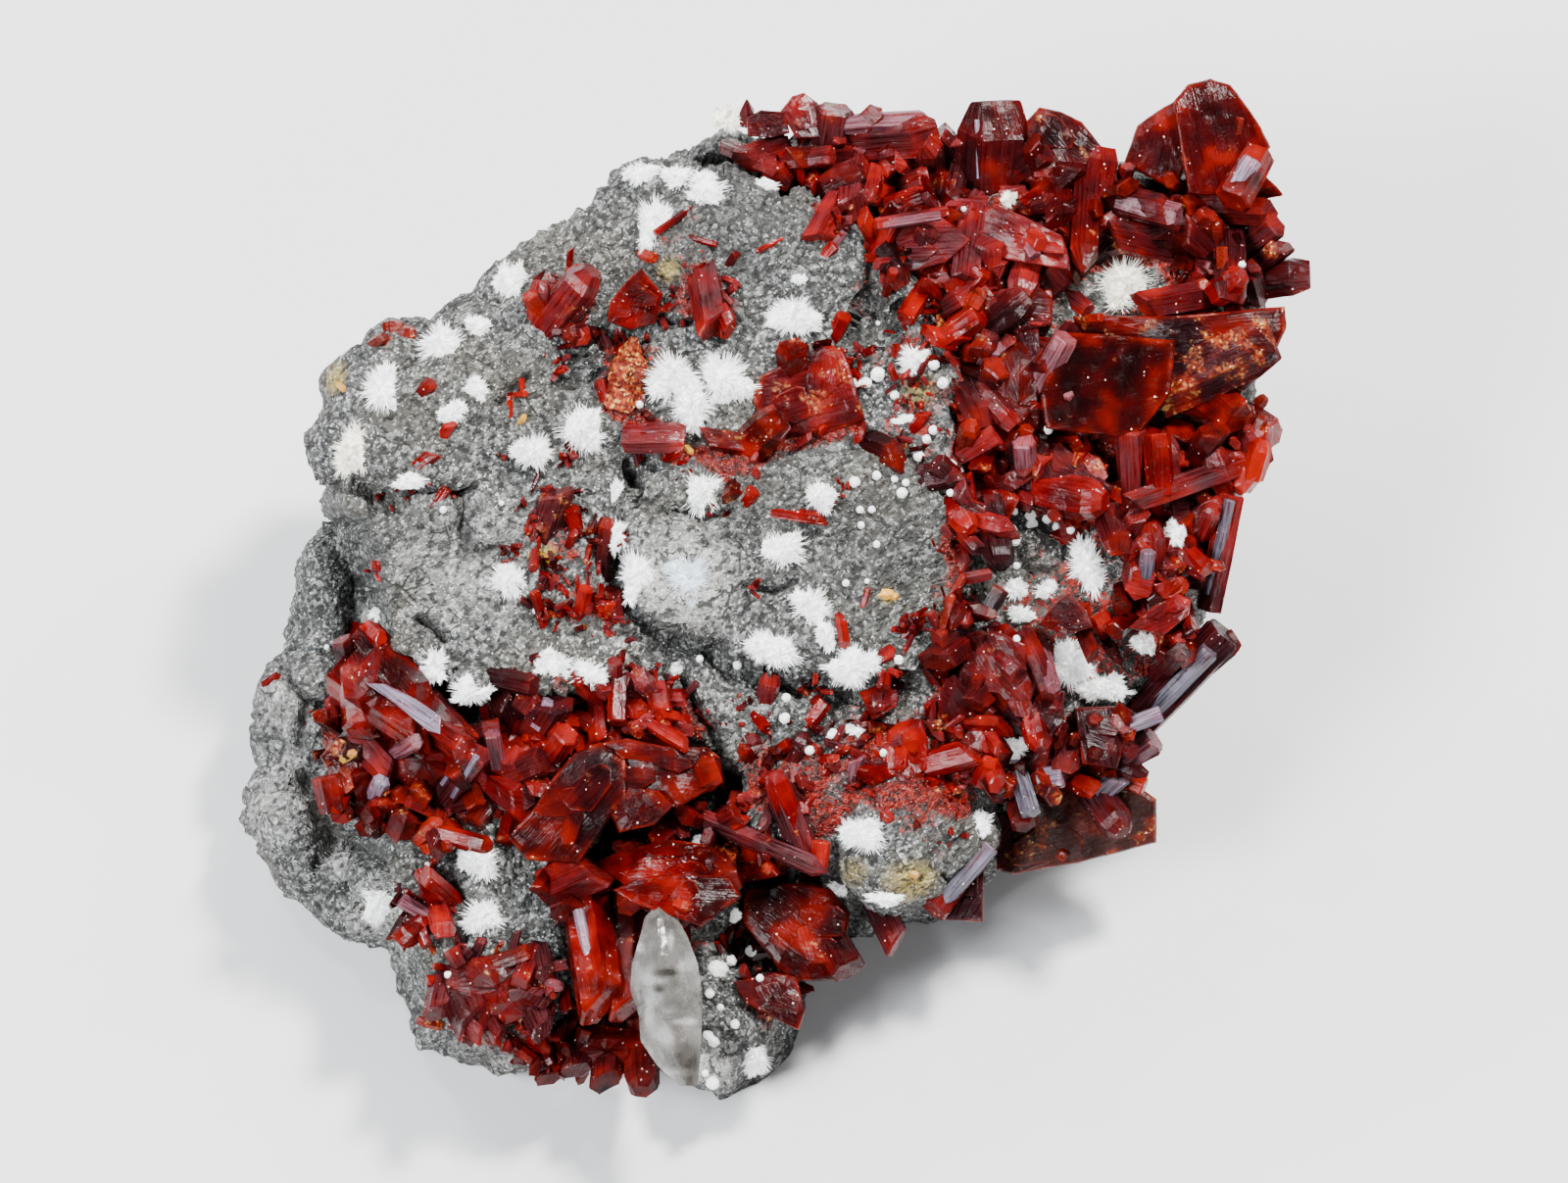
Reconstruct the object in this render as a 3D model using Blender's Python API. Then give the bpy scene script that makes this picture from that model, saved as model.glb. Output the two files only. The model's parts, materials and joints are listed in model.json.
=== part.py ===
"""Picropharmacolite with realgar: a lump of grey rock with red crystals, white needle sprays and a calcite.

Blender 4.5 script, metres, +Z up. The specimen lies on its broken back, and the origin is the middle of the
flat it rests on. Its face looks up and towards -Y, tilted as in the photograph.

Sizes are in millimetres. Places on the face are pixels of the reference photograph, which looks squarely at
the face: face_point turns a pixel and a level, in mm above the plane of the face, into a place in space.
"""
from math import cos, pi, radians, sin, tan

import bmesh
import bpy
import numpy as np
from mathutils import Vector
from mathutils.bvhtree import BVHTree

for old in list(bpy.data.objects):
    bpy.data.objects.remove(old, do_unlink=True)

# The photograph's frame
MM = 0.001
PIXEL = 0.068                     # mm on the face for one pixel: the specimen is 73 mm across
PHOTO_CENTRE = (800.0, 603.5)
VIEW_ELEVATION = radians(62)
EYE_DISTANCE = 550.0
FACE_CENTRE = np.array([0.0, 0.0, 23.5])
FACE_SLOPE = 0.15                 # the face leans this much less than the picture plane
RIGHT = np.array([1.0, 0.0, 0.0])
UP = np.array([0.0, sin(VIEW_ELEVATION), cos(VIEW_ELEVATION)])
OUT = np.array([0.0, -cos(VIEW_ELEVATION), sin(VIEW_ELEVATION)])
GAP = 0.35                        # clearance between solids that touch


def face_point(px, py, level):
    """The place in mm of a pixel at a level above the face plane, along the photograph's line of sight."""
    across = (np.asarray(px, float) - PHOTO_CENTRE[0]) * PIXEL
    upward = (PHOTO_CENTRE[1] - np.asarray(py, float)) * PIXEL
    height = np.asarray(level, float) - FACE_SLOPE * upward
    near = (1.0 - height / EYE_DISTANCE)[..., None]
    flat = across[..., None] * RIGHT + upward[..., None] * UP
    return FACE_CENTRE + near * flat + height[..., None] * OUT


def smooth(value):
    """A soft step: 0 below 0, 1 above 1, level at both ends."""
    step = np.clip(value, 0.0, 1.0)
    return step * step * (3.0 - 2.0 * step)


def lattice_noise(points, cell, seed):
    """Seeded numbers at the corners of a cube lattice, blended smoothly in between, from -1 to 1."""
    table = np.random.default_rng(seed).uniform(-1.0, 1.0, 4096)
    place = points / cell
    corner = np.floor(place).astype(np.int64)
    blend = smooth(place - corner)
    total = np.zeros(len(points))
    for step in np.ndindex(2, 2, 2):
        weight = np.prod(np.where(np.array(step) == 1, blend, 1.0 - blend), axis=1)
        key = corner + np.array(step)
        slot = (key[:, 0] * 73856093) ^ (key[:, 1] * 19349663) ^ (key[:, 2] * 83492791)
        total += weight * table[slot % 4096]
    return total


def distance_to_line(px, py, line, closed):
    """Distance in pixels from each point to the nearest stretch of a line of points."""
    corners = np.array(line, float)
    starts, ends = (corners, np.roll(corners, -1, axis=0)) if closed else (corners[:-1], corners[1:])
    run = ends - starts
    points = np.stack([px, py], axis=1)[:, None, :]
    along = ((points - starts) * run).sum(axis=2) / (run * run).sum(axis=1)
    nearest = starts + np.clip(along, 0.0, 1.0)[..., None] * run
    return np.sqrt(((points - nearest) ** 2).sum(axis=2)).min(axis=1)


def depth_inside(px, py, outline):
    """Distance in pixels to an outline, positive inside it and negative outside."""
    corners = np.array(outline, float)
    after = np.roll(corners, -1, axis=0)
    row = py[:, None]
    spans = (corners[:, 1] > row) != (after[:, 1] > row)
    rise = np.where(after[:, 1] == corners[:, 1], 1e-9, after[:, 1] - corners[:, 1])
    crossing = corners[:, 0] + (row - corners[:, 1]) / rise * (after[:, 0] - corners[:, 0])
    inside = (spans & (px[:, None] < crossing)).sum(axis=1) % 2 == 1
    return np.where(inside, 1.0, -1.0) * distance_to_line(px, py, outline, True)


# The rock: its outline in the photograph, and the masses that its face is built of
OUTLINE = [
    (700, 150), (738, 124), (770, 138), (880, 138), (960, 140), (1050, 130), (1150, 160), (1250, 180),
    (1288, 240), (1292, 330), (1280, 420), (1255, 500), (1225, 600), (1185, 700), (1140, 755), (1080, 800),
    (1020, 835), (1012, 870), (960, 920), (905, 935), (850, 905), (825, 930), (800, 985), (824, 1030),
    (808, 1078), (775, 1112), (735, 1130), (700, 1108), (650, 1085), (600, 1080), (540, 1092), (475, 1084),
    (428, 1070), (420, 1030), (398, 970), (350, 955), (290, 915), (262, 870), (260, 815), (276, 770),
    (268, 715), (298, 665), (302, 610), (308, 565), (326, 543), (345, 520), (332, 500), (322, 460),
    (338, 420), (342, 385), (372, 360), (400, 338), (440, 335), (485, 305), (505, 268), (540, 240),
    (600, 205), (640, 170), (672, 160),
]
OUTLINE_CENTRE = (770.0, 600.0)
RIM_DROP = 6.5                    # how far the face rolls down at its rim
RIM_WIDTH = 7.5
GROUND_LEVEL = -9.0               # the level of what no mass covers

# level in mm, width in mm of its sloping edge, outline in pixels; each lies over the ones before it
MASSES = {
    "right body": (-3.2, 2.5, [
        (860, 240), (930, 170), (1050, 150), (1200, 160), (1300, 220), (1310, 340), (1290, 440), (1262, 520),
        (1230, 620), (1190, 705), (1130, 770), (1040, 810), (990, 790), (975, 680), (985, 560), (950, 300)]),
    "top strip": (-5.0, 1.6, [
        (690, 170), (695, 140), (740, 110), (800, 115), (960, 120), (1060, 115), (1160, 150), (1200, 185),
        (1000, 205), (930, 195), (870, 215), (820, 190), (760, 178)]),
    "left shelf": (-8.0, 2.0, [
        (290, 540), (330, 530), (372, 560), (375, 640), (345, 700), (318, 790), (330, 860), (372, 910),
        (405, 975), (340, 975), (250, 900), (245, 800), (262, 700)]),
    "plateau": (0.0, 2.2, [
        (320, 400), (350, 350), (440, 318), (510, 250), (600, 195), (645, 160), (700, 155), (760, 172),
        (825, 185), (880, 215), (960, 285), (990, 380), (995, 480), (1015, 560), (1005, 650), (975, 700),
        (870, 700), (760, 690), (700, 665), (650, 655), (630, 700), (560, 705), (520, 715), (480, 715),
        (440, 700), (400, 680), (372, 640), (372, 560), (350, 520), (325, 480)]),
    "lower left slab": (-2.6, 2.2, [
        (362, 860), (400, 800), (450, 740), (520, 700), (620, 690), (720, 740), (730, 800), (640, 860),
        (600, 930), (600, 1030), (612, 1100), (540, 1110), (420, 1085), (405, 1020), (380, 950)]),
    "middle step": (-1.6, 2.0, [
        (600, 700), (640, 680), (700, 668), (740, 690), (870, 705), (975, 700), (1010, 720), (1020, 790),
        (1015, 860), (960, 925), (900, 938), (845, 905), (750, 885), (735, 800), (690, 760), (600, 762)]),
    "lower right lobe": (0.6, 2.0, [
        (845, 855), (895, 790), (985, 785), (1015, 838), (1003, 880), (945, 928), (890, 935), (850, 900)]),
    "bottom lobe": (-3.4, 2.0, [
        (690, 960), (745, 950), (790, 985), (828, 1030), (806, 1090), (738, 1138), (690, 1112), (672, 1040)]),
    "central block": (2.0, 1.8, [
        (626, 545), (640, 500), (665, 478), (720, 462), (790, 470), (860, 460), (925, 465), (975, 520),
        (992, 600), (975, 660), (940, 690), (870, 702), (790, 692), (740, 682), (700, 652), (660, 628),
        (630, 592)]),
}

# depth and width in mm, line in pixels
CREVICES = {
    "under the central block": (3.2, 0.9, [
        (612, 560), (622, 600), (655, 640), (700, 668), (760, 702), (860, 712)]),
    "down the middle step": (2.2, 0.8, [(694, 690), (715, 730), (735, 768)]),
    "across the plateau": (1.0, 0.6, [(360, 500), (400, 508), (440, 498), (470, 512), (480, 560)]),
    "above the spindle": (0.8, 0.5, [(560, 398), (600, 382), (640, 412), (668, 432)]),
    "beside the left shelf": (2.4, 1.0, [(340, 545), (368, 590), (362, 640), (335, 722)]),
    "below the left prism": (2.2, 1.2, [(318, 800), (335, 850), (385, 868)]),
    "left of the bottom lobe": (2.0, 1.2, [(600, 950), (612, 1020), (640, 1060)]),
    "left of the right lobe": (2.0, 1.0, [(745, 880), (800, 890), (850, 905)]),
    "above the central block": (0.7, 0.5, [(650, 480), (655, 520), (680, 528), (710, 520)]),
    "upper crack": (1.2, 0.5, [(865, 345), (885, 300), (900, 335), (925, 318)]),
}
ROCK_CELLS = 96                   # squares along each side of the rock's grid, before it is thinned
ROCK_TRIANGLES = 1800
NOISE = [(13.0, 0.9, 11), (6.0, 0.7, 12), (2.9, 0.45, 13), (1.5, 0.22, 14)]    # cell mm, height mm, seed
BASE_CENTRE = (-3.0, 2.5)         # the flat that the rock rests on, an ellipse
BASE_RADII = (23.5, 19.0)
BASE_SHARE = 0.45                 # the share of the back's radius that the flat takes
CUT_BELOW = 1.2                   # the back is made this much too deep, then cut flat


def face_level(px, py):
    """Level of the rock's face: masses laid over one another, less the crevices and the rim's roll-off."""
    warp_points = np.stack([px, py, np.zeros(len(px))], axis=1)
    warped_x = px + 7.0 * lattice_noise(warp_points, 42.0, 21) + 4.0 * lattice_noise(warp_points, 17.0, 23)
    warped_y = py + 7.0 * lattice_noise(warp_points, 42.0, 22) + 4.0 * lattice_noise(warp_points, 17.0, 24)
    level = np.full(len(px), GROUND_LEVEL)
    for mass_level, edge, outline in MASSES.values():
        cover = smooth(depth_inside(warped_x, warped_y, outline) * PIXEL / edge)
        level += (mass_level - level) * cover
    for depth, width, line in CREVICES.values():
        away = distance_to_line(warped_x, warped_y, line, False) * PIXEL / width
        level -= depth * np.exp(-away * away)
    inward = np.clip(depth_inside(px, py, OUTLINE) * PIXEL / RIM_WIDTH, 0.0, 1.0)
    return level - RIM_DROP * (1.0 - np.sqrt(1.0 - (1.0 - inward) ** 2))


def outline_reach(angle):
    """How far the rock's outline lies from its centre along each direction, in pixels."""
    corners = np.array(OUTLINE, float) - OUTLINE_CENTRE
    after = np.roll(corners, -1, axis=0)
    ray = np.stack([np.cos(angle), np.sin(angle)], axis=1)[:, None, :]
    side = after - corners
    cross = ray[..., 0] * side[:, 1] - ray[..., 1] * side[:, 0]
    cross = np.where(np.abs(cross) < 1e-9, 1e-9, cross)
    reach = (corners[:, 0] * side[:, 1] - corners[:, 1] * side[:, 0]) / cross
    place = (corners[:, 0] * ray[..., 1] - corners[:, 1] * ray[..., 0]) / cross
    hit = (reach > 0) & (place >= -1e-6) & (place <= 1.0 + 1e-6)
    return np.where(hit, reach, 0.0).max(axis=1)


def new_object(name, mesh, material=None):
    item = bpy.data.objects.new(name, mesh)
    bpy.context.collection.objects.link(item)
    if material:
        item.data.materials.append(material)
    return item


def vertex_normals(mesh):
    normals = np.empty(len(mesh.vertices) * 3, np.float32)
    mesh.vertex_normals.foreach_get("vector", normals)
    return normals.reshape(-1, 3).astype(float)


def read_points(mesh):
    points = np.empty(len(mesh.vertices) * 3, np.float32)
    mesh.vertices.foreach_get("co", points)
    return points.reshape(-1, 3).astype(float)


def move_points(mesh, points):
    mesh.vertices.foreach_set("co", np.asarray(points, np.float32).ravel())
    mesh.update()


def evaluated_mesh(item):
    """The mesh of an object with its modifiers applied."""
    bpy.context.view_layer.update()
    return bpy.data.meshes.new_from_object(item.evaluated_get(bpy.context.evaluated_depsgraph_get()))


def rock_grid(flipped):
    """A square grid turned into a disc: its points' shares of the radius, their angles, and the mesh."""
    grid = bmesh.new()
    bmesh.ops.create_grid(grid, x_segments=ROCK_CELLS, y_segments=ROCK_CELLS, size=1.0)
    if flipped:
        bmesh.ops.reverse_faces(grid, faces=grid.faces)
    square = np.array([vertex.co[:2] for vertex in grid.verts])
    disc_x = square[:, 0] * np.sqrt(1.0 - square[:, 1] ** 2 / 2.0)
    disc_y = square[:, 1] * np.sqrt(1.0 - square[:, 0] ** 2 / 2.0)
    return grid, np.minimum(np.hypot(disc_x, disc_y), 1.0), np.arctan2(-disc_y, disc_x)


def rock_front(share, angle):
    """Points of the face: the disc stretched to the outline, raised to the face's level."""
    reach = outline_reach(angle) * share
    px = OUTLINE_CENTRE[0] + reach * np.cos(angle)
    py = OUTLINE_CENTRE[1] + reach * np.sin(angle)
    return face_point(px, py, face_level(px, py))


def rock_back(share, angle):
    """Points of the back: walls that run from the rim in to the flat, and the flat itself."""
    rim = rock_front(np.ones(len(angle)), angle)
    foot = np.stack([BASE_CENTRE[0] + BASE_RADII[0] * np.cos(angle),
                     BASE_CENTRE[1] - BASE_RADII[1] * np.sin(angle),
                     np.full(len(angle), -CUT_BELOW)], axis=1)
    down = np.clip((1.0 - share) / (1.0 - BASE_SHARE), 0.0, 1.0)
    far_side = np.clip(-np.sin(angle), 0.0, 1.0)
    inward = (down ** (1.0 + 0.9 * far_side))[:, None]
    wall = rim * (1.0 - inward) + foot * inward
    wall[:, 2] = rim[:, 2] * (1.0 - down) + foot[:, 2] * down
    chips = 2.2 * lattice_noise(wall, 11.0, 31) + 1.2 * lattice_noise(wall, 5.0, 32)
    centre = np.array([BASE_CENTRE[0], BASE_CENTRE[1], 12.0])
    away = wall - centre
    away /= np.linalg.norm(away, axis=1)[:, None]
    wall += away * (chips * np.sin(pi * down))[:, None]
    middle = np.array([BASE_CENTRE[0], BASE_CENTRE[1], -CUT_BELOW])
    floor_share = np.clip(share / BASE_SHARE, 0.0, 1.0)[:, None]
    return np.where((share < BASE_SHARE)[:, None], middle + (foot - middle) * floor_share, wall)


def make_rock(material):
    """The rock: two sheets joined at the rim, roughened, thinned to flat facets, and cut flat below."""
    shell = bmesh.new()
    for flipped, points_of in ((False, rock_front), (True, rock_back)):
        grid, share, angle = rock_grid(flipped)
        points = points_of(share, angle)
        for vertex, point in zip(grid.verts, points):
            vertex.co = point
        sheet = bpy.data.meshes.new("sheet")
        grid.to_mesh(sheet)
        shell.from_mesh(sheet)
        bpy.data.meshes.remove(sheet)
        grid.free()
    bmesh.ops.remove_doubles(shell, verts=shell.verts, dist=0.01)
    bmesh.ops.triangulate(shell, faces=shell.faces)
    mesh = bpy.data.meshes.new("matrix")
    shell.to_mesh(mesh)
    shell.free()

    points = read_points(mesh)
    rough = sum(height * lattice_noise(points, cell, seed) for cell, height, seed in NOISE)
    rough *= smooth((points[:, 2] + CUT_BELOW) / 3.0)
    move_points(mesh, points + vertex_normals(mesh) * rough[:, None])

    rock = new_object("matrix", mesh, material)
    thin = rock.modifiers.new("thin", "DECIMATE")
    thin.ratio = ROCK_TRIANGLES / len(mesh.polygons)
    thinned = evaluated_mesh(rock)
    rock.modifiers.clear()

    shell = bmesh.new()
    shell.from_mesh(thinned)
    everything = shell.verts[:] + shell.edges[:] + shell.faces[:]
    bmesh.ops.bisect_plane(shell, geom=everything, plane_co=(0, 0, 0), plane_no=(0, 0, -1), clear_outer=True)
    bmesh.ops.holes_fill(shell, edges=[edge for edge in shell.edges if edge.is_boundary])
    bmesh.ops.triangulate(shell, faces=shell.faces)
    shell.to_mesh(mesh)
    shell.free()
    move_points(mesh, read_points(mesh) * MM)
    return rock


# Realgar crystals. A prism runs from a tail to a tip, each a pixel and a level, and has a width and a
# thickness in mm and a roll about its length in degrees. A plate has an outline in pixels, a level and a
# thickness in mm, and leans up to the right and up to the top by angles in degrees. A lump is a knot of
# small crystals too fine to tell apart: a place and three radii in mm.
SECTION = [(-1.0, -0.15), (-0.58, 1.0), (0.58, 1.0), (1.0, 0.15), (0.0, -1.0)]
EDGE = [(-1.0, 0.0), (1.0, 0.0)]
POINT = [(0.0, 0.0)]
END_RINGS = {                     # section, distance back from the tip in widths, shares of width and thickness
    "flat": [(SECTION, 0.0, 1.0, 1.0)],
    "slant": [(SECTION, 0.0, 0.92, 0.9)],
    "chisel": [(SECTION, 0.42, 1.0, 1.0), (EDGE, 0.0, 0.72, 0.0)],
    "point": [(SECTION, 0.85, 1.0, 1.0), (POINT, 0.0, 0.0, 0.0)],
    "round": [(SECTION, 0.4, 1.0, 1.0), (SECTION, 0.0, 0.6, 0.6)],
}
SLANT = 0.65                      # how far a slanting end drops across its width, in widths


def prism(tail, tip, width, thickness, roll, end):
    return {"kind": "prism", "tail": tail, "tip": tip, "width": width, "thickness": thickness,
            "roll": roll, "end": end}


def plate(outline, level, thickness, lean=(0.0, 0.0)):
    return {"kind": "plate", "outline": outline, "level": level, "thickness": thickness, "lean": lean}


def lump(place, radii, seed):
    return {"kind": "lump", "place": place, "radii": radii, "seed": seed}


def prism_points(form, grow):
    """Rings of a flattened six-sided section along the prism, drawn in at the tip by its end."""
    tail, tip = (face_point(*form[key]) for key in ("tail", "tip"))
    length = np.linalg.norm(tip - tail)
    along = (tip - tail) / length
    side = np.cross(along, OUT)
    side /= np.linalg.norm(side)
    front = np.cross(side, along)
    turn = radians(form["roll"])
    side, front = side * cos(turn) + front * sin(turn), front * cos(turn) - side * sin(turn)
    half_width = form["width"] / 2.0
    half_thickness = form["thickness"] / 2.0
    rings = [(SECTION, -grow, 0.94, 0.94)]
    rings += [(section, length + grow - back * form["width"], wide, thick)
              for section, back, wide, thick in END_RINGS[form["end"]]]
    points = []
    for index, (section, distance, wide, thick) in enumerate(rings):
        for across, raised in section:
            drop = SLANT * half_width * (1.0 - across) if form["end"] == "slant" and index else 0.0
            points.append(tail + along * (distance - drop)
                          + side * across * (half_width * wide + grow)
                          + front * raised * (half_thickness * thick + grow))
    return points


def plate_points(form, grow):
    """A flat front inside its outline, the outline a bevel's depth behind it, and a narrower back."""
    corners = np.array(form["outline"], float)
    centre = corners.mean(axis=0)
    bevel = min(0.5, form["thickness"] * 0.3)
    points = []
    for drop, inset, every in ((0.0, bevel * 1.4, 1), (bevel, 0.0, 1), (form["thickness"], 0.6, 2)):
        away = corners[::every] - centre
        reach = np.hypot(away[:, 0], away[:, 1])
        ring = centre + away * ((reach - (inset - grow) / PIXEL) / reach)[:, None]
        level = (form["level"] + tan(radians(form["lean"][0])) * (ring[:, 0] - centre[0]) * PIXEL
                 + tan(radians(form["lean"][1])) * (centre[1] - ring[:, 1]) * PIXEL)
        outward = grow if drop == 0.0 else -grow if inset == 0.6 else 0.0
        points += list(face_point(ring[:, 0], ring[:, 1], level - drop + outward))
    return points


def lump_points(form, grow):
    """A knobbly ball: points spread evenly over a sphere, each pushed in or out by a seeded share."""
    count = 13
    order = np.arange(count) + 0.5
    height = 1.0 - 2.0 * order / count
    turn = order * pi * (3.0 - 5.0 ** 0.5)
    flat = np.sqrt(1.0 - height ** 2)
    ball = np.stack([flat * np.cos(turn), flat * np.sin(turn), height], axis=1)
    ball *= np.random.default_rng(form["seed"]).uniform(0.78, 1.0, count)[:, None]
    reach = ball * (np.array(form["radii"]) + grow)
    middle = face_point(*form["place"])
    return list(middle + reach[:, :1] * RIGHT + reach[:, 1:2] * UP + reach[:, 2:] * OUT)


POINTS_OF = {"prism": prism_points, "plate": plate_points, "lump": lump_points}


def hull_mesh(name, point_sets):
    """One mesh of closed convex bodies, each the hull of a set of points in mm."""
    bodies = bmesh.new()
    for points in point_sets:
        corners = [bodies.verts.new(np.asarray(point) * MM) for point in points]
        result = bmesh.ops.convex_hull(bodies, input=corners, use_existing_faces=False)
        spare = {item for item in result["geom_interior"] + result["geom_unused"]
                 if isinstance(item, bmesh.types.BMVert)}
        bmesh.ops.delete(bodies, geom=list(spare), context="VERTS")
    bmesh.ops.recalc_face_normals(bodies, faces=bodies.faces)
    mesh = bpy.data.meshes.new(name)
    bodies.to_mesh(mesh)
    bodies.free()
    return mesh


def box_of(mesh):
    points = read_points(mesh)
    return points.min(axis=0), points.max(axis=0)


def boxes_meet(one, other):
    return bool(np.all(one[0] <= other[1]) and np.all(other[0] <= one[1]))


def island_volume(island):
    """Volume inside the faces around a set of vertices."""
    volume = 0.0
    for face in {face for vertex in island for face in vertex.link_faces}:
        first = face.verts[0].co
        for left, right in zip(face.verts[1:-1], face.verts[2:]):
            volume += first.dot(left.co.cross(right.co)) / 6.0
    return abs(volume)


def largest_body(mesh):
    """Merge stray doubles, keep the largest of the mesh's separate bodies, and drop the rest."""
    body = bmesh.new()
    body.from_mesh(mesh)
    bmesh.ops.remove_doubles(body, verts=body.verts, dist=0.000002)
    islands = []
    unseen = set(body.verts)
    while unseen:
        island = {unseen.pop()}
        edge_of_island = set(island)
        while edge_of_island:
            edge_of_island = {edge.other_vert(vertex) for vertex in edge_of_island
                              for edge in vertex.link_edges} & unseen
            unseen -= edge_of_island
            island |= edge_of_island
        islands.append(island)
    islands.sort(key=island_volume)
    small = [vertex for island in islands[:-1] for vertex in island]
    bmesh.ops.delete(body, geom=small, context="VERTS")
    bmesh.ops.dissolve_limit(body, angle_limit=radians(4), verts=body.verts, edges=body.edges)
    bmesh.ops.triangulate(body, faces=body.faces)
    body.to_mesh(mesh)
    body.free()


def trim(item, cutter_mesh):
    """Cut an object by the bodies of a mesh, joining its own overlapping bodies on the way."""
    cutter = new_object("cutter", cutter_mesh)
    cut = item.modifiers.new("trim", "BOOLEAN")
    cut.operation = "DIFFERENCE"
    cut.solver = "EXACT"
    cut.use_self = True
    cut.object = cutter
    trimmed = evaluated_mesh(item)
    item.modifiers.clear()
    material = item.data.materials[0]
    old = item.data
    item.data = trimmed
    item.data.materials.clear()
    item.data.materials.append(material)
    bpy.data.meshes.remove(old)
    bpy.data.objects.remove(cutter, do_unlink=True)
    largest_body(item.data)
    item.data.name = item.name


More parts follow.
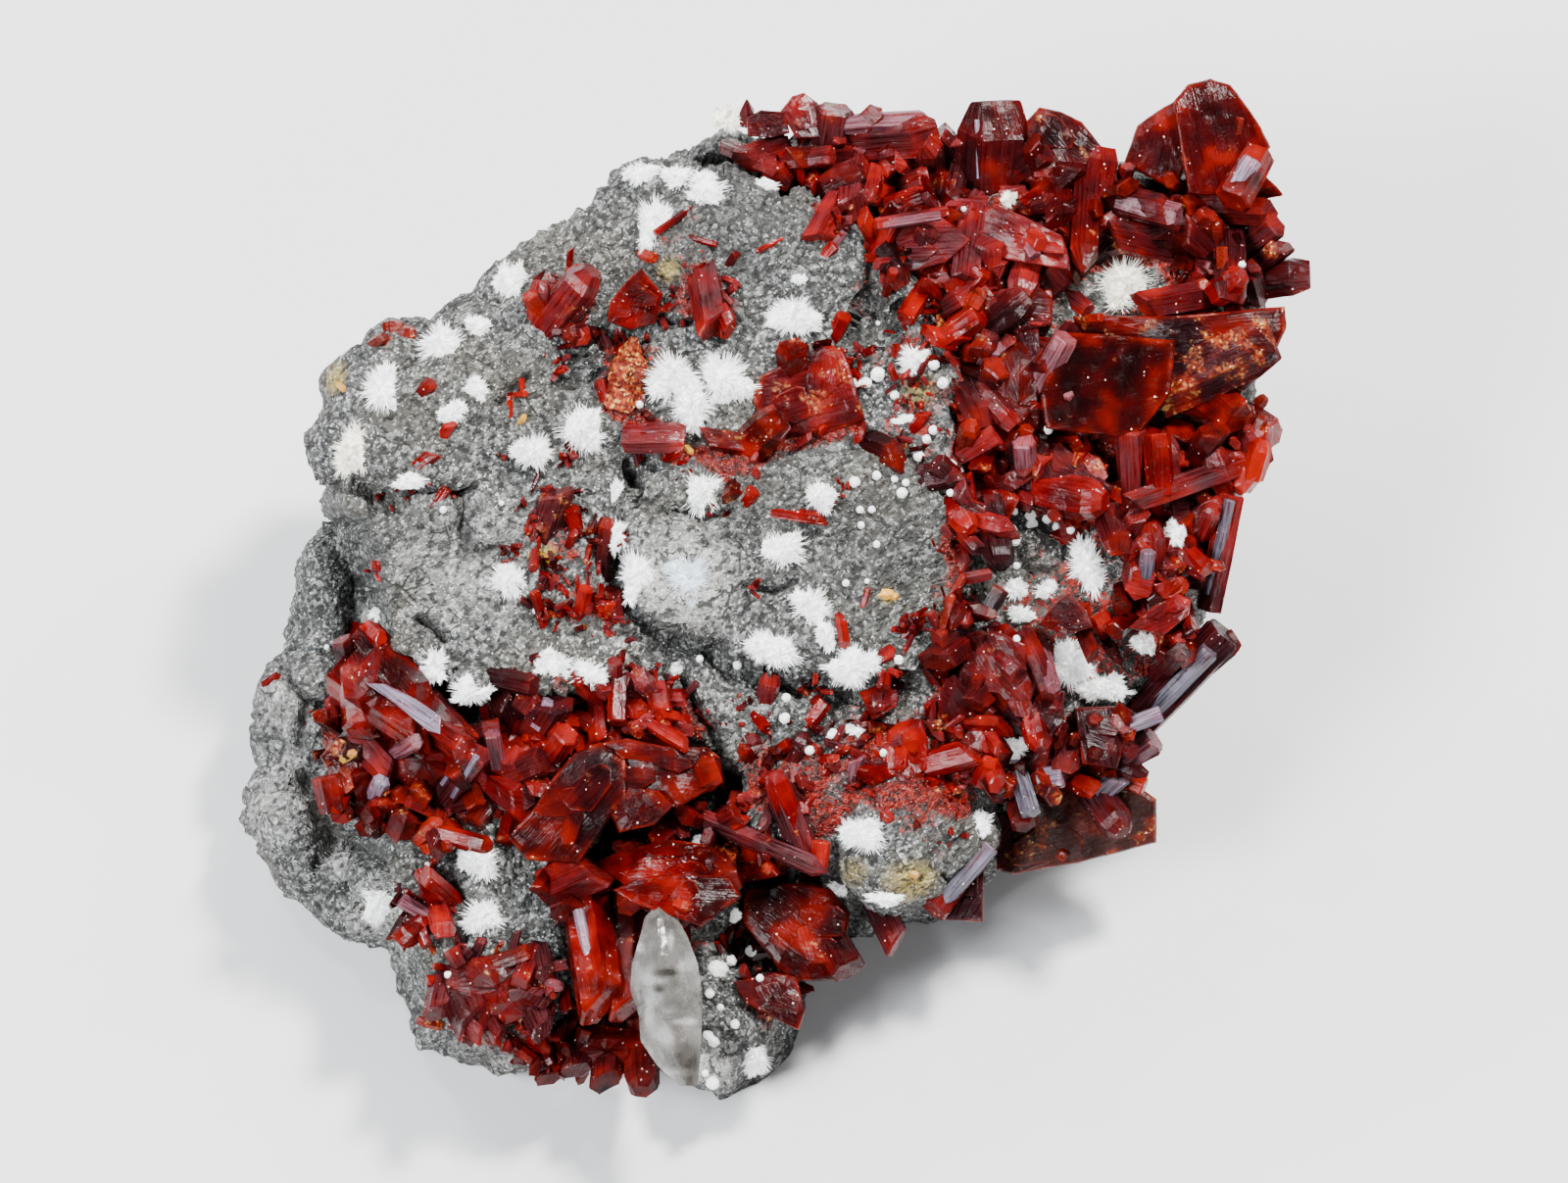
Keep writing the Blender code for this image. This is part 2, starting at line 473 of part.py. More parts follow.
# cluster name: (material name, its crystals)
CLUSTERS = {
    "great_block": ("maroon", [
        plate([(1088, 338), (1200, 346), (1196, 400), (1166, 440), (1142, 447), (1066, 438), (1060, 402)],
              1.6, 4.5, (0, -8)),
        plate([(1090, 322), (1200, 322), (1312, 312), (1314, 335), (1292, 380), (1232, 430), (1130, 400)],
              0.5, 4.5, (-6, 12)),
        prism((1180, 400, -1.5), (1300, 345, 0.6), 4.6, 3.2, 20, "chisel"),
        prism((1225, 395, -2.0), (1262, 428, -0.2), 3.0, 2.4, -25, "flat"),
        prism((1236, 300, -3.2), (1157, 313, 0.8), 2.3, 2.2, 18, "slant"),
    ]),
    "right_bars": ("red", [
        prism((1158, 524, -3.0), (1153, 436, 0.9), 2.3, 2.0, 12, "flat"),
        prism((1192, 512, -3.0), (1184, 446, 0.4), 2.6, 2.0, -20, "chisel"),
        prism((1272, 472, -2.6), (1148, 515, 1.2), 1.8, 1.6, 25, "slant"),
        prism((1250, 500, -3.5), (1236, 458, -0.4), 2.2, 1.8, 10, "chisel"),
        prism((1258, 478, -5.0), (1297, 458, -3.4), 2.6, 2.0, 30, "chisel"),
        prism((1268, 470, -4.5), (1272, 418, -2.6), 1.4, 1.3, 0, "slant"),
        lump((1250, 474, -3.2), (2.4, 1.6, 2.0), 41),
    ]),
    "inner_crystals": ("maroon", [
        plate([(1006, 312), (1020, 295), (1055, 288), (1075, 305), (1074, 332), (1035, 340)],
              -0.2, 3.5, (-5, 8)),
        prism((1094, 338, -2.2), (1060, 380, 0.6), 2.0, 1.6, 20, "flat"),
        plate([(1020, 334), (1060, 334), (1064, 380), (1050, 396), (1020, 385)], -0.3, 3.2, (6, -8)),
        prism((978, 378, -2.5), (1006, 436, 0.5), 2.5, 2.0, 15, "chisel"),
        prism((1060, 398, -2.4), (1044, 444, -0.2), 2.2, 1.8, 20, "slant"),
        prism((1046, 500, -3.0), (1045, 447, 0.6), 2.0, 1.8, -15, "slant"),
        lump((1040, 416, -1.4), (3.0, 5.2, 2.0), 42),
        plate([(1064, 458), (1082, 450), (1104, 470), (1136, 497), (1128, 522), (1102, 534), (1046, 516)],
              -0.1, 3.4, (8, -8)),
    ]),
    "upper_blocks": ("red", [
        plate([(1002, 214), (1014, 207), (1048, 222), (1084, 240), (1093, 264), (1092, 277), (998, 260)],
              0.4, 3.6, (4, -10)),
        plate([(898, 228), (960, 220), (992, 245), (966, 268), (930, 278), (900, 262)], 0.2, 3.0, (8, -6)),
        prism((966, 216, -0.8), (893, 229, 1.2), 0.9, 0.9, 10, "flat"),
        prism((994, 214, -2.5), (984, 288, 0.3), 2.3, 2.0, 20, "flat"),
        prism((1052, 262, -2.2), (1040, 306, 0.0), 2.4, 2.0, 10, "round"),
    ]),
    "upper_band_crystals": ("maroon", [
        prism((1112, 165, -4.5), (1105, 279, 0.9), 2.2, 2.0, 15, "point"),
        prism((1120, 200, -3.5), (1206, 220, -0.4), 2.4, 2.0, -15, "slant"),
        prism((1196, 212, -4.0), (1292, 216, -2.2), 2.3, 2.0, 20, "flat"),
        prism((1192, 255, -3.2), (1126, 238, -0.8), 2.3, 1.8, 15, "slant"),
        prism((1240, 262, -3.5), (1200, 228, -1.0), 2.2, 2.0, 0, "slant"),
        prism((1254, 240, -3.6), (1256, 307, 0.2), 2.6, 2.3, 20, "chisel"),
        lump((1196, 234, -2.8), (5.4, 2.0, 2.0), 45),
    ]),
    "crest_crystals": ("red", [
        prism((1008, 210, -7.5), (1016, 103, -3.4), 5.2, 4.4, -18, "chisel"),
        plate([(1046, 124), (1060, 109), (1082, 113), (1104, 124), (1138, 166), (1128, 188), (1046, 186)],
              -3.0, 5.0, (4, -10)),
        prism((1066, 196, -4.5), (1104, 160, -2.2), 2.4, 2.0, 0, "slant"),
    ]),
    "peak_blade": ("maroon", [
        plate([(1196, 104), (1212, 86), (1235, 80), (1256, 86), (1284, 124), (1297, 150), (1262, 200),
               (1212, 200)], -1.6, 5.6, (-6, 6)),
        plate([(1146, 168), (1160, 128), (1182, 112), (1210, 96), (1216, 150), (1200, 196)],
              -2.6, 5.0, (10, -4)),
        prism((1284, 157, -2.0), (1257, 205, -0.3), 2.7, 2.2, -20, "flat"),
        prism((1250, 196, -3.8), (1308, 186, -3.0), 2.2, 1.9, 20, "slant"),
    ]),
    "ridge_crystals": ("red", [
        prism((860, 198, -3.5), (829, 253, 0.2), 2.5, 2.2, 25, "slant"),
        prism((872, 168, -5.5), (868, 222, -0.8), 2.6, 2.2, -15, "slant"),
        prism((893, 175, -5.0), (886, 205, -2.0), 1.6, 1.5, 0, "chisel"),
    ]),
    "top_ridge_crystals": ("red", [
        plate([(762, 120), (776, 112), (802, 114), (806, 136), (788, 141), (762, 139)], -4.4, 3.4, (4, -8)),
        plate([(796, 113), (808, 98), (820, 94), (834, 104), (845, 120), (842, 141), (812, 142)],
              -4.2, 3.6, (-6, -8)),
        prism((846, 160, -6.0), (852, 110, -4.0), 2.8, 2.4, 0, "flat"),
        prism((850, 144, -7.0), (958, 137, -3.4), 3.4, 3.2, -28, "chisel"),
        prism((800, 150, -6.0), (752, 168, -3.6), 2.2, 2.0, 0, "slant"),
        prism((868, 160, -5.0), (800, 162, -3.4), 1.8, 1.6, 15, "slant"),
    ]),
    "right_tip_crystals": ("maroon", [
        prism((1278, 288, -5.6), (1337, 280, -4.2), 3.0, 2.2, 20, "chisel"),
        prism((1282, 268, -4.8), (1312, 244, -3.2), 2.2, 1.8, -15, "slant"),
    ]),
    "edge_crystals": ("red", [
        prism((1233, 622, -5.6), (1256, 503, -2.8), 1.7, 2.2, -28, "flat"),
        prism((1206, 545, -4.4), (1247, 512, -2.4), 2.2, 2.0, 10, "round"),
        prism((1190, 560, -3.8), (1236, 584, -2.2), 1.9, 1.7, 15, "slant"),
        prism((1176, 600, -3.8), (1172, 532, -1.0), 2.4, 2.2, 20, "round"),
        prism((1172, 530, -3.8), (1140, 562, -0.6), 2.8, 2.4, 0, "chisel"),
        lump((1192, 566, -3.4), (2.4, 2.4, 1.8), 50),
    ]),
    "glossy_crystal": ("red", [
        plate([(1150, 641), (1176, 619), (1202, 605), (1216, 612), (1213, 628), (1188, 648)],
              0.2, 3.0, (4, -10)),
    ]),
    "pillar_crystals": ("maroon", [
        prism((1010, 512, -1.4), (1021, 579, 0.9), 2.4, 2.2, 12, "round"),
        plate([(960, 516), (980, 505), (1006, 514), (1008, 540), (986, 549), (970, 536)], 0.9, 2.6),
    ]),
    "middle_right_crystals": ("maroon", [
        plate([(1058, 637), (1080, 612), (1092, 606), (1112, 626), (1116, 640), (1088, 649)],
              0.2, 3.0, (4, -10)),
        prism((1100, 632, -2.8), (1117, 674, 0.2), 1.3, 1.1, 20, "slant"),
    ]),
    "broad_crystals": ("maroon", [
        plate([(986, 642), (1018, 644), (1046, 656), (1070, 708), (1062, 742), (1002, 740), (976, 700)],
              -0.5, 3.8, (8, 8)),
        prism((1046, 646, -2.0), (1073, 708, 1.0), 1.5, 1.3, -18, "flat"),
        plate([(1058, 706), (1086, 705), (1086, 736), (1060, 763), (1045, 745)], 0.0, 3.2, (-8, -6)),
        prism((1010, 700, -2.4), (985, 725, 0.2), 2.2, 1.9, 20, "slant"),
    ]),
    "lower_blade": ("maroon", [
        prism((1150, 748, -7.6), (1250, 645, -3.4), 3.0, 2.6, -20, "flat"),
        prism((1215, 690, -6.4), (1262, 650, -3.6), 2.0, 1.8, 20, "chisel"),
    ]),
    "needle_fan": ("red", [
        prism((1002, 744, -1.8), (1022, 768, 0.6), 1.1, 1.0, 20, "slant"),
        prism((1002, 764, -2.4), (1020, 804, 0.8), 1.5, 1.3, -15, "slant"),
        prism((1005, 760, -2.5), (950, 780, 0.0), 1.6, 1.4, 0, "slant"),
        lump((1002, 768, -1.6), (2.4, 2.2, 1.7), 52),
    ]),
    "under_cluster": ("maroon", [
        prism((1042, 768, -5.8), (1044, 844, -2.0), 2.3, 2.2, 10, "round"),
        prism((1092, 772, -5.6), (1060, 801, -1.8), 2.1, 1.9, 25, "flat"),
        prism((1088, 768, -6.5), (1146, 850, -3.0), 2.5, 2.3, -15, "round"),
        plate([(1096, 722), (1142, 720), (1150, 756), (1140, 785), (1104, 780)], -1.8, 3.8, (-6, -4)),
        prism((1115, 775, -6.2), (1169, 797, -4.6), 2.0, 1.7, 0, "chisel"),
        prism((1130, 782, -6.2), (1179, 756, -4.6), 2.1, 1.8, 15, "flat"),
        lump((1080, 775, -5.2), (5.0, 2.2, 2.4), 53),
    ]),
    "shelf_plate": ("maroon", [
        plate([(1016, 888), (1032, 893), (1100, 881), (1181, 860), (1181, 815), (1150, 792), (1070, 792),
               (1015, 835)], -7.6, 1.6, (2, 3)),
        prism((1070, 800, -10.5), (1060, 850, -9.4), 4.5, 2.6, 0, "flat"),
    ]),
    "under_blade": ("maroon", [
        prism((1022, 838, -6.5), (952, 928, -4.2), 2.4, 2.2, 15, "flat"),
        plate([(958, 939), (1004, 878), (1003, 941)], -5.6, 2.2),
    ]),
    "purple_tips": ("maroon", [
        prism((890, 910, -6.5), (920, 972, -4.8), 2.3, 2.0, 15, "slant"),
    ]),
    "central_lower_crystals": ("red", [
        plate([(905, 745), (918, 736), (941, 732), (948, 760), (946, 786), (926, 797), (902, 790)],
              0.0, 2.6, (-4, -6)),
        prism((925, 778, -2.4), (878, 797, 0.2), 1.9, 1.6, 0, "slant"),
    ]),
    "wedge_crystal": ("red", [plate([(876, 706), (899, 697), (917, 706), (915, 721), (890, 736)],
                                    0.2, 3.0, (6, -12))]),
    "long_blade": ("red", [
        prism((690, 824, -2.2), (846, 890, -0.6), 1.3, 1.9, 25, "point"),
        prism((824, 878, -1.6), (789, 785, 0.0), 2.2, 1.9, -12, "slant"),
    ]),
    "bottom_block": ("maroon", [
        plate([(760, 908), (800, 900), (848, 906), (868, 930), (858, 1001), (804, 1002), (758, 942)],
              -3.8, 5.5, (-6, -6)),
        prism((830, 930, -6.0), (866, 990, -4.0), 2.8, 2.4, 20, "flat"),
        plate([(748, 1002), (790, 992), (813, 996), (822, 1032), (815, 1052), (758, 1022)],
              -3.4, 2.0, (0, -8)),
    ]),
    "great_blade": ("maroon", [
        plate([(517, 855), (546, 822), (562, 796), (586, 768), (612, 757), (640, 772), (640, 812),
               (590, 882), (537, 878)], 2.4, 2.6, (-6, -10)),
        plate([(598, 760), (640, 753), (676, 761), (722, 762), (737, 774), (736, 800), (690, 826),
               (616, 800)], 2.0, 2.8, (-4, -8)),
        plate([(612, 812), (640, 802), (672, 806), (688, 822), (668, 842), (632, 850)],
              2.9, 2.6, (0, -8)),
        prism((690, 800, -1.0), (733, 784, 1.6), 2.6, 2.2, 0, "chisel"),
    ]),
    "hanging_crystals": ("red", [
        plate([(624, 908), (650, 896), (700, 890), (745, 896), (758, 915), (716, 946), (645, 922)],
              1.2, 2.8, (-4, -10)),
        plate([(602, 880), (640, 866), (684, 856), (726, 862), (746, 882), (730, 900), (640, 906)],
              0.6, 2.6, (0, -8)),
        prism((560, 905, -2.8), (620, 880, 0.4), 3.6, 2.8, 20, "slant"),
        prism((592, 890, -2.8), (616, 1042, 0.6), 3.4, 2.8, 20, "slant"),
        prism((640, 905, -3.6), (640, 1042, -0.8), 2.6, 2.4, -15, "slant"),
    ]),
    "left_prism_cluster": ("maroon", [
        prism((352, 690, -4.0), (444, 752, 2.2), 3.7, 3.2, 14, "slant"),
        prism((372, 650, -3.6), (438, 728, 1.2), 3.0, 2.6, -10, "slant"),
        prism((410, 690, -3.0), (474, 762, 0.6), 2.6, 2.2, 10, "flat"),
        prism((440, 828, -3.6), (489, 768, 1.8), 2.0, 1.7, -20, "flat"),
        prism((350, 760, -6.0), (395, 848, -1.6), 2.8, 2.4, 15, "slant"),
        prism((430, 770, -4.4), (384, 838, -1.0), 2.6, 2.2, -15, "slant"),
        plate([(326, 772), (345, 752), (370, 762), (376, 795), (352, 815)], -1.6, 3.6, (0, -8)),
        lump((434, 776, -2.4), (3.4, 3.4, 2.2), 56),
        lump((384, 712, -2.4), (3.0, 4.4, 2.6), 55),
    ]),
    "middle_cluster": ("maroon", [
        prism((536, 762, -4.0), (571, 708, 1.0), 3.0, 2.4, 10, "slant"),
        prism((528, 742, -3.8), (506, 704, -0.6), 2.2, 1.8, -10, "slant"),
        prism((556, 740, -3.8), (584, 756, 0.4), 2.4, 2.0, 20, "slant"),
        plate([(500, 800), (520, 790), (544, 798), (548, 820), (530, 833), (508, 826)], -0.8, 3.2, (0, -8)),
        lump((530, 778, -3.0), (2.8, 2.2, 2.0), 58),
    ]),
    "small_left_cluster": ("red", [
        prism((446, 922, -3.6), (432, 886, -0.6), 1.7, 1.5, 10, "chisel"),
        prism((448, 928, -4.0), (406, 962, -1.4), 1.8, 1.5, -15, "chisel"),
        prism((446, 922, -3.6), (454, 956, -0.8), 1.8, 1.5, 15, "chisel"),
    ]),
    "lower_left_cluster": ("red", [
        prism((462, 992, -5.0), (492, 1058, -0.8), 3.4, 2.8, 12, "slant"),
        prism((548, 958, -4.2), (558, 998, -1.2), 1.7, 1.5, 10, "slant"),
        prism((536, 1010, -4.8), (557, 1058, -1.2), 2.1, 1.8, 15, "slant"),
        prism((560, 998, -5.0), (530, 1024, -1.2), 2.4, 1.8, -10, "slant"),
        prism((456, 990, -5.0), (446, 1040, -1.6), 2.2, 1.8, 0, "slant"),
        lump((510, 1006, -3.2), (4.8, 3.0, 2.2), 61),
    ]),
    "bottom_fringe": ("maroon", [
        prism((600, 1050, -8.0), (586, 1100, -4.8), 2.4, 2.0, 10, "slant"),
        prism((575, 1060, -8.0), (556, 1108, -5.4), 1.8, 1.6, 0, "slant"),
        prism((655, 1050, -8.0), (655, 1114, -4.2), 2.6, 2.2, 12, "round"),
        prism((625, 1050, -8.0), (618, 1112, -4.6), 2.4, 2.1, -12, "slant"),
        lump((620, 1070, -6.6), (4.0, 1.8, 2.0), 62),
    ]),
    "west_crystal": ("red", [
        prism((552, 345, -1.6), (604, 276, 2.4), 3.0, 2.6, 10, "round"),
        prism((546, 345, -1.6), (552, 286, 1.4), 1.5, 1.4, -10, "chisel"),
        prism((566, 328, -1.4), (598, 346, 1.0), 1.8, 1.5, 0, "round"),
    ]),
    "middle_crystal": ("red", [
        plate([(619, 328), (622, 308), (640, 285), (654, 273), (677, 300), (669, 331), (642, 337)],
              1.9, 2.9, (0, 12)),
    ]),
    "east_crystal": ("red", [
        prism((714, 262, -1.4), (730, 344, 2.0), 2.6, 2.2, 12, "slant"),
        prism((722, 290, -1.4), (746, 341, 1.2), 1.6, 1.4, -10, "slant"),
    ]),
    "rusty_ridge": ("rusty", [
        prism((650, 404, -1.6), (634, 346, 1.2), 2.4, 2.0, 10, "slant"),
        prism((640, 376, -1.6), (630, 419, 0.8), 2.4, 2.0, 0, "chisel"),
        lump((641, 386, 0.2), (1.6, 2.6, 1.3), 47),
    ]),
    "spindle": ("red", [prism((640, 447, 0.4), (699, 446, 2.2), 2.4, 2.0, 16, "chisel")]),
    "sparkling_cluster": ("red", [
        prism((744, 474, -1.2), (798, 424, 2.2), 2.9, 2.3, 8, "chisel"),
        prism((786, 458, 0.2), (711, 446, 1.2), 1.6, 1.3, 0, "slant"),
        prism((762, 470, -1.0), (745, 514, 2.4), 1.6, 1.3, 10, "slant"),
        prism((815, 400, -1.8), (808, 354, 1.6), 2.4, 2.0, -10, "flat"),
        plate([(766, 402), (778, 382), (838, 352), (862, 356), (884, 428), (838, 450), (776, 436)],
              0.9, 2.4, (3, 4)),
    ]),
    "face_prisms": ("red", [
        prism((554, 547, -1.4), (572, 492, 1.4), 2.5, 2.0, 12, "slant"),
    ]),
    "cliff_crystals": ("maroon", [
        prism((612, 606, -2.0), (620, 528, 0.9), 1.4, 1.3, 10, "chisel"),
        prism((640, 688, -2.6), (622, 604, 0.4), 1.8, 1.5, -12, "slant"),
        lump((618, 612, -1.2), (1.6, 1.3, 1.4), 63),
    ]),
}

# Calcite: one blunt scalenohedron, its sections as pixel rows with left and right edges
CALCITE_ROWS = [(924, 669, 675), (936, 657, 692), (958, 651, 704), (984, 643, 714), (1010, 641, 718),
                (1036, 650, 718), (1062, 652, 717), (1088, 670, 715), (1108, 694, 712)]
CALCITE_LEVEL = 0.9
CALCITE_THICKNESS = 3.4

# Sprays of needles: centre pixel, half sizes in pixels, height in mm. Parts of one spray grew together.
SPRAYS = {
    "spray_top": ("white", [(690, 181, 30, 18, 1.1), (722, 194, 26, 20, 1.2)]),
    "spray_top_fan": ("white", [(668, 226, 23, 34, 1.5)]),
    "spray_upper_left": ("white", [(523, 291, 20, 31, 1.3)]),
    "spray_west_edge": ("white", [(452, 352, 32, 32, 1.5)]),
    "spray_left_fan": ("white", [(390, 400, 25, 31, 1.4)]),
    "spray_left_cream": ("cream", [(360, 458, 23, 31, 1.6)]),
    "spray_centre_left": ("white", [(546, 462, 26, 24, 1.8)]),
    "spray_grey": ("white", [(592, 438, 29, 30, 1.7)]),
    "spray_high": ("white", [(810, 322, 34, 27, 1.7)]),
    "spray_triple": ("white", [(688, 384, 32, 31, 2.0), (738, 387, 34, 31, 2.0), (706, 412, 30, 30, 2.2)]),
    "spray_block_left": ("white", [(716, 501, 28, 29, 1.9)]),
    "spray_block_middle": ("white", [(800, 560, 31, 28, 1.9)]),
    "spray_block_right": ("white", [(826, 618, 25, 25, 1.7)]),
    "spray_block_low": ("white", [(795, 665, 31, 29, 1.8)]),
    "spray_block_corner": ("white", [(872, 684, 29, 28, 1.8)]),
    "spray_right_large": ("white", [(1110, 577, 25, 31, 2.2)]),
    "spray_lower_large": ("white", [(1090, 680, 28, 30, 2.2), (1126, 702, 32, 20, 1.9)]),
    "spray_cream_large": ("cream", [(1146, 287, 35, 30, 2.4)]),
}
SPRAY_SINK = 0.25                 # how deep a spray's middle sits in what it grows on, as a share of its height


def calcite_points(grow):
    """Rings of a flattened six-sided section, one for each row, deepest in the middle of its length."""
    points = []
    for index, (row, left, right) in enumerate(CALCITE_ROWS):
        share = index / (len(CALCITE_ROWS) - 1)
        middle = (left + right) / 2.0
        half = (right - left) / 2.0 + grow / PIXEL
        deep = CALCITE_THICKNESS / 2.0 * min(1.0, half * PIXEL / 2.2) + grow
        shift = -grow / PIXEL if index == 0 else grow / PIXEL if index == len(CALCITE_ROWS) - 1 else 0.0
        for across, raised in ((-1.0, -0.1), (-0.35, 1.0), (0.45, 0.82), (1.0, 0.0), (0.4, -1.0), (-0.5, -1.0)):
            level = CALCITE_LEVEL - 1.2 * share + raised * deep
            points.append(face_point(middle + across * half, row + shift, level))
    return points


def spiky_ball(middle, normal, half_width, half_height, depth):
    """A burr: a twenty-faced ball, its open faces raised to spikes, flattened onto what it grows on."""
    burr = bmesh.new()
    bmesh.ops.create_icosphere(burr, subdivisions=1, radius=0.7)
    open_faces = [face for face in burr.faces if face.calc_center_median().z > -0.3]
    for tip in bmesh.ops.poke(burr, faces=open_faces)["verts"]:
        tip.co = tip.co.normalized()
    front = Vector(normal).normalized()
    side = Vector(RIGHT) - front * front.dot(Vector(RIGHT))
    side.normalize()
    top = front.cross(side)
    for vertex in burr.verts:
        across, upward, outward = vertex.co
        place = side * across * half_width + top * upward * half_height + front * outward * depth
        vertex.co = (Vector(middle) + place) * MM
    return burr


def landing(trees, px, py):
    """Where the photograph's line of sight through a pixel first meets what is built, and its normal."""
    eye = FACE_CENTRE + EYE_DISTANCE * OUT
    aim = face_point(np.array(float(px)), np.array(float(py)), np.array(0.0)) - eye
    aim /= np.linalg.norm(aim)
    hits = [tree.ray_cast(Vector(eye * MM), Vector(aim)) for tree in trees]
    hits = [hit for hit in hits if hit[0] is not None]
    place, normal, _, _ = min(hits, key=lambda hit: hit[3])
    return np.array(place) / MM, np.array(normal)


def make_material(name, colour, roughness, transmission=0.0):
    material = bpy.data.materials.new(name)
    material.use_nodes = True
    shader = material.node_tree.nodes["Principled BSDF"]
    shader.inputs["Base Color"].default_value = (*colour, 1.0)
    shader.inputs["Roughness"].default_value = roughness
    shader.inputs["Metallic"].default_value = 0.0
    shader.inputs["Transmission Weight"].default_value = transmission
    material.diffuse_color = (*colour, 1.0)
    return material


MATERIALS = {
    "rock": make_material("grey_rock", (0.20, 0.20, 0.185), 0.9),
    "red": make_material("red_realgar", (0.36, 0.012, 0.006), 0.18),
    "maroon": make_material("maroon_realgar", (0.15, 0.012, 0.012), 0.3),
    "rusty": make_material("rusty_realgar", (0.36, 0.07, 0.02), 0.5),
    "white": make_material("white_needles", (0.85, 0.86, 0.84), 0.6),
    "cream": make_material("cream_needles", (0.80, 0.77, 0.62), 0.6),
    "pale blue": make_material("pale_blue_needles", (0.62, 0.68, 0.74), 0.6),
    "calcite": make_material("milky_calcite", (0.62, 0.60, 0.55), 0.25, 0.5),
}

rock = make_rock(MATERIALS["rock"])
fat_rock = rock.data.copy()
move_points(fat_rock, read_points(fat_rock) + vertex_normals(fat_rock) * GAP * MM)


def make_cluster(name, forms, material, earlier):
    """A cluster joined in one solid, trimmed to the rock and to the crystals made before it."""
    shapes = [POINTS_OF[form["kind"]](form, 0.0) for form in forms]
    item = new_object(name, hull_mesh(name, shapes), material)
    box = box_of(item.data)
    cutters = [form for form, form_box in earlier if boxes_meet(box, form_box)]
    cutter = hull_mesh("cutter", [POINTS_OF[form["kind"]](form, GAP) for form in cutters])
    joined = bmesh.new()
    joined.from_mesh(fat_rock)
    joined.from_mesh(cutter)
    joined.to_mesh(cutter)
    joined.free()
    trim(item, cutter)
    for form in forms:
        points = np.array(POINTS_OF[form["kind"]](form, GAP)) * MM
        earlier.append((form, (points.min(axis=0), points.max(axis=0))))
    return item


POINTS_OF["calcite"] = lambda form, grow: calcite_points(grow)
built = []
make_cluster("calcite_crystal", [{"kind": "calcite"}], MATERIALS["calcite"], built)
for cluster_name, (material_name, crystal_forms) in CLUSTERS.items():
    make_cluster(cluster_name, crystal_forms, MATERIALS[material_name], built)


def make_spray(name, balls, material, trees, others):
    """A spray: its burrs joined, and trimmed to the rock and to whatever crystals or sprays touch it."""
    joined = bmesh.new()
    for px, py, half_width, half_height, height in balls:
        place, normal = landing(trees, px, py)
        lean = (np.array(normal) + OUT) / np.linalg.norm(np.array(normal) + OUT)
        middle = place + lean * height * SPRAY_SINK
        burr = spiky_ball(middle, lean, half_width * PIXEL, half_height * PIXEL, height)
        part = bpy.data.meshes.new("burr")
        burr.to_mesh(part)
        burr.free()
        joined.from_mesh(part)
        bpy.data.meshes.remove(part)
    mesh = bpy.data.meshes.new(name)
    joined.to_mesh(mesh)
    joined.free()
    item = new_object(name, mesh, material)
    box = box_of(mesh)
    cutter = bmesh.new()
    cutter.from_mesh(fat_rock)
    for other in others:
        if boxes_meet(box, box_of(other.data)):
            fat = other.data.copy()
            move_points(fat, read_points(fat) + vertex_normals(fat) * GAP * MM)
            cutter.from_mesh(fat)
            bpy.data.meshes.remove(fat)
    cutter_mesh = bpy.data.meshes.new("cutter")
    cutter.to_mesh(cutter_mesh)
    cutter.free()
    trim(item, cutter_mesh)
    return item


crystals = [item for item in bpy.data.objects if item is not rock]
sight_trees = []
for item in [rock] + crystals:
    body = bmesh.new()
    body.from_mesh(item.data)
    sight_trees.append(BVHTree.FromBMesh(body))
    body.free()
for spray_name, (material_name, balls) in SPRAYS.items():
    crystals.append(make_spray(spray_name, balls, MATERIALS[material_name], sight_trees, crystals))
bpy.data.meshes.remove(fat_rock)
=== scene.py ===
"""Picropharmacolite with realgar: a hand specimen of grey rock with red crystals, white needle sprays,
small white beads and one milky calcite, lying on its broken back.

Places on the specimen's face are pixels of the reference photograph with a level in mm above the plane of
the face. Everything else is in mm until it is put into a mesh, which is in metres.
"""
from math import cos, pi, radians, sin, tan

import bpy
import numpy as np
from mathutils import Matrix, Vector
from mathutils.bvhtree import BVHTree
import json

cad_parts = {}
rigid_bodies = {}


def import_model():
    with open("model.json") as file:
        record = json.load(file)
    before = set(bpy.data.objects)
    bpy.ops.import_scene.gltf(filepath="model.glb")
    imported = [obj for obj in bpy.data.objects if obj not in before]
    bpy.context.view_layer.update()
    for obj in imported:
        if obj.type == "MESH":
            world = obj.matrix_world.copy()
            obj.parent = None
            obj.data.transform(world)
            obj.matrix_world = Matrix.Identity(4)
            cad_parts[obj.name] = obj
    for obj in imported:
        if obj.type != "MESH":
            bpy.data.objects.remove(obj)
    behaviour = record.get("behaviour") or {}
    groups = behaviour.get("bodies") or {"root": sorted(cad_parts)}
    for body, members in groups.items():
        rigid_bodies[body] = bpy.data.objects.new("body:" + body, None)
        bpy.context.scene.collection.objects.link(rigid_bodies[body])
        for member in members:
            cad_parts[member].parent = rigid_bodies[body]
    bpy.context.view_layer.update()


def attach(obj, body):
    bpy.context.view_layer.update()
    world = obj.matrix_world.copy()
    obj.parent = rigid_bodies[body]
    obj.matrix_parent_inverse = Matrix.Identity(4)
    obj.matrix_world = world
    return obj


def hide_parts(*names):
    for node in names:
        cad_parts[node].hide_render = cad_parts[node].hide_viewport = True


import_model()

# The rock
# A broken lump of fine-grained grey dolomite, sugary and speckled, with ledges, cracks and a rough back.
# Its face is built of masses laid over one another; its back runs in to the flat that it rests on.
MM = 0.001
PIXEL = 0.068
PHOTO_CENTRE = (800.0, 603.5)
VIEW_ELEVATION = radians(62)
EYE_DISTANCE = 550.0
FACE_CENTRE = np.array([0.0, 0.0, 23.5])
FACE_SLOPE = 0.15
RIGHT = np.array([1.0, 0.0, 0.0])
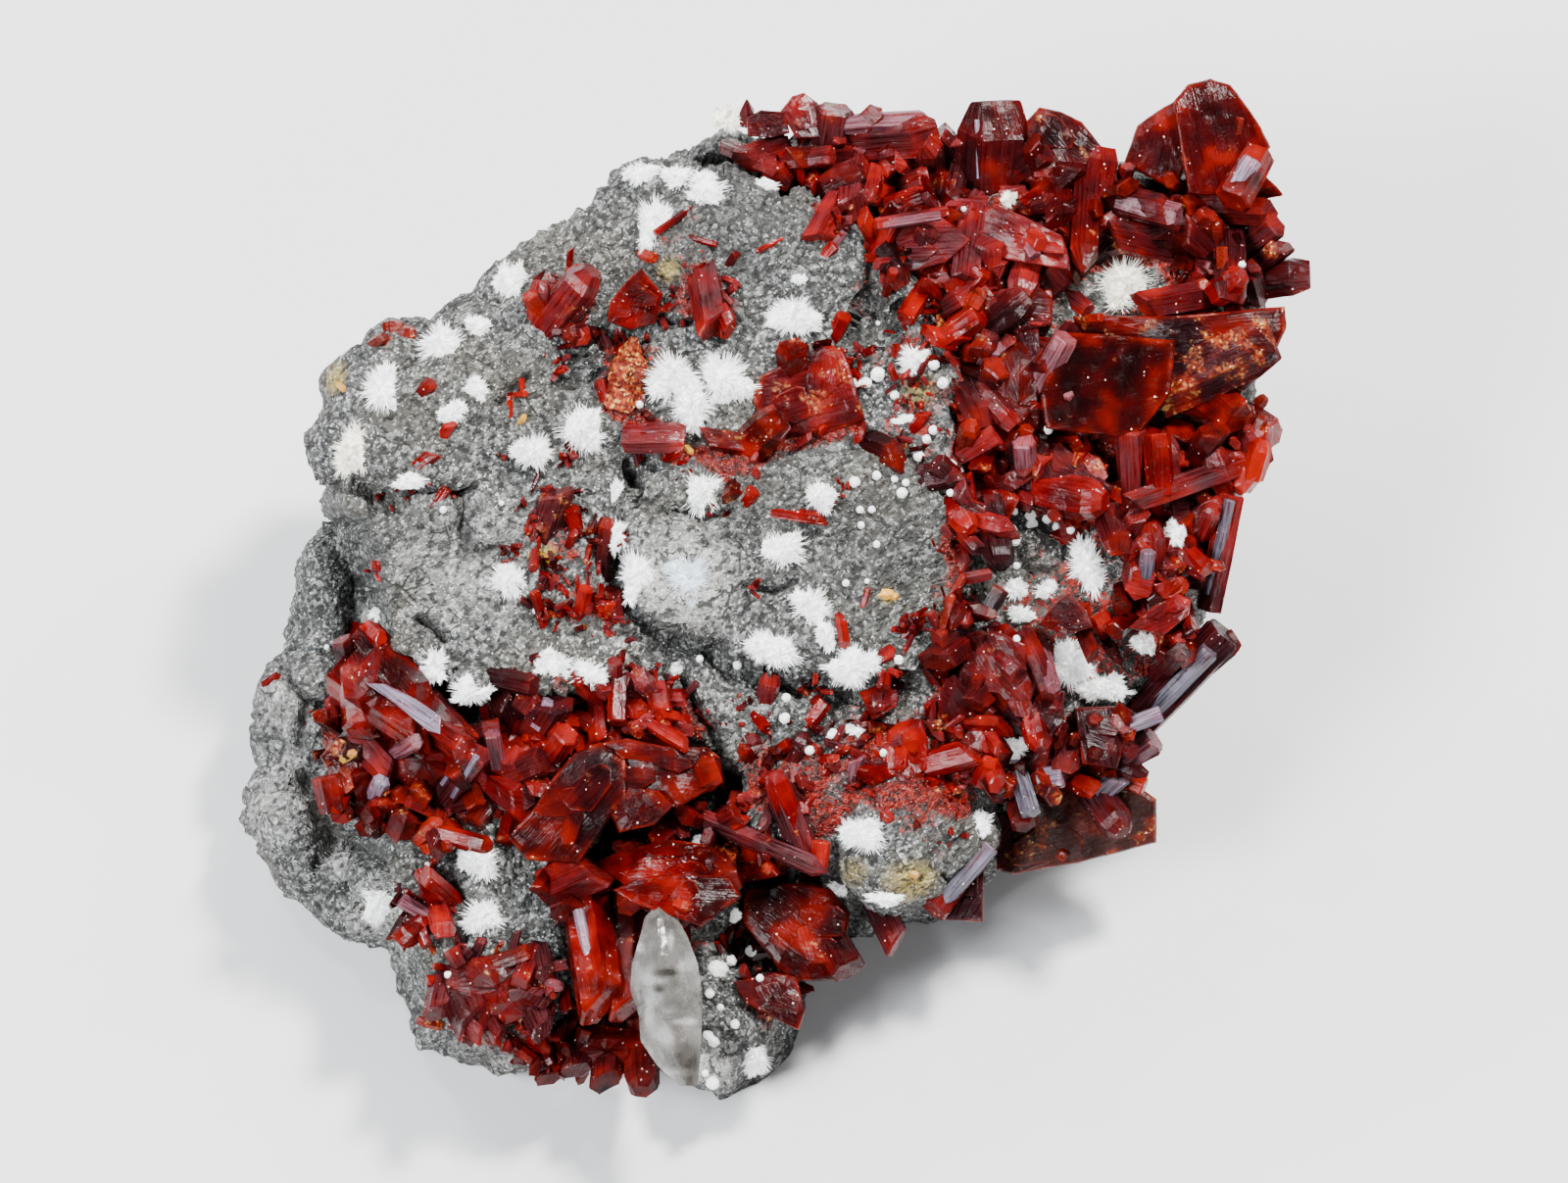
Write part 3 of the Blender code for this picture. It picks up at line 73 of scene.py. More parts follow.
UP = np.array([0.0, sin(VIEW_ELEVATION), cos(VIEW_ELEVATION)])
OUT = np.array([0.0, -cos(VIEW_ELEVATION), sin(VIEW_ELEVATION)])

OUTLINE = [
    (700, 150), (738, 124), (770, 138), (880, 138), (960, 140), (1050, 130), (1150, 160), (1250, 180),
    (1288, 240), (1292, 330), (1280, 420), (1255, 500), (1225, 600), (1185, 700), (1140, 755), (1080, 800),
    (1020, 835), (1012, 870), (960, 920), (905, 935), (850, 905), (825, 930), (800, 985), (824, 1030),
    (808, 1078), (775, 1112), (735, 1130), (700, 1108), (650, 1085), (600, 1080), (540, 1092), (475, 1084),
    (428, 1070), (420, 1030), (398, 970), (350, 955), (290, 915), (262, 870), (260, 815), (276, 770),
    (268, 715), (298, 665), (302, 610), (308, 565), (326, 543), (345, 520), (332, 500), (322, 460),
    (338, 420), (342, 385), (372, 360), (400, 338), (440, 335), (485, 305), (505, 268), (540, 240),
    (600, 205), (640, 170), (672, 160)]
OUTLINE_CENTRE = (770.0, 600.0)
RIM_DROP = 6.5
RIM_WIDTH = 7.5
GROUND_LEVEL = -9.0

# level in mm, width in mm of its sloping edge, outline in pixels; each lies over the ones before it
MASSES = {
    "right body": (-3.2, 2.5, [
        (860, 240), (930, 170), (1050, 150), (1200, 160), (1300, 220), (1310, 340), (1290, 440), (1262, 520),
        (1230, 620), (1190, 705), (1130, 770), (1040, 810), (990, 790), (975, 680), (985, 560), (950, 300)]),
    "right bank": (-2.2, 2.0, [
        (900, 240), (1000, 230), (1070, 300), (1080, 470), (1020, 540), (1010, 660), (960, 680), (900, 560)]),
    "under the block": (-0.9, 2.0, [
        (570, 590), (640, 540), (980, 600), (1010, 780), (740, 790), (690, 760), (590, 750)]),
    "top strip": (-5.0, 1.6, [
        (690, 170), (695, 140), (740, 110), (800, 115), (960, 120), (1060, 115), (1160, 150), (1200, 185),
        (1000, 205), (930, 195), (870, 215), (820, 190), (760, 178)]),
    "left shelf": (-8.0, 2.0, [
        (290, 540), (330, 530), (372, 560), (375, 640), (345, 700), (318, 790), (330, 860), (372, 910),
        (405, 975), (340, 975), (250, 900), (245, 800), (262, 700)]),
    "plateau": (0.0, 0.9, [
        (320, 400), (350, 350), (440, 318), (510, 250), (600, 195), (645, 160), (700, 155), (760, 172),
        (825, 185), (880, 215), (960, 285), (990, 380), (995, 480), (1015, 560), (1005, 650), (975, 700),
        (870, 700), (760, 690), (700, 665), (650, 655), (630, 700), (560, 705), (520, 715), (480, 715),
        (440, 700), (400, 680), (372, 640), (372, 560), (350, 520), (325, 480)]),
    "lower left slab": (-2.6, 2.2, [
        (362, 860), (400, 800), (450, 740), (520, 700), (620, 690), (720, 740), (730, 800), (640, 860),
        (600, 930), (600, 1030), (612, 1100), (540, 1110), (420, 1085), (405, 1020), (380, 950)]),
    "under the hanging crystals": (-3.4, 2.0, [
        (590, 850), (700, 815), (765, 830), (775, 900), (745, 960), (650, 1010), (600, 980)]),
    "middle step": (-0.8, 2.0, [
        (600, 700), (640, 680), (700, 668), (740, 690), (870, 705), (975, 700), (1010, 720), (1020, 790),
        (1015, 860), (960, 925), (900, 938), (845, 905), (750, 885), (735, 800), (690, 760), (600, 762)]),
    "lower right lobe": (0.6, 2.0, [
        (845, 855), (895, 790), (985, 785), (1015, 838), (1003, 880), (945, 928), (890, 935), (850, 900)]),
    "bottom lobe": (-3.4, 2.0, [
        (690, 960), (745, 950), (790, 985), (828, 1030), (806, 1090), (738, 1138), (690, 1112), (672, 1040)]),
    "central block": (1.1, 0.42, [
        (626, 545), (640, 500), (665, 478), (720, 462), (790, 470), (860, 460), (925, 465), (975, 520),
        (992, 600), (975, 660), (940, 690), (870, 702), (790, 692), (740, 682), (700, 652), (660, 628),
        (630, 592)]),
}

# depth and width in mm, line in pixels
CREVICES = {
    "under the central block": (1.3, 0.45, [
        (618, 562), (627, 597), (657, 633), (698, 658), (738, 688), (788, 698), (866, 708)]),
    "down the middle step": (2.2, 0.8, [(694, 690), (715, 730), (735, 768)]),
    "across the plateau": (1.0, 0.6, [(360, 500), (400, 508), (440, 498), (470, 512), (480, 560)]),
    "above the spindle": (0.8, 0.5, [(560, 398), (600, 382), (640, 412), (668, 432)]),
    "beside the left shelf": (2.4, 1.0, [(340, 545), (368, 590), (362, 640), (335, 722)]),
    "below the left prism": (2.2, 1.2, [(318, 800), (335, 850), (385, 868)]),
    "left of the bottom lobe": (2.0, 1.2, [(600, 950), (612, 1020), (640, 1060)]),
    "left of the right lobe": (2.0, 1.0, [(745, 880), (800, 890), (850, 905)]),
    "above the central block": (0.7, 0.5, [(650, 480), (655, 520), (680, 528), (710, 520)]),
    "upper crack": (1.2, 0.5, [(865, 345), (885, 300), (900, 335), (925, 318)]),
}
# fine cracks, too thin for the solids: depth and width in mm, line in pixels
CRACKS = [
    (0.5, 0.2, [(462, 508), (470, 535), (478, 562)]), (0.9, 0.21, [(540, 385), (524, 396), (510, 412)]),
    (0.8, 0.21, [(575, 396), (590, 388), (618, 380)]), (0.9, 0.22, [(675, 326), (690, 331), (706, 328)]),
    (0.7, 0.20, [(488, 562), (500, 558), (512, 556)]), (0.8, 0.21, [(420, 500), (450, 506), (485, 498)]),
    (1.0, 0.24, [(425, 628), (440, 636), (452, 650)]), (0.8, 0.20, [(600, 360), (590, 372), (578, 376)]),
    (0.9, 0.22, [(640, 470), (652, 500), (650, 516)]), (0.8, 0.21, [(882, 236), (890, 262), (884, 290)]),
    (0.8, 0.20, [(760, 596), (790, 602), (812, 590)]), (0.7, 0.18, [(690, 520), (720, 528), (744, 524)]),
    (0.9, 0.22, [(300, 690), (312, 720), (306, 760)]), (0.8, 0.21, [(462, 900), (480, 930), (474, 960)])]
# rounded knobs on the face: centre and radius in pixels, height in mm
KNOBS = [
    (352, 512, 24, 1.3), (402, 362, 26, 0.8), (356, 902, 38, 1.6), (300, 760, 40, 0.9), (290, 840, 34, 0.8),
    (320, 690, 26, 0.7), (1062, 560, 26, 0.9), (742, 520, 30, 0.35), (900, 560, 40, 0.3),
    (470, 610, 44, 0.4), (560, 420, 34, 0.4), (480, 704, 28, 1.5), (566, 702, 30, 1.0),
    (770, 1000, 26, 0.7), (700, 1080, 26, 0.6), (960, 830, 30, 0.6), (440, 1050, 24, 0.5)]
ROCK_CELLS = 256
BACK_RINGS = 27
# cell mm, height mm, seed, here and for chips, knobbles and ledges; the first four also shape the solid
NOISE = [(13.0, 0.9, 11), (6.0, 0.7, 12), (2.9, 0.45, 13), (1.5, 0.22, 14), (0.85, 0.15, 15), (0.5, 0.12, 16)]
BASE_CENTRE = (-3.0, 2.5)
BASE_RADII = (23.5, 19.0)
BASE_SHARE = 0.45
TURN = np.array([[0.79, 0.33, 0.51], [-0.61, 0.53, 0.59], [-0.07, -0.78, 0.62]])  # turns the fine noise
CUT_BELOW = 1.2
FINE_CELL = 1.2                   # noise with smaller cells than this, in mm, is turned
BACK_CHIPS = [(11.0, 2.2, 31), (5.0, 1.2, 32)]
BACK_MIDDLE = (*BASE_CENTRE, 12.0)
BACK_DRAW = 0.9                   # how much later the far side draws in to the flat
KNOBBLES = [(2.6, 0.30, 42), (1.2, 0.2, 43)]
KNOBBLY_PLACES = (8.0, 41)        # cell mm and seed of the noise that says where the rock is knobbly
LEDGES = (9.0, 0.16, 44)
GRAIN_HEIGHT = 0.09
FADE_HEIGHT = 3.0                 # the roughness fades out over this height above the flat
# how the edges of the masses sway, in pixels: cell, reach, seeds across and down
SWAY = [(42.0, 7.0, 21, 22), (17.0, 4.0, 23, 24)]
TABLE_SIZE = 4096
SCATTER = np.array([73856093, 19349663, 83492791])  # large primes that scatter corners over a table


def face_point(px, py, level):
    """The place in mm of a pixel at a level above the face plane, along the photograph's line of sight."""
    across = (np.asarray(px, float) - PHOTO_CENTRE[0]) * PIXEL
    upward = (PHOTO_CENTRE[1] - np.asarray(py, float)) * PIXEL
    height = np.asarray(level, float) - FACE_SLOPE * upward
    near = (1.0 - height / EYE_DISTANCE)[..., None]
    flat = across[..., None] * RIGHT + upward[..., None] * UP
    return FACE_CENTRE + near * flat + height[..., None] * OUT


def smooth(value):
    """A soft step: 0 below 0, 1 above 1, level at both ends."""
    step = np.clip(value, 0.0, 1.0)
    return step * step * (3.0 - 2.0 * step)


def from_table(table, corner):
    """The row of a table that belongs to each corner of a cube lattice."""
    return table[np.bitwise_xor.reduce(corner * SCATTER, axis=1) % TABLE_SIZE]


def lattice_noise(points, cell, seed):
    """Seeded numbers at the corners of a cube lattice, blended smoothly in between, from -1 to 1."""
    table = np.random.default_rng(seed).uniform(-1.0, 1.0, TABLE_SIZE)
    place = points / cell
    corner = np.floor(place).astype(np.int64)
    blend = smooth(place - corner)
    total = np.zeros(len(points))
    for step in np.ndindex(2, 2, 2):
        weight = np.prod(np.where(np.array(step) == 1, blend, 1.0 - blend), axis=1)
        total += weight * from_table(table, corner + np.array(step))
    return total


def knob_noise(points, cell, seed):
    """Rounded knobs with sharp creases: high at seeded points of a cube lattice, low half-way between."""
    table = np.random.default_rng(seed).uniform(0.0, 1.0, (TABLE_SIZE, 3))
    place = points / cell
    corner = np.floor(place).astype(np.int64)
    nearest = np.full(len(points), 9.0)
    for step in np.ndindex(3, 3, 3):
        key = corner + np.array(step) - 1
        nearest = np.minimum(nearest, np.linalg.norm(key + from_table(table, key) - place, axis=1))
    return 0.9 - 1.7 * nearest


def terraces(points, cell, rise, seed):
    """Broken ledges: slow noise rounded to a few levels, with a steep step between one level and the next."""
    height = (lattice_noise(points, cell, seed) + 0.5 * lattice_noise(points, cell * 0.4, seed + 1)) * 3.0
    level = np.floor(height)
    return rise * (level + smooth((height - level) * 5.0))


def distance_to_line(px, py, line, closed=False):
    """Distance in pixels from each point to the nearest stretch of a line of points."""
    corners = np.array(line, float)
    starts, ends = (corners, np.roll(corners, -1, axis=0)) if closed else (corners[:-1], corners[1:])
    nearest = np.full(len(px), np.inf)
    for start, run in zip(starts, ends - starts):
        along = np.clip(((px - start[0]) * run[0] + (py - start[1]) * run[1]) / (run @ run), 0.0, 1.0)
        away = np.hypot(px - start[0] - along * run[0], py - start[1] - along * run[1])
        nearest = np.minimum(nearest, away)
    return nearest


def groove(px, py, line, width):
    """A rounded groove along a line, 1 on the line and next to 0 at twice its width in mm away from it."""
    away = distance_to_line(px, py, line) * PIXEL / width
    return np.exp(-away * away)


def depth_inside(px, py, outline):
    """Distance in pixels to an outline, positive inside it and negative outside."""
    corners = np.array(outline, float)
    after = np.roll(corners, -1, axis=0)
    crossings = np.zeros(len(px), int)
    for start, end in zip(corners, after):
        spans = (start[1] > py) != (end[1] > py)
        rise = end[1] - start[1] if end[1] != start[1] else 1e-9
        crossings += spans & (px < start[0] + (py - start[1]) / rise * (end[0] - start[0]))
    return np.where(crossings % 2 == 1, 1.0, -1.0) * distance_to_line(px, py, outline, True)


def face_level(px, py):
    """Level of the rock's face: masses laid over one another, less the crevices and the rim's roll-off."""
    pixels = np.stack([px, py, np.zeros(len(px))], axis=1)
    warped_x, warped_y = px, py
    for cell, reach, seed_across, seed_down in SWAY:
        warped_x = warped_x + reach * lattice_noise(pixels, cell, seed_across)
        warped_y = warped_y + reach * lattice_noise(pixels, cell, seed_down)
    level = np.full(len(px), GROUND_LEVEL)
    for mass_level, edge, outline in MASSES.values():
        cover = smooth(depth_inside(warped_x, warped_y, outline) * PIXEL / edge)
        level += (mass_level - level) * cover
    for depth, width, line in CREVICES.values():
        level -= depth * groove(warped_x, warped_y, line, width)
    inward = np.clip(depth_inside(px, py, OUTLINE) * PIXEL / RIM_WIDTH, 0.0, 1.0)
    return level - RIM_DROP * (1.0 - np.sqrt(1.0 - (1.0 - inward) ** 2))


def outline_reach(angle):
    """How far the rock's outline lies from its centre along each direction, in pixels."""
    corners = np.array(OUTLINE, float) - OUTLINE_CENTRE
    reach = np.zeros(len(angle))
    for start, end in zip(corners, np.roll(corners, -1, axis=0)):
        side = end - start
        cross = np.cos(angle) * side[1] - np.sin(angle) * side[0]
        cross = np.where(np.abs(cross) < 1e-9, 1e-9, cross)
        away = (start[0] * side[1] - start[1] * side[0]) / cross
        place = (start[0] * np.sin(angle) - start[1] * np.cos(angle)) / cross
        hit = (away > 0) & (place >= -1e-6) & (place <= 1.0 + 1e-6)
        reach = np.maximum(reach, np.where(hit, away, 0.0))
    return reach


def rock_face(share, angle):
    """The disc stretched to the outline and raised to the face's level; also its pixels."""
    reach = outline_reach(angle) * share
    px = OUTLINE_CENTRE[0] + reach * np.cos(angle)
    py = OUTLINE_CENTRE[1] + reach * np.sin(angle)
    return face_point(px, py, face_level(px, py)), px, py


def rock_wall(rim, angle, down):
    """The back: from the rim in to the ellipse of the flat, chipped by noise half-way down."""
    foot = np.stack([BASE_CENTRE[0] + BASE_RADII[0] * np.cos(angle),
                     BASE_CENTRE[1] - BASE_RADII[1] * np.sin(angle),
                     np.full(len(angle), -CUT_BELOW)], axis=1)
    far_side = np.clip(-np.sin(angle), 0.0, 1.0)
    inward = (down ** (1.0 + BACK_DRAW * far_side))[:, None]
    wall = rim * (1.0 - inward) + foot * inward
    wall[:, 2] = rim[:, 2] * (1.0 - down) + foot[:, 2] * down
    chips = sum(height * lattice_noise(wall, cell, seed) for cell, height, seed in BACK_CHIPS)
    away = wall - np.array(BACK_MIDDLE)
    away /= np.linalg.norm(away, axis=1)[:, None]
    return wall + away * (chips * np.sin(pi * down))[:, None]


def new_mesh(name, points, faces):
    """A mesh in metres from points in mm, with nothing below the flat that the specimen rests on."""
    points = np.array(points, float)
    points[:, 2] = np.maximum(points[:, 2], 0.0)
    mesh = bpy.data.meshes.new(name)
    mesh.from_pydata((points * MM).tolist(), [], faces)
    return mesh


def add_object(mesh, material):
    """A mesh with its material as an object at the origin."""
    item = bpy.data.objects.new(mesh.name, mesh)
    bpy.context.collection.objects.link(item)
    mesh.materials.append(material)
    mesh.update()
    return item


def paint(mesh, name, colours):
    """Four numbers for each vertex, stored as a colour attribute that the material reads."""
    layer = mesh.color_attributes.new(name, "FLOAT_COLOR", "POINT")
    layer.data.foreach_set("color", np.asarray(colours, np.float32).ravel())


def set_plain(socket, value):
    """Give a socket a plain value; a colour is written as its red, green and blue."""
    socket.default_value = (*value, 1.0) if socket.type == "RGBA" else value


def node(tree, kind, values=None, **settings):
    """A shader node with its settings, its inputs set to plain values or linked to other sockets."""
    made = tree.nodes.new(kind)
    for setting, value in settings.items():
        setattr(made, setting, value)
    for socket, value in (values or {}).items():
        if isinstance(value, bpy.types.NodeSocket):
            tree.links.new(value, made.inputs[socket])
        else:
            set_plain(made.inputs[socket], value)
    return made


def link(tree, end, **sockets):
    """Link sockets to a node's inputs, each given by its name."""
    for name, socket in sockets.items():
        tree.links.new(socket, end.inputs[name.replace("_", " ")])


def maths(tree, operation, first, second=0.0, third=0.0, clamp=False):
    """One step of arithmetic on numbers or sockets."""
    made = node(tree, "ShaderNodeMath", {0: first, 1: second, 2: third}, operation=operation, use_clamp=clamp)
    return made.outputs[0]


def above(tree, value, threshold, gain):
    """How far a value is above a threshold, times a gain, from 0 to 1."""
    return maths(tree, "MULTIPLY", maths(tree, "SUBTRACT", value, threshold), gain, clamp=True)


def noise(tree, place, scale, detail):
    """Cloudy noise with about this many clouds a metre."""
    return node(tree, "ShaderNodeTexNoise", {"Vector": place, "Scale": scale, "Detail": detail}).outputs[0]


def mix(tree, share, first, second):
    """A colour between two, by a share from 0 to 1."""
    return node(tree, "ShaderNodeMix", {0: share, 6: first, 7: second}, data_type="RGBA").outputs[2]


def ramp(tree, share, *stops):
    """A colour ramp with stops of a place and a colour."""
    made = node(tree, "ShaderNodeValToRGB", {0: share})
    elements = made.color_ramp.elements
    while len(elements) < len(stops):
        elements.new(1.0)
    for element, (place, colour) in zip(elements, stops):
        element.position = place
        element.color = (*colour, 1.0)
    return made.outputs[0]


def new_group(name, inputs, outputs):
    """An empty shader node group with named inputs and outputs; gives its tree and both ends."""
    tree = bpy.data.node_groups.new(name, "ShaderNodeTree")
    for socket, kind, value in inputs:
        made = tree.interface.new_socket(name=socket, in_out="INPUT", socket_type=kind)
        made.default_value = (*value, 1.0) if kind == "NodeSocketColor" else value
    for socket, kind in outputs:
        tree.interface.new_socket(name=socket, in_out="OUTPUT", socket_type=kind)
    return tree, tree.nodes.new("NodeGroupInput"), tree.nodes.new("NodeGroupOutput")


def new_material(name, **plain):
    """A material with its Principled shader's plain values; gives the material, its tree and its shader."""
    material = bpy.data.materials.new(name)
    material.use_nodes = True
    tree = material.node_tree
    shader = tree.nodes["Principled BSDF"]
    for socket, value in plain.items():
        set_plain(shader.inputs[socket.replace("_", " ")], value)
    return material, tree, shader


def sugar_grain():
    """Grains of a fine-grained rock: cells of two sizes with their own greys, glints, pits and heights."""
    tree, enter, leave = new_group("sugar_grain", [("Cell", "NodeSocketFloat", 0.4)], [
        ("Grey", "NodeSocketFloat"), ("Glint", "NodeSocketFloat"), ("Height", "NodeSocketFloat")])
    place = node(tree, "ShaderNodeTexCoord").outputs["Object"]
    per_metre = maths(tree, "DIVIDE", 1000.0, enter.outputs["Cell"])
    coarse = node(tree, "ShaderNodeTexVoronoi", {"Vector": place, "Scale": per_metre})
    fine = node(tree, "ShaderNodeTexVoronoi",
                {"Vector": place, "Scale": maths(tree, "MULTIPLY", per_metre, 2.3)})
    coarse_grey = node(tree, "ShaderNodeSeparateColor", {0: coarse.outputs["Color"]})
    fine_grey = node(tree, "ShaderNodeSeparateColor", {0: fine.outputs["Color"]})
    grey = maths(tree, "MULTIPLY_ADD", coarse_grey.outputs[0], 0.72,
                 maths(tree, "MULTIPLY", fine_grey.outputs[0], 0.28))
    glint = maths(tree, "GREATER_THAN", fine_grey.outputs[1], 0.955)
    height = maths(tree, "ADD", maths(tree, "MULTIPLY", coarse.outputs["Distance"], -1.0),
                   maths(tree, "MULTIPLY", fine.outputs["Distance"], -0.5))
    link(tree, leave, Grey=grey, Glint=glint, Height=height)
    return tree


SUGAR_GRAIN = sugar_grain()
# the greys of its grains, each with the place in the spread of tones where it comes in
ROCK_GREYS = [(0.18, (0.022, 0.022, 0.020)), (0.38, (0.050, 0.051, 0.049)), (0.52, (0.082, 0.086, 0.082)),
              (0.70, (0.222, 0.230, 0.223)), (0.82, (0.42, 0.43, 0.42))]
ROCK_BROWN = (0.105, 0.090, 0.068)
ROCK_GLINT = (0.85, 0.86, 0.86)
STAIN_RED = (0.240, 0.010, 0.004)
CRUST_RED = (0.040, 0.0010, 0.0008)
CRUST_AND_PAINTED_LIGHT_WHITE = (0.700, 0.690, 0.650)
OCHRE = (0.50, 0.36, 0.070)
# painted shade for clefts, cracks and pits, also the colour of the darker patches of rock
CLEFT_SHADE_AND_DARK_TONE = (0.014, 0.013, 0.011)
ROCK_ROUGHNESS = 0.85


def rock_material():
    """Speckled grey, browner in patches, with the painted stains, crusts, painted light and darker patches
    over it, and painted shade in its clefts and pits.
    """
    material, tree, shader = new_material("grey_rock", Roughness=ROCK_ROUGHNESS)
    grain = node(tree, "ShaderNodeGroup", {"Cell": 0.30}, node_tree=SUGAR_GRAIN)
    place = node(tree, "ShaderNodeTexCoord").outputs["Object"]
    patches = noise(tree, place, 120.0, 4.0)
    blotches = noise(tree, place, 480.0, 5.0)
    painted = node(tree, "ShaderNodeAttribute", attribute_name="stain")
    stain = node(tree, "ShaderNodeSeparateColor", {0: painted.outputs["Color"]})
    tone = maths(tree, "ADD", maths(tree, "MULTIPLY", grain.outputs["Grey"], 0.72),
                 maths(tree, "MULTIPLY", blotches, 0.5))
    colour = ramp(tree, maths(tree, "SUBTRACT", tone, 0.12), *ROCK_GREYS)
    colour = mix(tree, above(tree, patches, 0.47, 2.2), colour, ROCK_BROWN)
    colour = mix(tree, maths(tree, "MULTIPLY", grain.outputs["Glint"], 0.55), colour, ROCK_GLINT)
    speckle = maths(tree, "MULTIPLY_ADD", blotches, 1.6, maths(tree, "MULTIPLY", grain.outputs["Grey"], 0.7))
    reach = maths(tree, "MULTIPLY_ADD", stain.outputs[0], 0.55, maths(tree, "MULTIPLY", speckle, 0.6))
    colour = mix(tree, above(tree, reach, 1.17, 9.0), colour, STAIN_RED)
    overgrown = node(tree, "ShaderNodeAttribute", attribute_name="overgrown").outputs["Fac"]
    ragged = noise(tree, place, 260.0, 6.0)
    reach = maths(tree, "ADD", overgrown, maths(tree, "MULTIPLY_ADD", speckle, 0.3,
                  maths(tree, "MULTIPLY", ragged, 1.2)))
    crust = above(tree, reach, 1.42, 7.0)
    colour = mix(tree, crust, colour, mix(tree, grain.outputs["Grey"], CRUST_RED, STAIN_RED))
    # white crusts, partly painted light, and ochre stains
    for channel, strength, finish in ((1, 0.8, CRUST_AND_PAINTED_LIGHT_WHITE), (2, 0.6, OCHRE)):
        speckled = maths(tree, "MULTIPLY", speckle, strength)
        cover = maths(tree, "MULTIPLY", stain.outputs[channel], speckled, clamp=True)
        colour = mix(tree, cover, colour, finish)
    # pits: sunk by the bump and painted darker as their shade
    pits = noise(tree, place, 1700.0, 6.0)
    pitted = maths(tree, "MULTIPLY", maths(tree, "SUBTRACT", 0.44, pits), 16.0, clamp=True)
    joints = node(tree, "ShaderNodeTexVoronoi", {"Vector": place, "Scale": 520.0}, feature="DISTANCE_TO_EDGE")
    jointed = maths(tree, "MULTIPLY", maths(tree, "LESS_THAN", joints.outputs["Distance"], 0.035),
                    maths(tree, "GREATER_THAN", blotches, 0.56))
    pitted = maths(tree, "MAXIMUM", pitted, jointed)
    # painted shade in clefts, cracks and pits, with the darker patches of rock and the dark joints
    dark = maths(tree, "MAXIMUM", painted.outputs["Alpha"], maths(tree, "MULTIPLY", pitted, 0.85))
    colour = mix(tree, dark, colour, CLEFT_SHADE_AND_DARK_TONE)
    roughness = maths(tree, "SUBTRACT", ROCK_ROUGHNESS, maths(tree, "MULTIPLY", grain.outputs["Glint"], 0.6))
    roughness = maths(tree, "SUBTRACT", roughness, maths(tree, "MULTIPLY", crust, 0.55), clamp=True)
    height = maths(tree, "MULTIPLY_ADD", blotches, 1.0, grain.outputs["Height"])
    height = maths(tree, "MULTIPLY_ADD", pitted, -0.8, height)
    bump = node(tree, "ShaderNodeBump", {"Strength": 1.0, "Distance": 0.00022, "Height": height})
    link(tree, shader, Base_Color=colour, Roughness=roughness, Normal=bump.outputs[0])
    return material


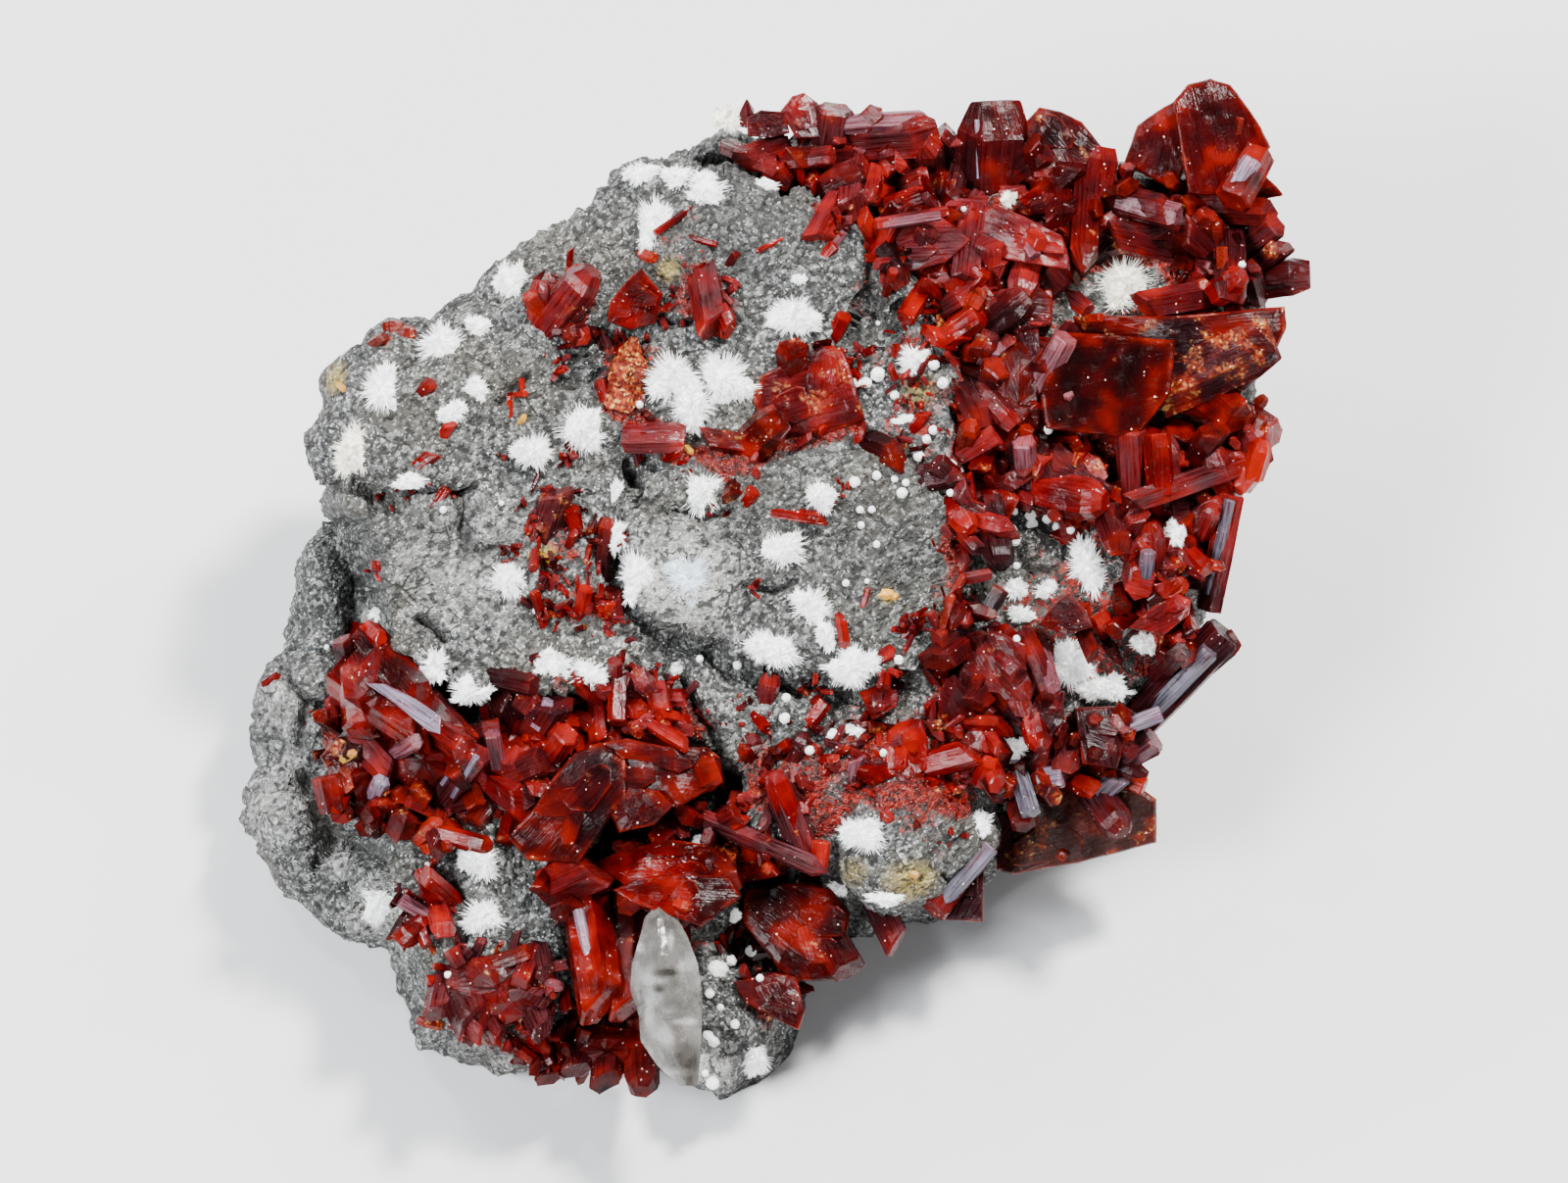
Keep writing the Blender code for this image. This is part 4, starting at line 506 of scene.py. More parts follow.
# where red crystals grow so close that they hide the rock; scattered ones are set there further down
# zone name: (how much of the rock they hide, how many, shortest and longest in mm, outline in pixels)
ZONES = {
    "upper_right": (1.0, 150, 1.2, 3.2, [
        (880, 205), (930, 190), (990, 200), (1060, 185), (1140, 195), (1270, 205), (1300, 240), (1300, 312),
        (1200, 322), (1180, 270), (1110, 285), (1070, 310), (1000, 300), (950, 285), (890, 262)]),
    "inner_right": (1.0, 170, 1.2, 3.0, [
        (950, 290), (1060, 310), (1065, 440), (1130, 450), (1250, 430), (1290, 420), (1276, 490), (1236, 610),
        (1190, 690), (1150, 690), (1150, 600), (1135, 540), (1060, 530), (1000, 505), (985, 640), (960, 560),
        (965, 470), (990, 420), (960, 350)]),
    "lower_right": (1.0, 90, 1.0, 2.8, [
        (970, 650), (1060, 640), (1070, 740), (1100, 722), (1170, 730), (1160, 790), (1110, 840), (1050, 830),
        (1010, 800), (960, 790), (940, 730)]),
    "top_ridge": (0.95, 80, 1.0, 2.4, [
        (752, 118), (800, 112), (960, 122), (1000, 150), (1050, 150), (1130, 180), (1000, 205), (930, 195),
        (870, 215), (850, 250), (830, 235), (830, 190), (770, 170)]),
    "left": (0.95, 80, 1.0, 2.6, [
        (350, 650), (400, 680), (450, 705), (500, 770), (500, 838), (440, 862), (390, 845), (330, 820),
        (330, 760), (345, 700)]),
    "middle": (0.8, 110, 1.0, 2.6, [
        (490, 700), (560, 705), (640, 690), (700, 690), (742, 745), (690, 760), (600, 760), (560, 800),
        (540, 850), (490, 840), (490, 760)]),
    "below_blades": (1.0, 80, 1.0, 2.6, [
        (560, 880), (760, 870), (775, 900), (755, 950), (690, 960), (650, 1000), (600, 1050), (575, 980)]),
    "bottom": (1.0, 60, 1.0, 2.4, [(530, 1060), (660, 1050), (680, 1100), (600, 1105), (545, 1105)]),
    "lower_left": (0.55, 70, 0.8, 2.2, [
        (430, 985), (540, 960), (590, 980), (580, 1060), (490, 1072), (445, 1050)]),
    "middle_step": (0.62, 110, 0.8, 2.2, [
        (770, 745), (870, 730), (1010, 735), (1010, 790), (930, 800), (860, 850), (830, 880), (770, 850),
        (745, 800)]),
    "bottom_block": (0.85, 50, 0.9, 2.2, [
        (750, 895), (850, 900), (880, 925), (866, 995), (815, 1000), (826, 1036), (800, 1055), (760, 1030),
        (755, 950)]),
    "ridge": (0.85, 70, 0.7, 1.7, [
        (612, 340), (668, 350), (660, 415), (700, 450), (760, 455), (800, 350), (860, 345), (890, 440),
        (800, 468), (740, 500), (650, 455), (612, 420)]),
    "west": (0.6, 30, 0.6, 1.5, [(536, 300), (560, 272), (612, 270), (616, 340), (575, 355), (540, 345)]),
    "east": (0.7, 26, 0.6, 1.5, [(700, 262), (740, 262), (756, 340), (725, 352), (690, 330), (665, 345)]),
    "face": (0.42, 40, 0.6, 1.5, [(530, 500), (590, 490), (620, 540), (612, 640), (560, 620), (540, 560)]),
    "face_low": (0.4, 30, 0.6, 1.4, [(560, 620), (625, 600), (650, 690), (560, 700)]),
    "block_edge": (0.42, 40, 0.5, 1.3, [
        (870, 350), (960, 300), (990, 400), (985, 520), (960, 640), (930, 660), (950, 560), (920, 440)]),
    "small_left": (0.5, 24, 0.7, 1.6, [(405, 895), (455, 885), (465, 960), (400, 965)]),
    "lobe_top": (0.8, 60, 0.5, 1.2, [
        (884, 800), (915, 790), (950, 780), (985, 788), (1004, 815), (990, 838), (950, 830), (900, 838),
        (880, 824)]),
}
# stains and crusts: centre pixel, radius in pixels, strength
DARK_PATCHES = [
    (900, 560, 90, 0.5), (790, 500, 80, 0.3), (930, 500, 60, 0.4), (740, 230, 110, 0.5),
    (560, 400, 70, 0.16), (430, 560, 60, 0.12), (860, 650, 60, 0.2), (820, 240, 60, 0.36),
    (850, 640, 70, 0.32), (920, 270, 50, 0.15), (1050, 590, 50, 0.15), (640, 260, 60, 0.14)]
# white crusts; the wide faint patches at (305, 810) and (300, 720) are painted light that lifts the low left
# shelf out of its shade
WHITE_CRUSTS_AND_PAINTED_LIGHT = [
    (386, 928, 34, 1.0), (398, 975, 20, 0.8), (415, 1030, 20, 0.7), (378, 632, 12, 0.7),
    (350, 880, 26, 0.35), (730, 1090, 24, 0.6), (745, 975, 24, 0.6), (850, 915, 22, 0.8),
    (925, 925, 24, 0.8), (1010, 835, 14, 0.7), (340, 507, 14, 0.7), (470, 1072, 30, 0.3),
    (695, 590, 60, 0.5), (480, 570, 80, 0.2), (305, 810, 60, 0.30), (300, 720, 40, 0.2),
    (636, 660, 16, 0.5), (600, 745, 20, 0.4), (740, 118, 20, 0.8)]
OCHRE_STAINS = [
    (928, 892, 22, 1.0), (682, 274, 14, 0.9), (556, 566, 13, 0.9), (938, 396, 18, 0.6), (350, 392, 14, 0.8),
    (906, 607, 9, 1.0), (1102, 583, 9, 0.9), (876, 884, 14, 0.4)]
RED_STAINS = [
    (640, 385, 60, 0.9), (820, 405, 80, 1.0), (930, 440, 60, 0.8), (880, 300, 50, 0.7), (930, 210, 70, 0.9),
    (1060, 240, 120, 1.0), (1150, 420, 160, 1.0), (1100, 640, 130, 1.0), (1010, 720, 90, 0.9),
    (900, 770, 90, 0.9), (820, 830, 70, 0.7), (700, 900, 120, 1.0), (560, 780, 90, 0.9),
    (420, 770, 100, 1.0), (500, 1020, 80, 0.8), (600, 1080, 80, 1.0), (830, 960, 70, 1.0),
    (440, 430, 40, 0.6), (560, 540, 50, 0.8), (600, 620, 50, 0.8), (570, 310, 50, 0.8), (700, 250, 70, 0.6),
    (900, 660, 70, 0.5), (850, 130, 120, 0.9), (960, 590, 36, 0.8), (800, 730, 60, 0.5),
    (660, 700, 70, 0.6), (300, 690, 30, 0.5), (430, 480, 50, 0.4), (400, 350, 30, 0.7),
    (790, 1035, 30, 0.7), (930, 822, 50, 1.0), (960, 850, 40, 0.8)]


def painted_discs(px, py, discs):
    """The strongest of soft round patches at each pixel."""
    cover = np.zeros(len(px))
    for x, y, radius, strength in discs:
        cover = np.maximum(cover, strength * smooth(1.25 - np.hypot(px - x, py - y) / radius))
    return cover


def make_rock():
    """Face and back share the rim; noise pushes both out along their normals; the flat is pressed level."""
    line = np.linspace(-1.0, 1.0, ROCK_CELLS + 1)
    square_x, square_y = (axis.ravel() for axis in np.meshgrid(line, line, indexing="ij"))
    disc_x = square_x * np.sqrt(1.0 - square_y ** 2 / 2.0)
    disc_y = square_y * np.sqrt(1.0 - square_x ** 2 / 2.0)
    share = np.minimum(np.hypot(disc_x, disc_y), 1.0)
    face, px, py = rock_face(share, np.arctan2(-disc_y, disc_x))
    index = np.arange(len(face)).reshape(ROCK_CELLS + 1, ROCK_CELLS + 1)
    cells = np.stack([index[:-1, :-1], index[1:, :-1], index[1:, 1:], index[:-1, 1:]], axis=-1).reshape(-1, 4)

    rim_index = np.concatenate([index[:-1, 0], index[-1, :-1], index[:0:-1, -1], index[0, :0:-1]])
    rim = face[rim_index]
    rim_angle = np.arctan2(-disc_y, disc_x)[rim_index]
    down = np.linspace(0.0, 1.0, BACK_RINGS + 1)[1:]
    walls = [rock_wall(rim, rim_angle, np.full(len(rim), step)) for step in down]
    middle = np.array([[BASE_CENTRE[0], BASE_CENTRE[1], -CUT_BELOW]])
    points = np.concatenate([face] + walls + [middle])
    around = len(rim)
    rings = np.concatenate([rim_index[None], len(face) + np.arange(BACK_RINGS * around).reshape(-1, around)])
    upper, lower = rings[:-1], rings[1:]
    sides = np.stack([upper, lower, np.roll(lower, -1, 1), np.roll(upper, -1, 1)], axis=-1).reshape(-1, 4)
    last = rings[-1]
    fan = np.stack([last, np.full(around, len(points) - 1), np.roll(last, -1)], axis=-1)
    faces = cells.tolist() + sides.tolist() + fan.tolist()
    mesh = new_mesh("rock", points, faces)

    normals = np.empty(len(points) * 3, np.float32)
    mesh.vertex_normals.foreach_get("vector", normals)
    turned = points @ TURN
    rough = sum(height * lattice_noise(turned if cell < FINE_CELL else points, cell, seed)
                for cell, height, seed in NOISE)
    bumpy = smooth(0.5 + 1.1 * lattice_noise(points, *KNOBBLY_PLACES))
    rough += bumpy * sum(height * knob_noise(turned, cell, seed) for cell, height, seed in KNOBBLES)
    rough += terraces(turned, *LEDGES)
    for x, y, radius, height in KNOBS:
        away = np.hypot(px - x, py - y) / radius
        rough[:len(face)] += height * (np.sqrt(np.clip(1.0 - away ** 2, 0.0, 1.0)) - 0.3 * (away < 1.0)
                                       - 0.3 * np.exp(-((away - 1.0) / 0.12) ** 2))
    grains = GRAIN_HEIGHT * np.random.default_rng(17).uniform(-1.0, 1.0, len(points))
    cleft = np.zeros(len(points))
    for depth, width, crack in CRACKS:
        cleft[:len(face)] += depth * groove(px, py, crack, width)
    push = (rough + grains) * smooth((points[:, 2] + CUT_BELOW) / FADE_HEIGHT) - cleft
    points = points + normals.reshape(-1, 3) * push[:, None]
    points[:, 2] = np.maximum(points[:, 2], 0.0)
    mesh.vertices.foreach_set("co", (points * MM).astype(np.float32).ravel())

    stain = np.zeros((len(points), 4))
    for channel, discs in enumerate((RED_STAINS, WHITE_CRUSTS_AND_PAINTED_LIGHT, OCHRE_STAINS)):
        stain[:len(face), channel] = painted_discs(px, py, discs)
    # the alpha holds painted shade in the cracks and along the crevices, and the darker patches of rock
    dark = np.clip(cleft / 0.6, 0.0, 1.0)
    for _, width, crevice in CREVICES.values():
        dark[:len(face)] = np.maximum(dark[:len(face)], 0.6 * groove(px, py, crevice, 0.6 * width))
    dark[:len(face)] = np.maximum(dark[:len(face)], painted_discs(px, py, DARK_PATCHES))
    stain[:, 3] = dark * 0.8
    facing = smooth(2.2 * normals.reshape(-1, 3) @ OUT - 0.3)
    stain[:, :3] *= facing[:, None]
    paint(mesh, "stain", stain)
    overgrown = np.zeros(len(points))
    for cover, _, _, _, outline in ZONES.values():
        hidden = cover * smooth(0.5 + depth_inside(px, py, outline) / 40.0)
        overgrown[:len(face)] = np.maximum(overgrown[:len(face)], hidden)
    layer = mesh.attributes.new("overgrown", "FLOAT", "POINT")
    layer.data.foreach_set("value", (overgrown * facing).astype(np.float32))
    return add_object(mesh, rock_material())


rock = make_rock()
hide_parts("matrix")
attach(rock, "root")

# The realgar crystals
# Deep red prisms and blades that grew together in clusters, striated along their length, glossy where they
# are clean and rusty where they are not, with a painted pale sheen along the striations of many. Each cluster
# stands for its solid.
SECTION = np.array([(-1.0, -0.15), (-0.58, 1.0), (0.58, 1.0), (1.0, 0.15), (0.58, -1.0), (-0.58, -1.0)])
SLANT = 0.65
END_RINGS = {                     # distance back from the tip in widths, shares of width and of thickness
    "flat": [(0.07, 1.0, 1.0), (0.0, 0.9, 0.86)],
    "slant": [(0.07, 0.98, 0.98), (0.0, 0.88, 0.8)],
    "chisel": [(0.42, 1.0, 1.0), (0.04, 0.74, 0.14), (0.0, 0.68, 0.06)],
    "point": [(0.85, 1.0, 1.0), (0.03, 0.12, 0.12)],
    "round": [(0.45, 1.0, 1.0), (0.2, 0.84, 0.84), (0.0, 0.5, 0.5)],
}
CLEAN = (0.55, 0.05, 0.0)         # how bright, how much painted sheen and how rusty a crystal is, each from 0 to 1
# how far back along a prism its rings lie, as shares of its length, each with its share of the width
BODY_RINGS = ((0.0, 0.93), (0.45, 1.0), (0.8, 0.985))
# a plate's rings from its back edge over the bevel to the middle of its front: shares of the outline
PLATE_SHARES = np.array([0.93, 1.0, 1.0, 0.97, 0.93, 0.86, 0.78, 0.7, 0.61, 0.52, 0.43, 0.34, 0.25, 0.16,
                         0.06])
# painted glow on a plate's rings, strongest at the bevel, as if light shone through the thin edge
PAINTED_EDGE_GLOW = np.array([0.1, 0.3, 0.8, 0.7, 0.35, 0.1] + [0.0] * 9)


def prism(tail, tip, width, thickness, roll, end, skin=None, stripes=4):
    """From a tail to a tip; each side is made of a few narrow stripes."""
    return {"kind": "prism", "tail": tail, "tip": tip, "width": width, "thickness": thickness,
            "roll": roll, "end": end, "skin": skin, "stripes": stripes}


def plate(outline, level, thickness, lean=(0.0, 0.0), skin=None, steps=3):
    """An outline at a level, leaning by degrees; with -1 growth steps its front stays flat and bare."""
    return {"kind": "plate", "outline": outline, "level": level, "thickness": thickness, "lean": lean,
            "skin": skin, "steps": steps}


def lump(place, radii):
    """A knobbly mass that crystals grow out of."""
    return {"kind": "lump", "place": place, "radii": radii, "skin": None}


def split_sides(corners, pieces):
    """A closed outline with each of its sides cut into equal pieces."""
    share = (np.arange(pieces) / pieces)[:, None]
    return (corners[:, None] * (1.0 - share) + np.roll(corners, -1, axis=0)[:, None] * share).reshape(-1, 2)


def ball_grid(rows, around, lowest, highest, turn):
    """Directions on rows of latitude from a lowest to a highest one, with points once round each row."""
    latitude = np.linspace(lowest, highest, rows)[:, None]
    longitude = np.linspace(0.0, turn, around, endpoint=False)[None, :] + np.zeros((rows, 1))
    return np.stack([np.cos(latitude) * np.cos(longitude), np.cos(latitude) * np.sin(longitude),
                     np.sin(latitude) + 0.0 * longitude], axis=-1)


def tube(rings, heights, skin, flat=None):
    """A closed body of rings: quads between them and a face across each end. Its map runs round and along, or
    is flat where two numbers a point are given."""
    count, around = rings.shape[:2]
    index = np.arange(count * around).reshape(count, around)
    here, beyond = index[:-1], index[1:]
    quads = np.stack([here, np.roll(here, -1, 1), np.roll(beyond, -1, 1), beyond], axis=-1).reshape(-1, 4)
    faces = quads.tolist() + [index[0][::-1].tolist(), index[-1].tolist()]
    if flat is not None:
        corners = np.concatenate([quads.ravel(), index[0][::-1], index[-1]])
        return {"points": rings.reshape(-1, 3), "faces": faces, "map": flat[corners], "skin": skin}
    widest = rings[count // 2]
    steps = np.linalg.norm(np.roll(widest, -1, axis=0) - widest, axis=1)
    run = np.stack(np.broadcast_arrays(np.concatenate([[0.0], np.cumsum(steps)]), heights[:, None]), axis=-1)
    quad_map = np.stack([run[:-1, :-1], run[:-1, 1:], run[1:, 1:], run[1:, :-1]], axis=2).reshape(-1, 2)
    turns = np.linspace(0, 2 * pi, around, False)
    cap_map = np.stack([np.cos(turns), np.sin(turns)], axis=-1)
    whole_map = np.concatenate([quad_map, cap_map, cap_map])
    return {"points": rings.reshape(-1, 3), "faces": faces, "map": whole_map, "skin": skin}


def prism_body(form, skin, random):
    """A six-sided flattened section, its sides in stripes of slightly different depth, along the prism."""
    tail, tip = (face_point(*form[key]) for key in ("tail", "tip"))
    length = np.linalg.norm(tip - tail)
    along = (tip - tail) / length
    side = np.cross(along, OUT)
    side /= np.linalg.norm(side)
    front = np.cross(side, along)
    turn = radians(form["roll"])
    side, front = side * cos(turn) + front * sin(turn), front * cos(turn) - side * sin(turn)
    section = split_sides(SECTION, form["stripes"])
    depth = random.uniform(0.0, 0.05, len(section))
    depth[::form["stripes"]] = 0.0
    section = section * (1.0 - depth)[:, None]
    slant = SLANT if form["end"] == "slant" else 0.0
    drop = slant * form["width"] / 2.0 * (1.0 - section[:, 0])
    ends = END_RINGS[form["end"]]
    shoulder = length - ends[0][0] * form["width"] - drop
    rings = [(shoulder * share, scale, scale) for share, scale in BODY_RINGS]
    rings += [(length - back * form["width"] - drop, wide, thick) for back, wide, thick in ends]
    points = np.stack([
        tail + along * distance[:, None]
        + side * (section[:, 0] * form["width"] / 2.0 * wide)[:, None]
        + front * (section[:, 1] * form["thickness"] / 2.0 * thick)[:, None]
        for distance, wide, thick in rings])
    heights = np.array([distance.mean() for distance, _, _ in rings])
    bright, painted_sheen, rust = skin
    tone = np.clip(bright + random.uniform(-0.18, 0.18), 0.0, 1.0)
    # painted glow towards the tip, as if light shone through it
    glow = random.uniform(0.0, 0.6) * smooth((heights / length - 0.55) / 0.45)
    painted = np.empty((len(rings), len(section), 4))
    painted[..., 0] = tone
    painted[..., 1] = np.clip(painted_sheen + random.uniform(-0.15, 0.15), 0.0, 1.0)
    painted[..., 2] = glow[:, None]
    painted[..., 3] = rust
    return tube(points, heights, painted.reshape(-1, 4))


def leaning_level(form, across, up):
    """The level of a leaning plate's front so many mm across and up from its middle."""
    lean_across, lean_up = (tan(radians(lean)) for lean in form["lean"])
    return form["level"] + lean_across * across + lean_up * up


def plate_body(form, skin, random):
    """A side wall up to a bevelled outline, and a front that a few slightly tilted planes cut like facets."""
    corners = np.array(form["outline"], float)
    turned = np.roll(corners, -1, axis=0)
    if (corners[:, 0] * turned[:, 1] - turned[:, 0] * corners[:, 1]).sum() > 0:
        corners = corners[::-1]
    ring = split_sides(corners, 4)
    centre = corners.mean(axis=0)
    ring = centre + (ring - centre) * (1.0 - random.uniform(0.0, 0.02, len(ring)))[:, None]
    spread = np.cov(((corners - centre) * np.array([1.0, -1.0])).T)
    long_way = np.linalg.eigh(spread)[1][:, 1]
    wide_way = np.array([-long_way[1], long_way[0]])
    size = np.hypot(*(ring - centre).T).mean() * PIXEL
    bevel = min(0.25, form["thickness"] * 0.15)
    cuts = [(turn, random.uniform(0.08, 0.42), random.uniform(0.1, 0.75) * size)
            for turn in random.uniform(0.0, 2.0 * pi, 5 if form["steps"] >= 0 else 0)]
    drops = np.array([form["thickness"], form["thickness"] * 0.6, bevel, bevel * 0.2] + [0.0] * 11)
    place = centre + (ring - centre) * PLATE_SHARES[:, None, None]
    away = (place - centre) * PIXEL * np.array([1.0, -1.0])
    level = leaning_level(form, away[..., 0], away[..., 1])
    for turn, slope, start in cuts:
        level += np.minimum(0.0, slope * (start - away[..., 0] * cos(turn) - away[..., 1] * sin(turn)))
    level -= drops[:, None]
    rings = face_point(place[..., 0], place[..., 1], level)
    flat = np.stack([away @ wide_way, away @ long_way], axis=-1) + drops[:, None, None]
    bright, painted_sheen, rust = skin
    painted = np.empty((len(rings), len(ring), 4))
    painted[..., 0] = np.clip(bright + random.uniform(-0.1, 0.1), 0.0, 1.0)
    painted[..., 1] = painted_sheen
    painted[..., 2] = PAINTED_EDGE_GLOW[:, None] * random.uniform(0.0, 1.0, len(ring))
    painted[..., 3] = rust
    return tube(rings, drops, painted.reshape(-1, 4), flat.reshape(-1, 2))


def step_forms(form, random):
    """Low growth steps on a plate's front: smaller plates of its own outline, a little raised."""
    outline = np.array(form["outline"], float)
    centre = outline.mean(axis=0)
    forms = []
    for _ in range(form["steps"]):
        toward = outline[random.integers(len(outline))]
        middle = centre + (toward - centre) * random.uniform(0.2, 0.5)
        small = middle + (outline - centre) * random.uniform(0.2, 0.5, 2)
        rise = random.uniform(0.05, 0.22)
        level = leaning_level(form, (middle[0] - centre[0]) * PIXEL, (centre[1] - middle[1]) * PIXEL)
        forms.append(plate([tuple(corner) for corner in small], level + rise, 0.9, form["lean"], None, -1))
    return forms


def lump_body(form, skin, random):
    """A knobbly ball on a grid of latitude and longitude, each point pushed in or out."""
    rows, around = 8, 12
    reach = random.uniform(0.74, 1.0, (rows, around))
    ball = ball_grid(rows, around, -pi / 2 + 0.08, pi / 2 - 0.08, -2.0 * pi) * reach[..., None]
    size = ball * np.array(form["radii"])
    points = face_point(*form["place"]) + size[..., :1] * RIGHT - size[..., 1:2] * UP + size[..., 2:] * OUT
    painted = np.empty((rows, around, 4))
    painted[..., 0] = random.uniform(0.2, 0.8, (rows, around))
    # a little painted sheen and painted glow
    painted[..., 1:3] = 0.1
    painted[..., 3] = max(skin[2], 0.08)
    return tube(points, np.linspace(0.0, 2.0, rows), painted.reshape(-1, 4))


BODY_OF = {"prism": prism_body, "plate": plate_body, "lump": lump_body}


def joined_mesh(name, bodies):
    """One mesh from several bodies, each with its own points and faces."""
    starts = np.cumsum([0] + [len(body["points"]) for body in bodies])
    faces = [[corner + start for corner in face]
             for body, start in zip(bodies, starts) for face in body["faces"]]
    return new_mesh(name, np.concatenate([body["points"] for body in bodies]), faces)


def crystal_piece(name, forms, skin, material, seed):
    """One mesh of all of a cluster's crystals, with its map and its painted skin."""
    random = np.random.default_rng(seed)
    bodies = []
    for form in forms:
        bodies.append(BODY_OF[form["kind"]](form, form["skin"] or skin, random))
        if form["kind"] == "plate":
            bodies += [plate_body(step, form["skin"] or skin, random) for step in step_forms(form, random)]
    mesh = joined_mesh(name, bodies)
    layer = mesh.uv_layers.new(name="run")
    layer.data.foreach_set("uv", np.concatenate([body["map"] for body in bodies]).astype(np.float32).ravel())
    paint(mesh, "skin", np.concatenate([body["skin"] for body in bodies]))
    return add_object(mesh, material)


# the colour of the painted glow of light through thin edges, tips and the inside
PAINTED_GLOW = (0.34, 0.010, 0.0015)
# the colour of painted glints: tiny bright spots in the skin
PAINTED_GLINT = (0.85, 0.62, 0.56)
RUST_TONES = [(0.0, (0.045, 0.003, 0.002)), (0.45, (0.17, 0.012, 0.003)), (0.78, (0.34, 0.060, 0.010)),
              (1.0, (0.58, 0.33, 0.10))]


def vector_maths(tree, operation, first, second):
    """One step of arithmetic on vectors."""
    return node(tree, "ShaderNodeVectorMath", {0: first, 1: second}, operation=operation)


def crystal_skin():
    """Colour, gloss and striations of realgar, from the painted skin and a map that runs along a crystal."""
    tree, enter, leave = new_group("crystal_skin", [
        ("Deep", "NodeSocketColor", (0.1, 0.0, 0.0)), ("Bright", "NodeSocketColor", (0.5, 0.0, 0.0)),
        ("Frost", "NodeSocketColor", (0.4, 0.3, 0.3)), ("Gloss", "NodeSocketFloat", 0.2)],
        [("Color", "NodeSocketColor"), ("Roughness", "NodeSocketFloat"), ("Normal", "NodeSocketVector")])
    painted = node(tree, "ShaderNodeAttribute", attribute_name="skin")
    skin = node(tree, "ShaderNodeSeparateColor", {0: painted.outputs["Color"]})
    rust = painted.outputs["Alpha"]
    place = node(tree, "ShaderNodeTexCoord").outputs["Object"]
    run = node(tree, "ShaderNodeUVMap", uv_map="run").outputs[0]
    stretched = node(tree, "ShaderNodeMapping", {"Vector": run, "Scale": (7.0, 0.35, 1.0)}).outputs[0]
    streaks = noise(tree, stretched, 1.0, 4.0)
    clouds = noise(tree, place, 700.0, 4.0)
    broad = noise(tree, place, 260.0, 2.0)
    grit = noise(tree, place, 4200.0, 3.0)
    cells = node(tree, "ShaderNodeTexVoronoi", {"Vector": place, "Scale": 4800.0})
    facet = node(tree, "ShaderNodeTexVoronoi", {"Vector": place, "Scale": 1500.0})
    cell_random = node(tree, "ShaderNodeSeparateColor", {0: cells.outputs["Color"]})
    cell_tone = cell_random.outputs[0]

    depth = maths(tree, "ADD", maths(tree, "MULTIPLY_ADD", broad, 2.0, -1.0),
                  maths(tree, "MULTIPLY_ADD", clouds, 0.8, -0.4))
    depth = maths(tree, "MULTIPLY_ADD", skin.outputs[0], 0.8, depth, clamp=True)
    depth = maths(tree, "MULTIPLY", depth, maths(tree, "MULTIPLY_ADD", streaks, 0.6, 0.65), clamp=True)
    depth = maths(tree, "POWER", depth, 1.5)
    colour = mix(tree, depth, enter.outputs["Deep"], enter.outputs["Bright"])
    # painted glow: light through thin edges, tips and the inside, painted orange-red
    clouded = maths(tree, "MULTIPLY_ADD", clouds, 2.4, -0.7)
    glow = maths(tree, "MULTIPLY", skin.outputs[2], clouded, clamp=True)
    inner = maths(tree, "MULTIPLY", maths(tree, "SUBTRACT", broad, 0.54, clamp=True), 4.0)
    glow = maths(tree, "MAXIMUM", glow, maths(tree, "MULTIPLY", inner, skin.outputs[0], clamp=True))
    colour = mix(tree, glow, colour, PAINTED_GLOW)
    # painted sheen: a pale reflection painted along the striations; it also makes the gloss rougher
    striped = maths(tree, "MULTIPLY_ADD", streaks, 3.0, -1.1)
    painted_sheen_share = maths(tree, "MULTIPLY", skin.outputs[1], striped, clamp=True)
    colour = mix(tree, painted_sheen_share, colour, enter.outputs["Frost"])
    crusted = maths(tree, "MULTIPLY_ADD", rust, 0.55, maths(tree, "SUBTRACT", clouds, 0.68))
    crusted = maths(tree, "MULTIPLY", crusted, 5.0, clamp=True)
    colour = mix(tree, crusted, colour, ramp(tree, cell_tone, *RUST_TONES))
    # painted glints: tiny bright spots where a cell is picked
    spark = maths(tree, "MULTIPLY", maths(tree, "GREATER_THAN", cell_random.outputs[1], 0.90),
                  maths(tree, "LESS_THAN", cells.outputs["Distance"],
                        maths(tree, "MULTIPLY_ADD", cell_random.outputs[2], 0.30, 0.04)))
    spark = maths(tree, "MULTIPLY", spark, maths(tree, "GREATER_THAN", clouds, 0.53))
    colour = mix(tree, spark, colour, PAINTED_GLINT)
    roughness = maths(tree, "ADD", enter.outputs["Gloss"], maths(tree, "MULTIPLY", painted_sheen_share, 0.25))
    roughness = maths(tree, "ADD", roughness, maths(tree, "MULTIPLY_ADD", grit, 0.2, -0.09))
    roughness = maths(tree, "ADD", roughness, maths(tree, "MULTIPLY", crusted, 0.3), clamp=True)
    height = maths(tree, "ADD", maths(tree, "MULTIPLY", streaks, 0.8), maths(tree, "MULTIPLY", clouds, 0.6))
    height = maths(tree, "MULTIPLY_ADD", grit, 0.4, height)
    height = maths(tree, "ADD", height, maths(tree, "MULTIPLY", crusted, cell_tone))
    tilt = vector_maths(tree, "SUBTRACT", facet.outputs["Color"], (0.5, 0.5, 0.5)).outputs[0]
    offset = vector_maths(tree, "SUBTRACT", place, facet.outputs["Position"]).outputs[0]
    slope = vector_maths(tree, "DOT_PRODUCT", tilt, offset).outputs["Value"]
    facets = node(tree, "ShaderNodeBump", {"Strength": 1.0, "Distance": 0.2, "Height": slope})
    bump = node(tree, "ShaderNodeBump", {"Strength": 0.5, "Distance": 0.00012, "Height": height,
                                         "Normal": facets.outputs[0]})
    link(tree, leave, Color=colour, Roughness=roughness, Normal=bump.outputs[0])
    return tree


CRYSTAL_SKIN = crystal_skin()


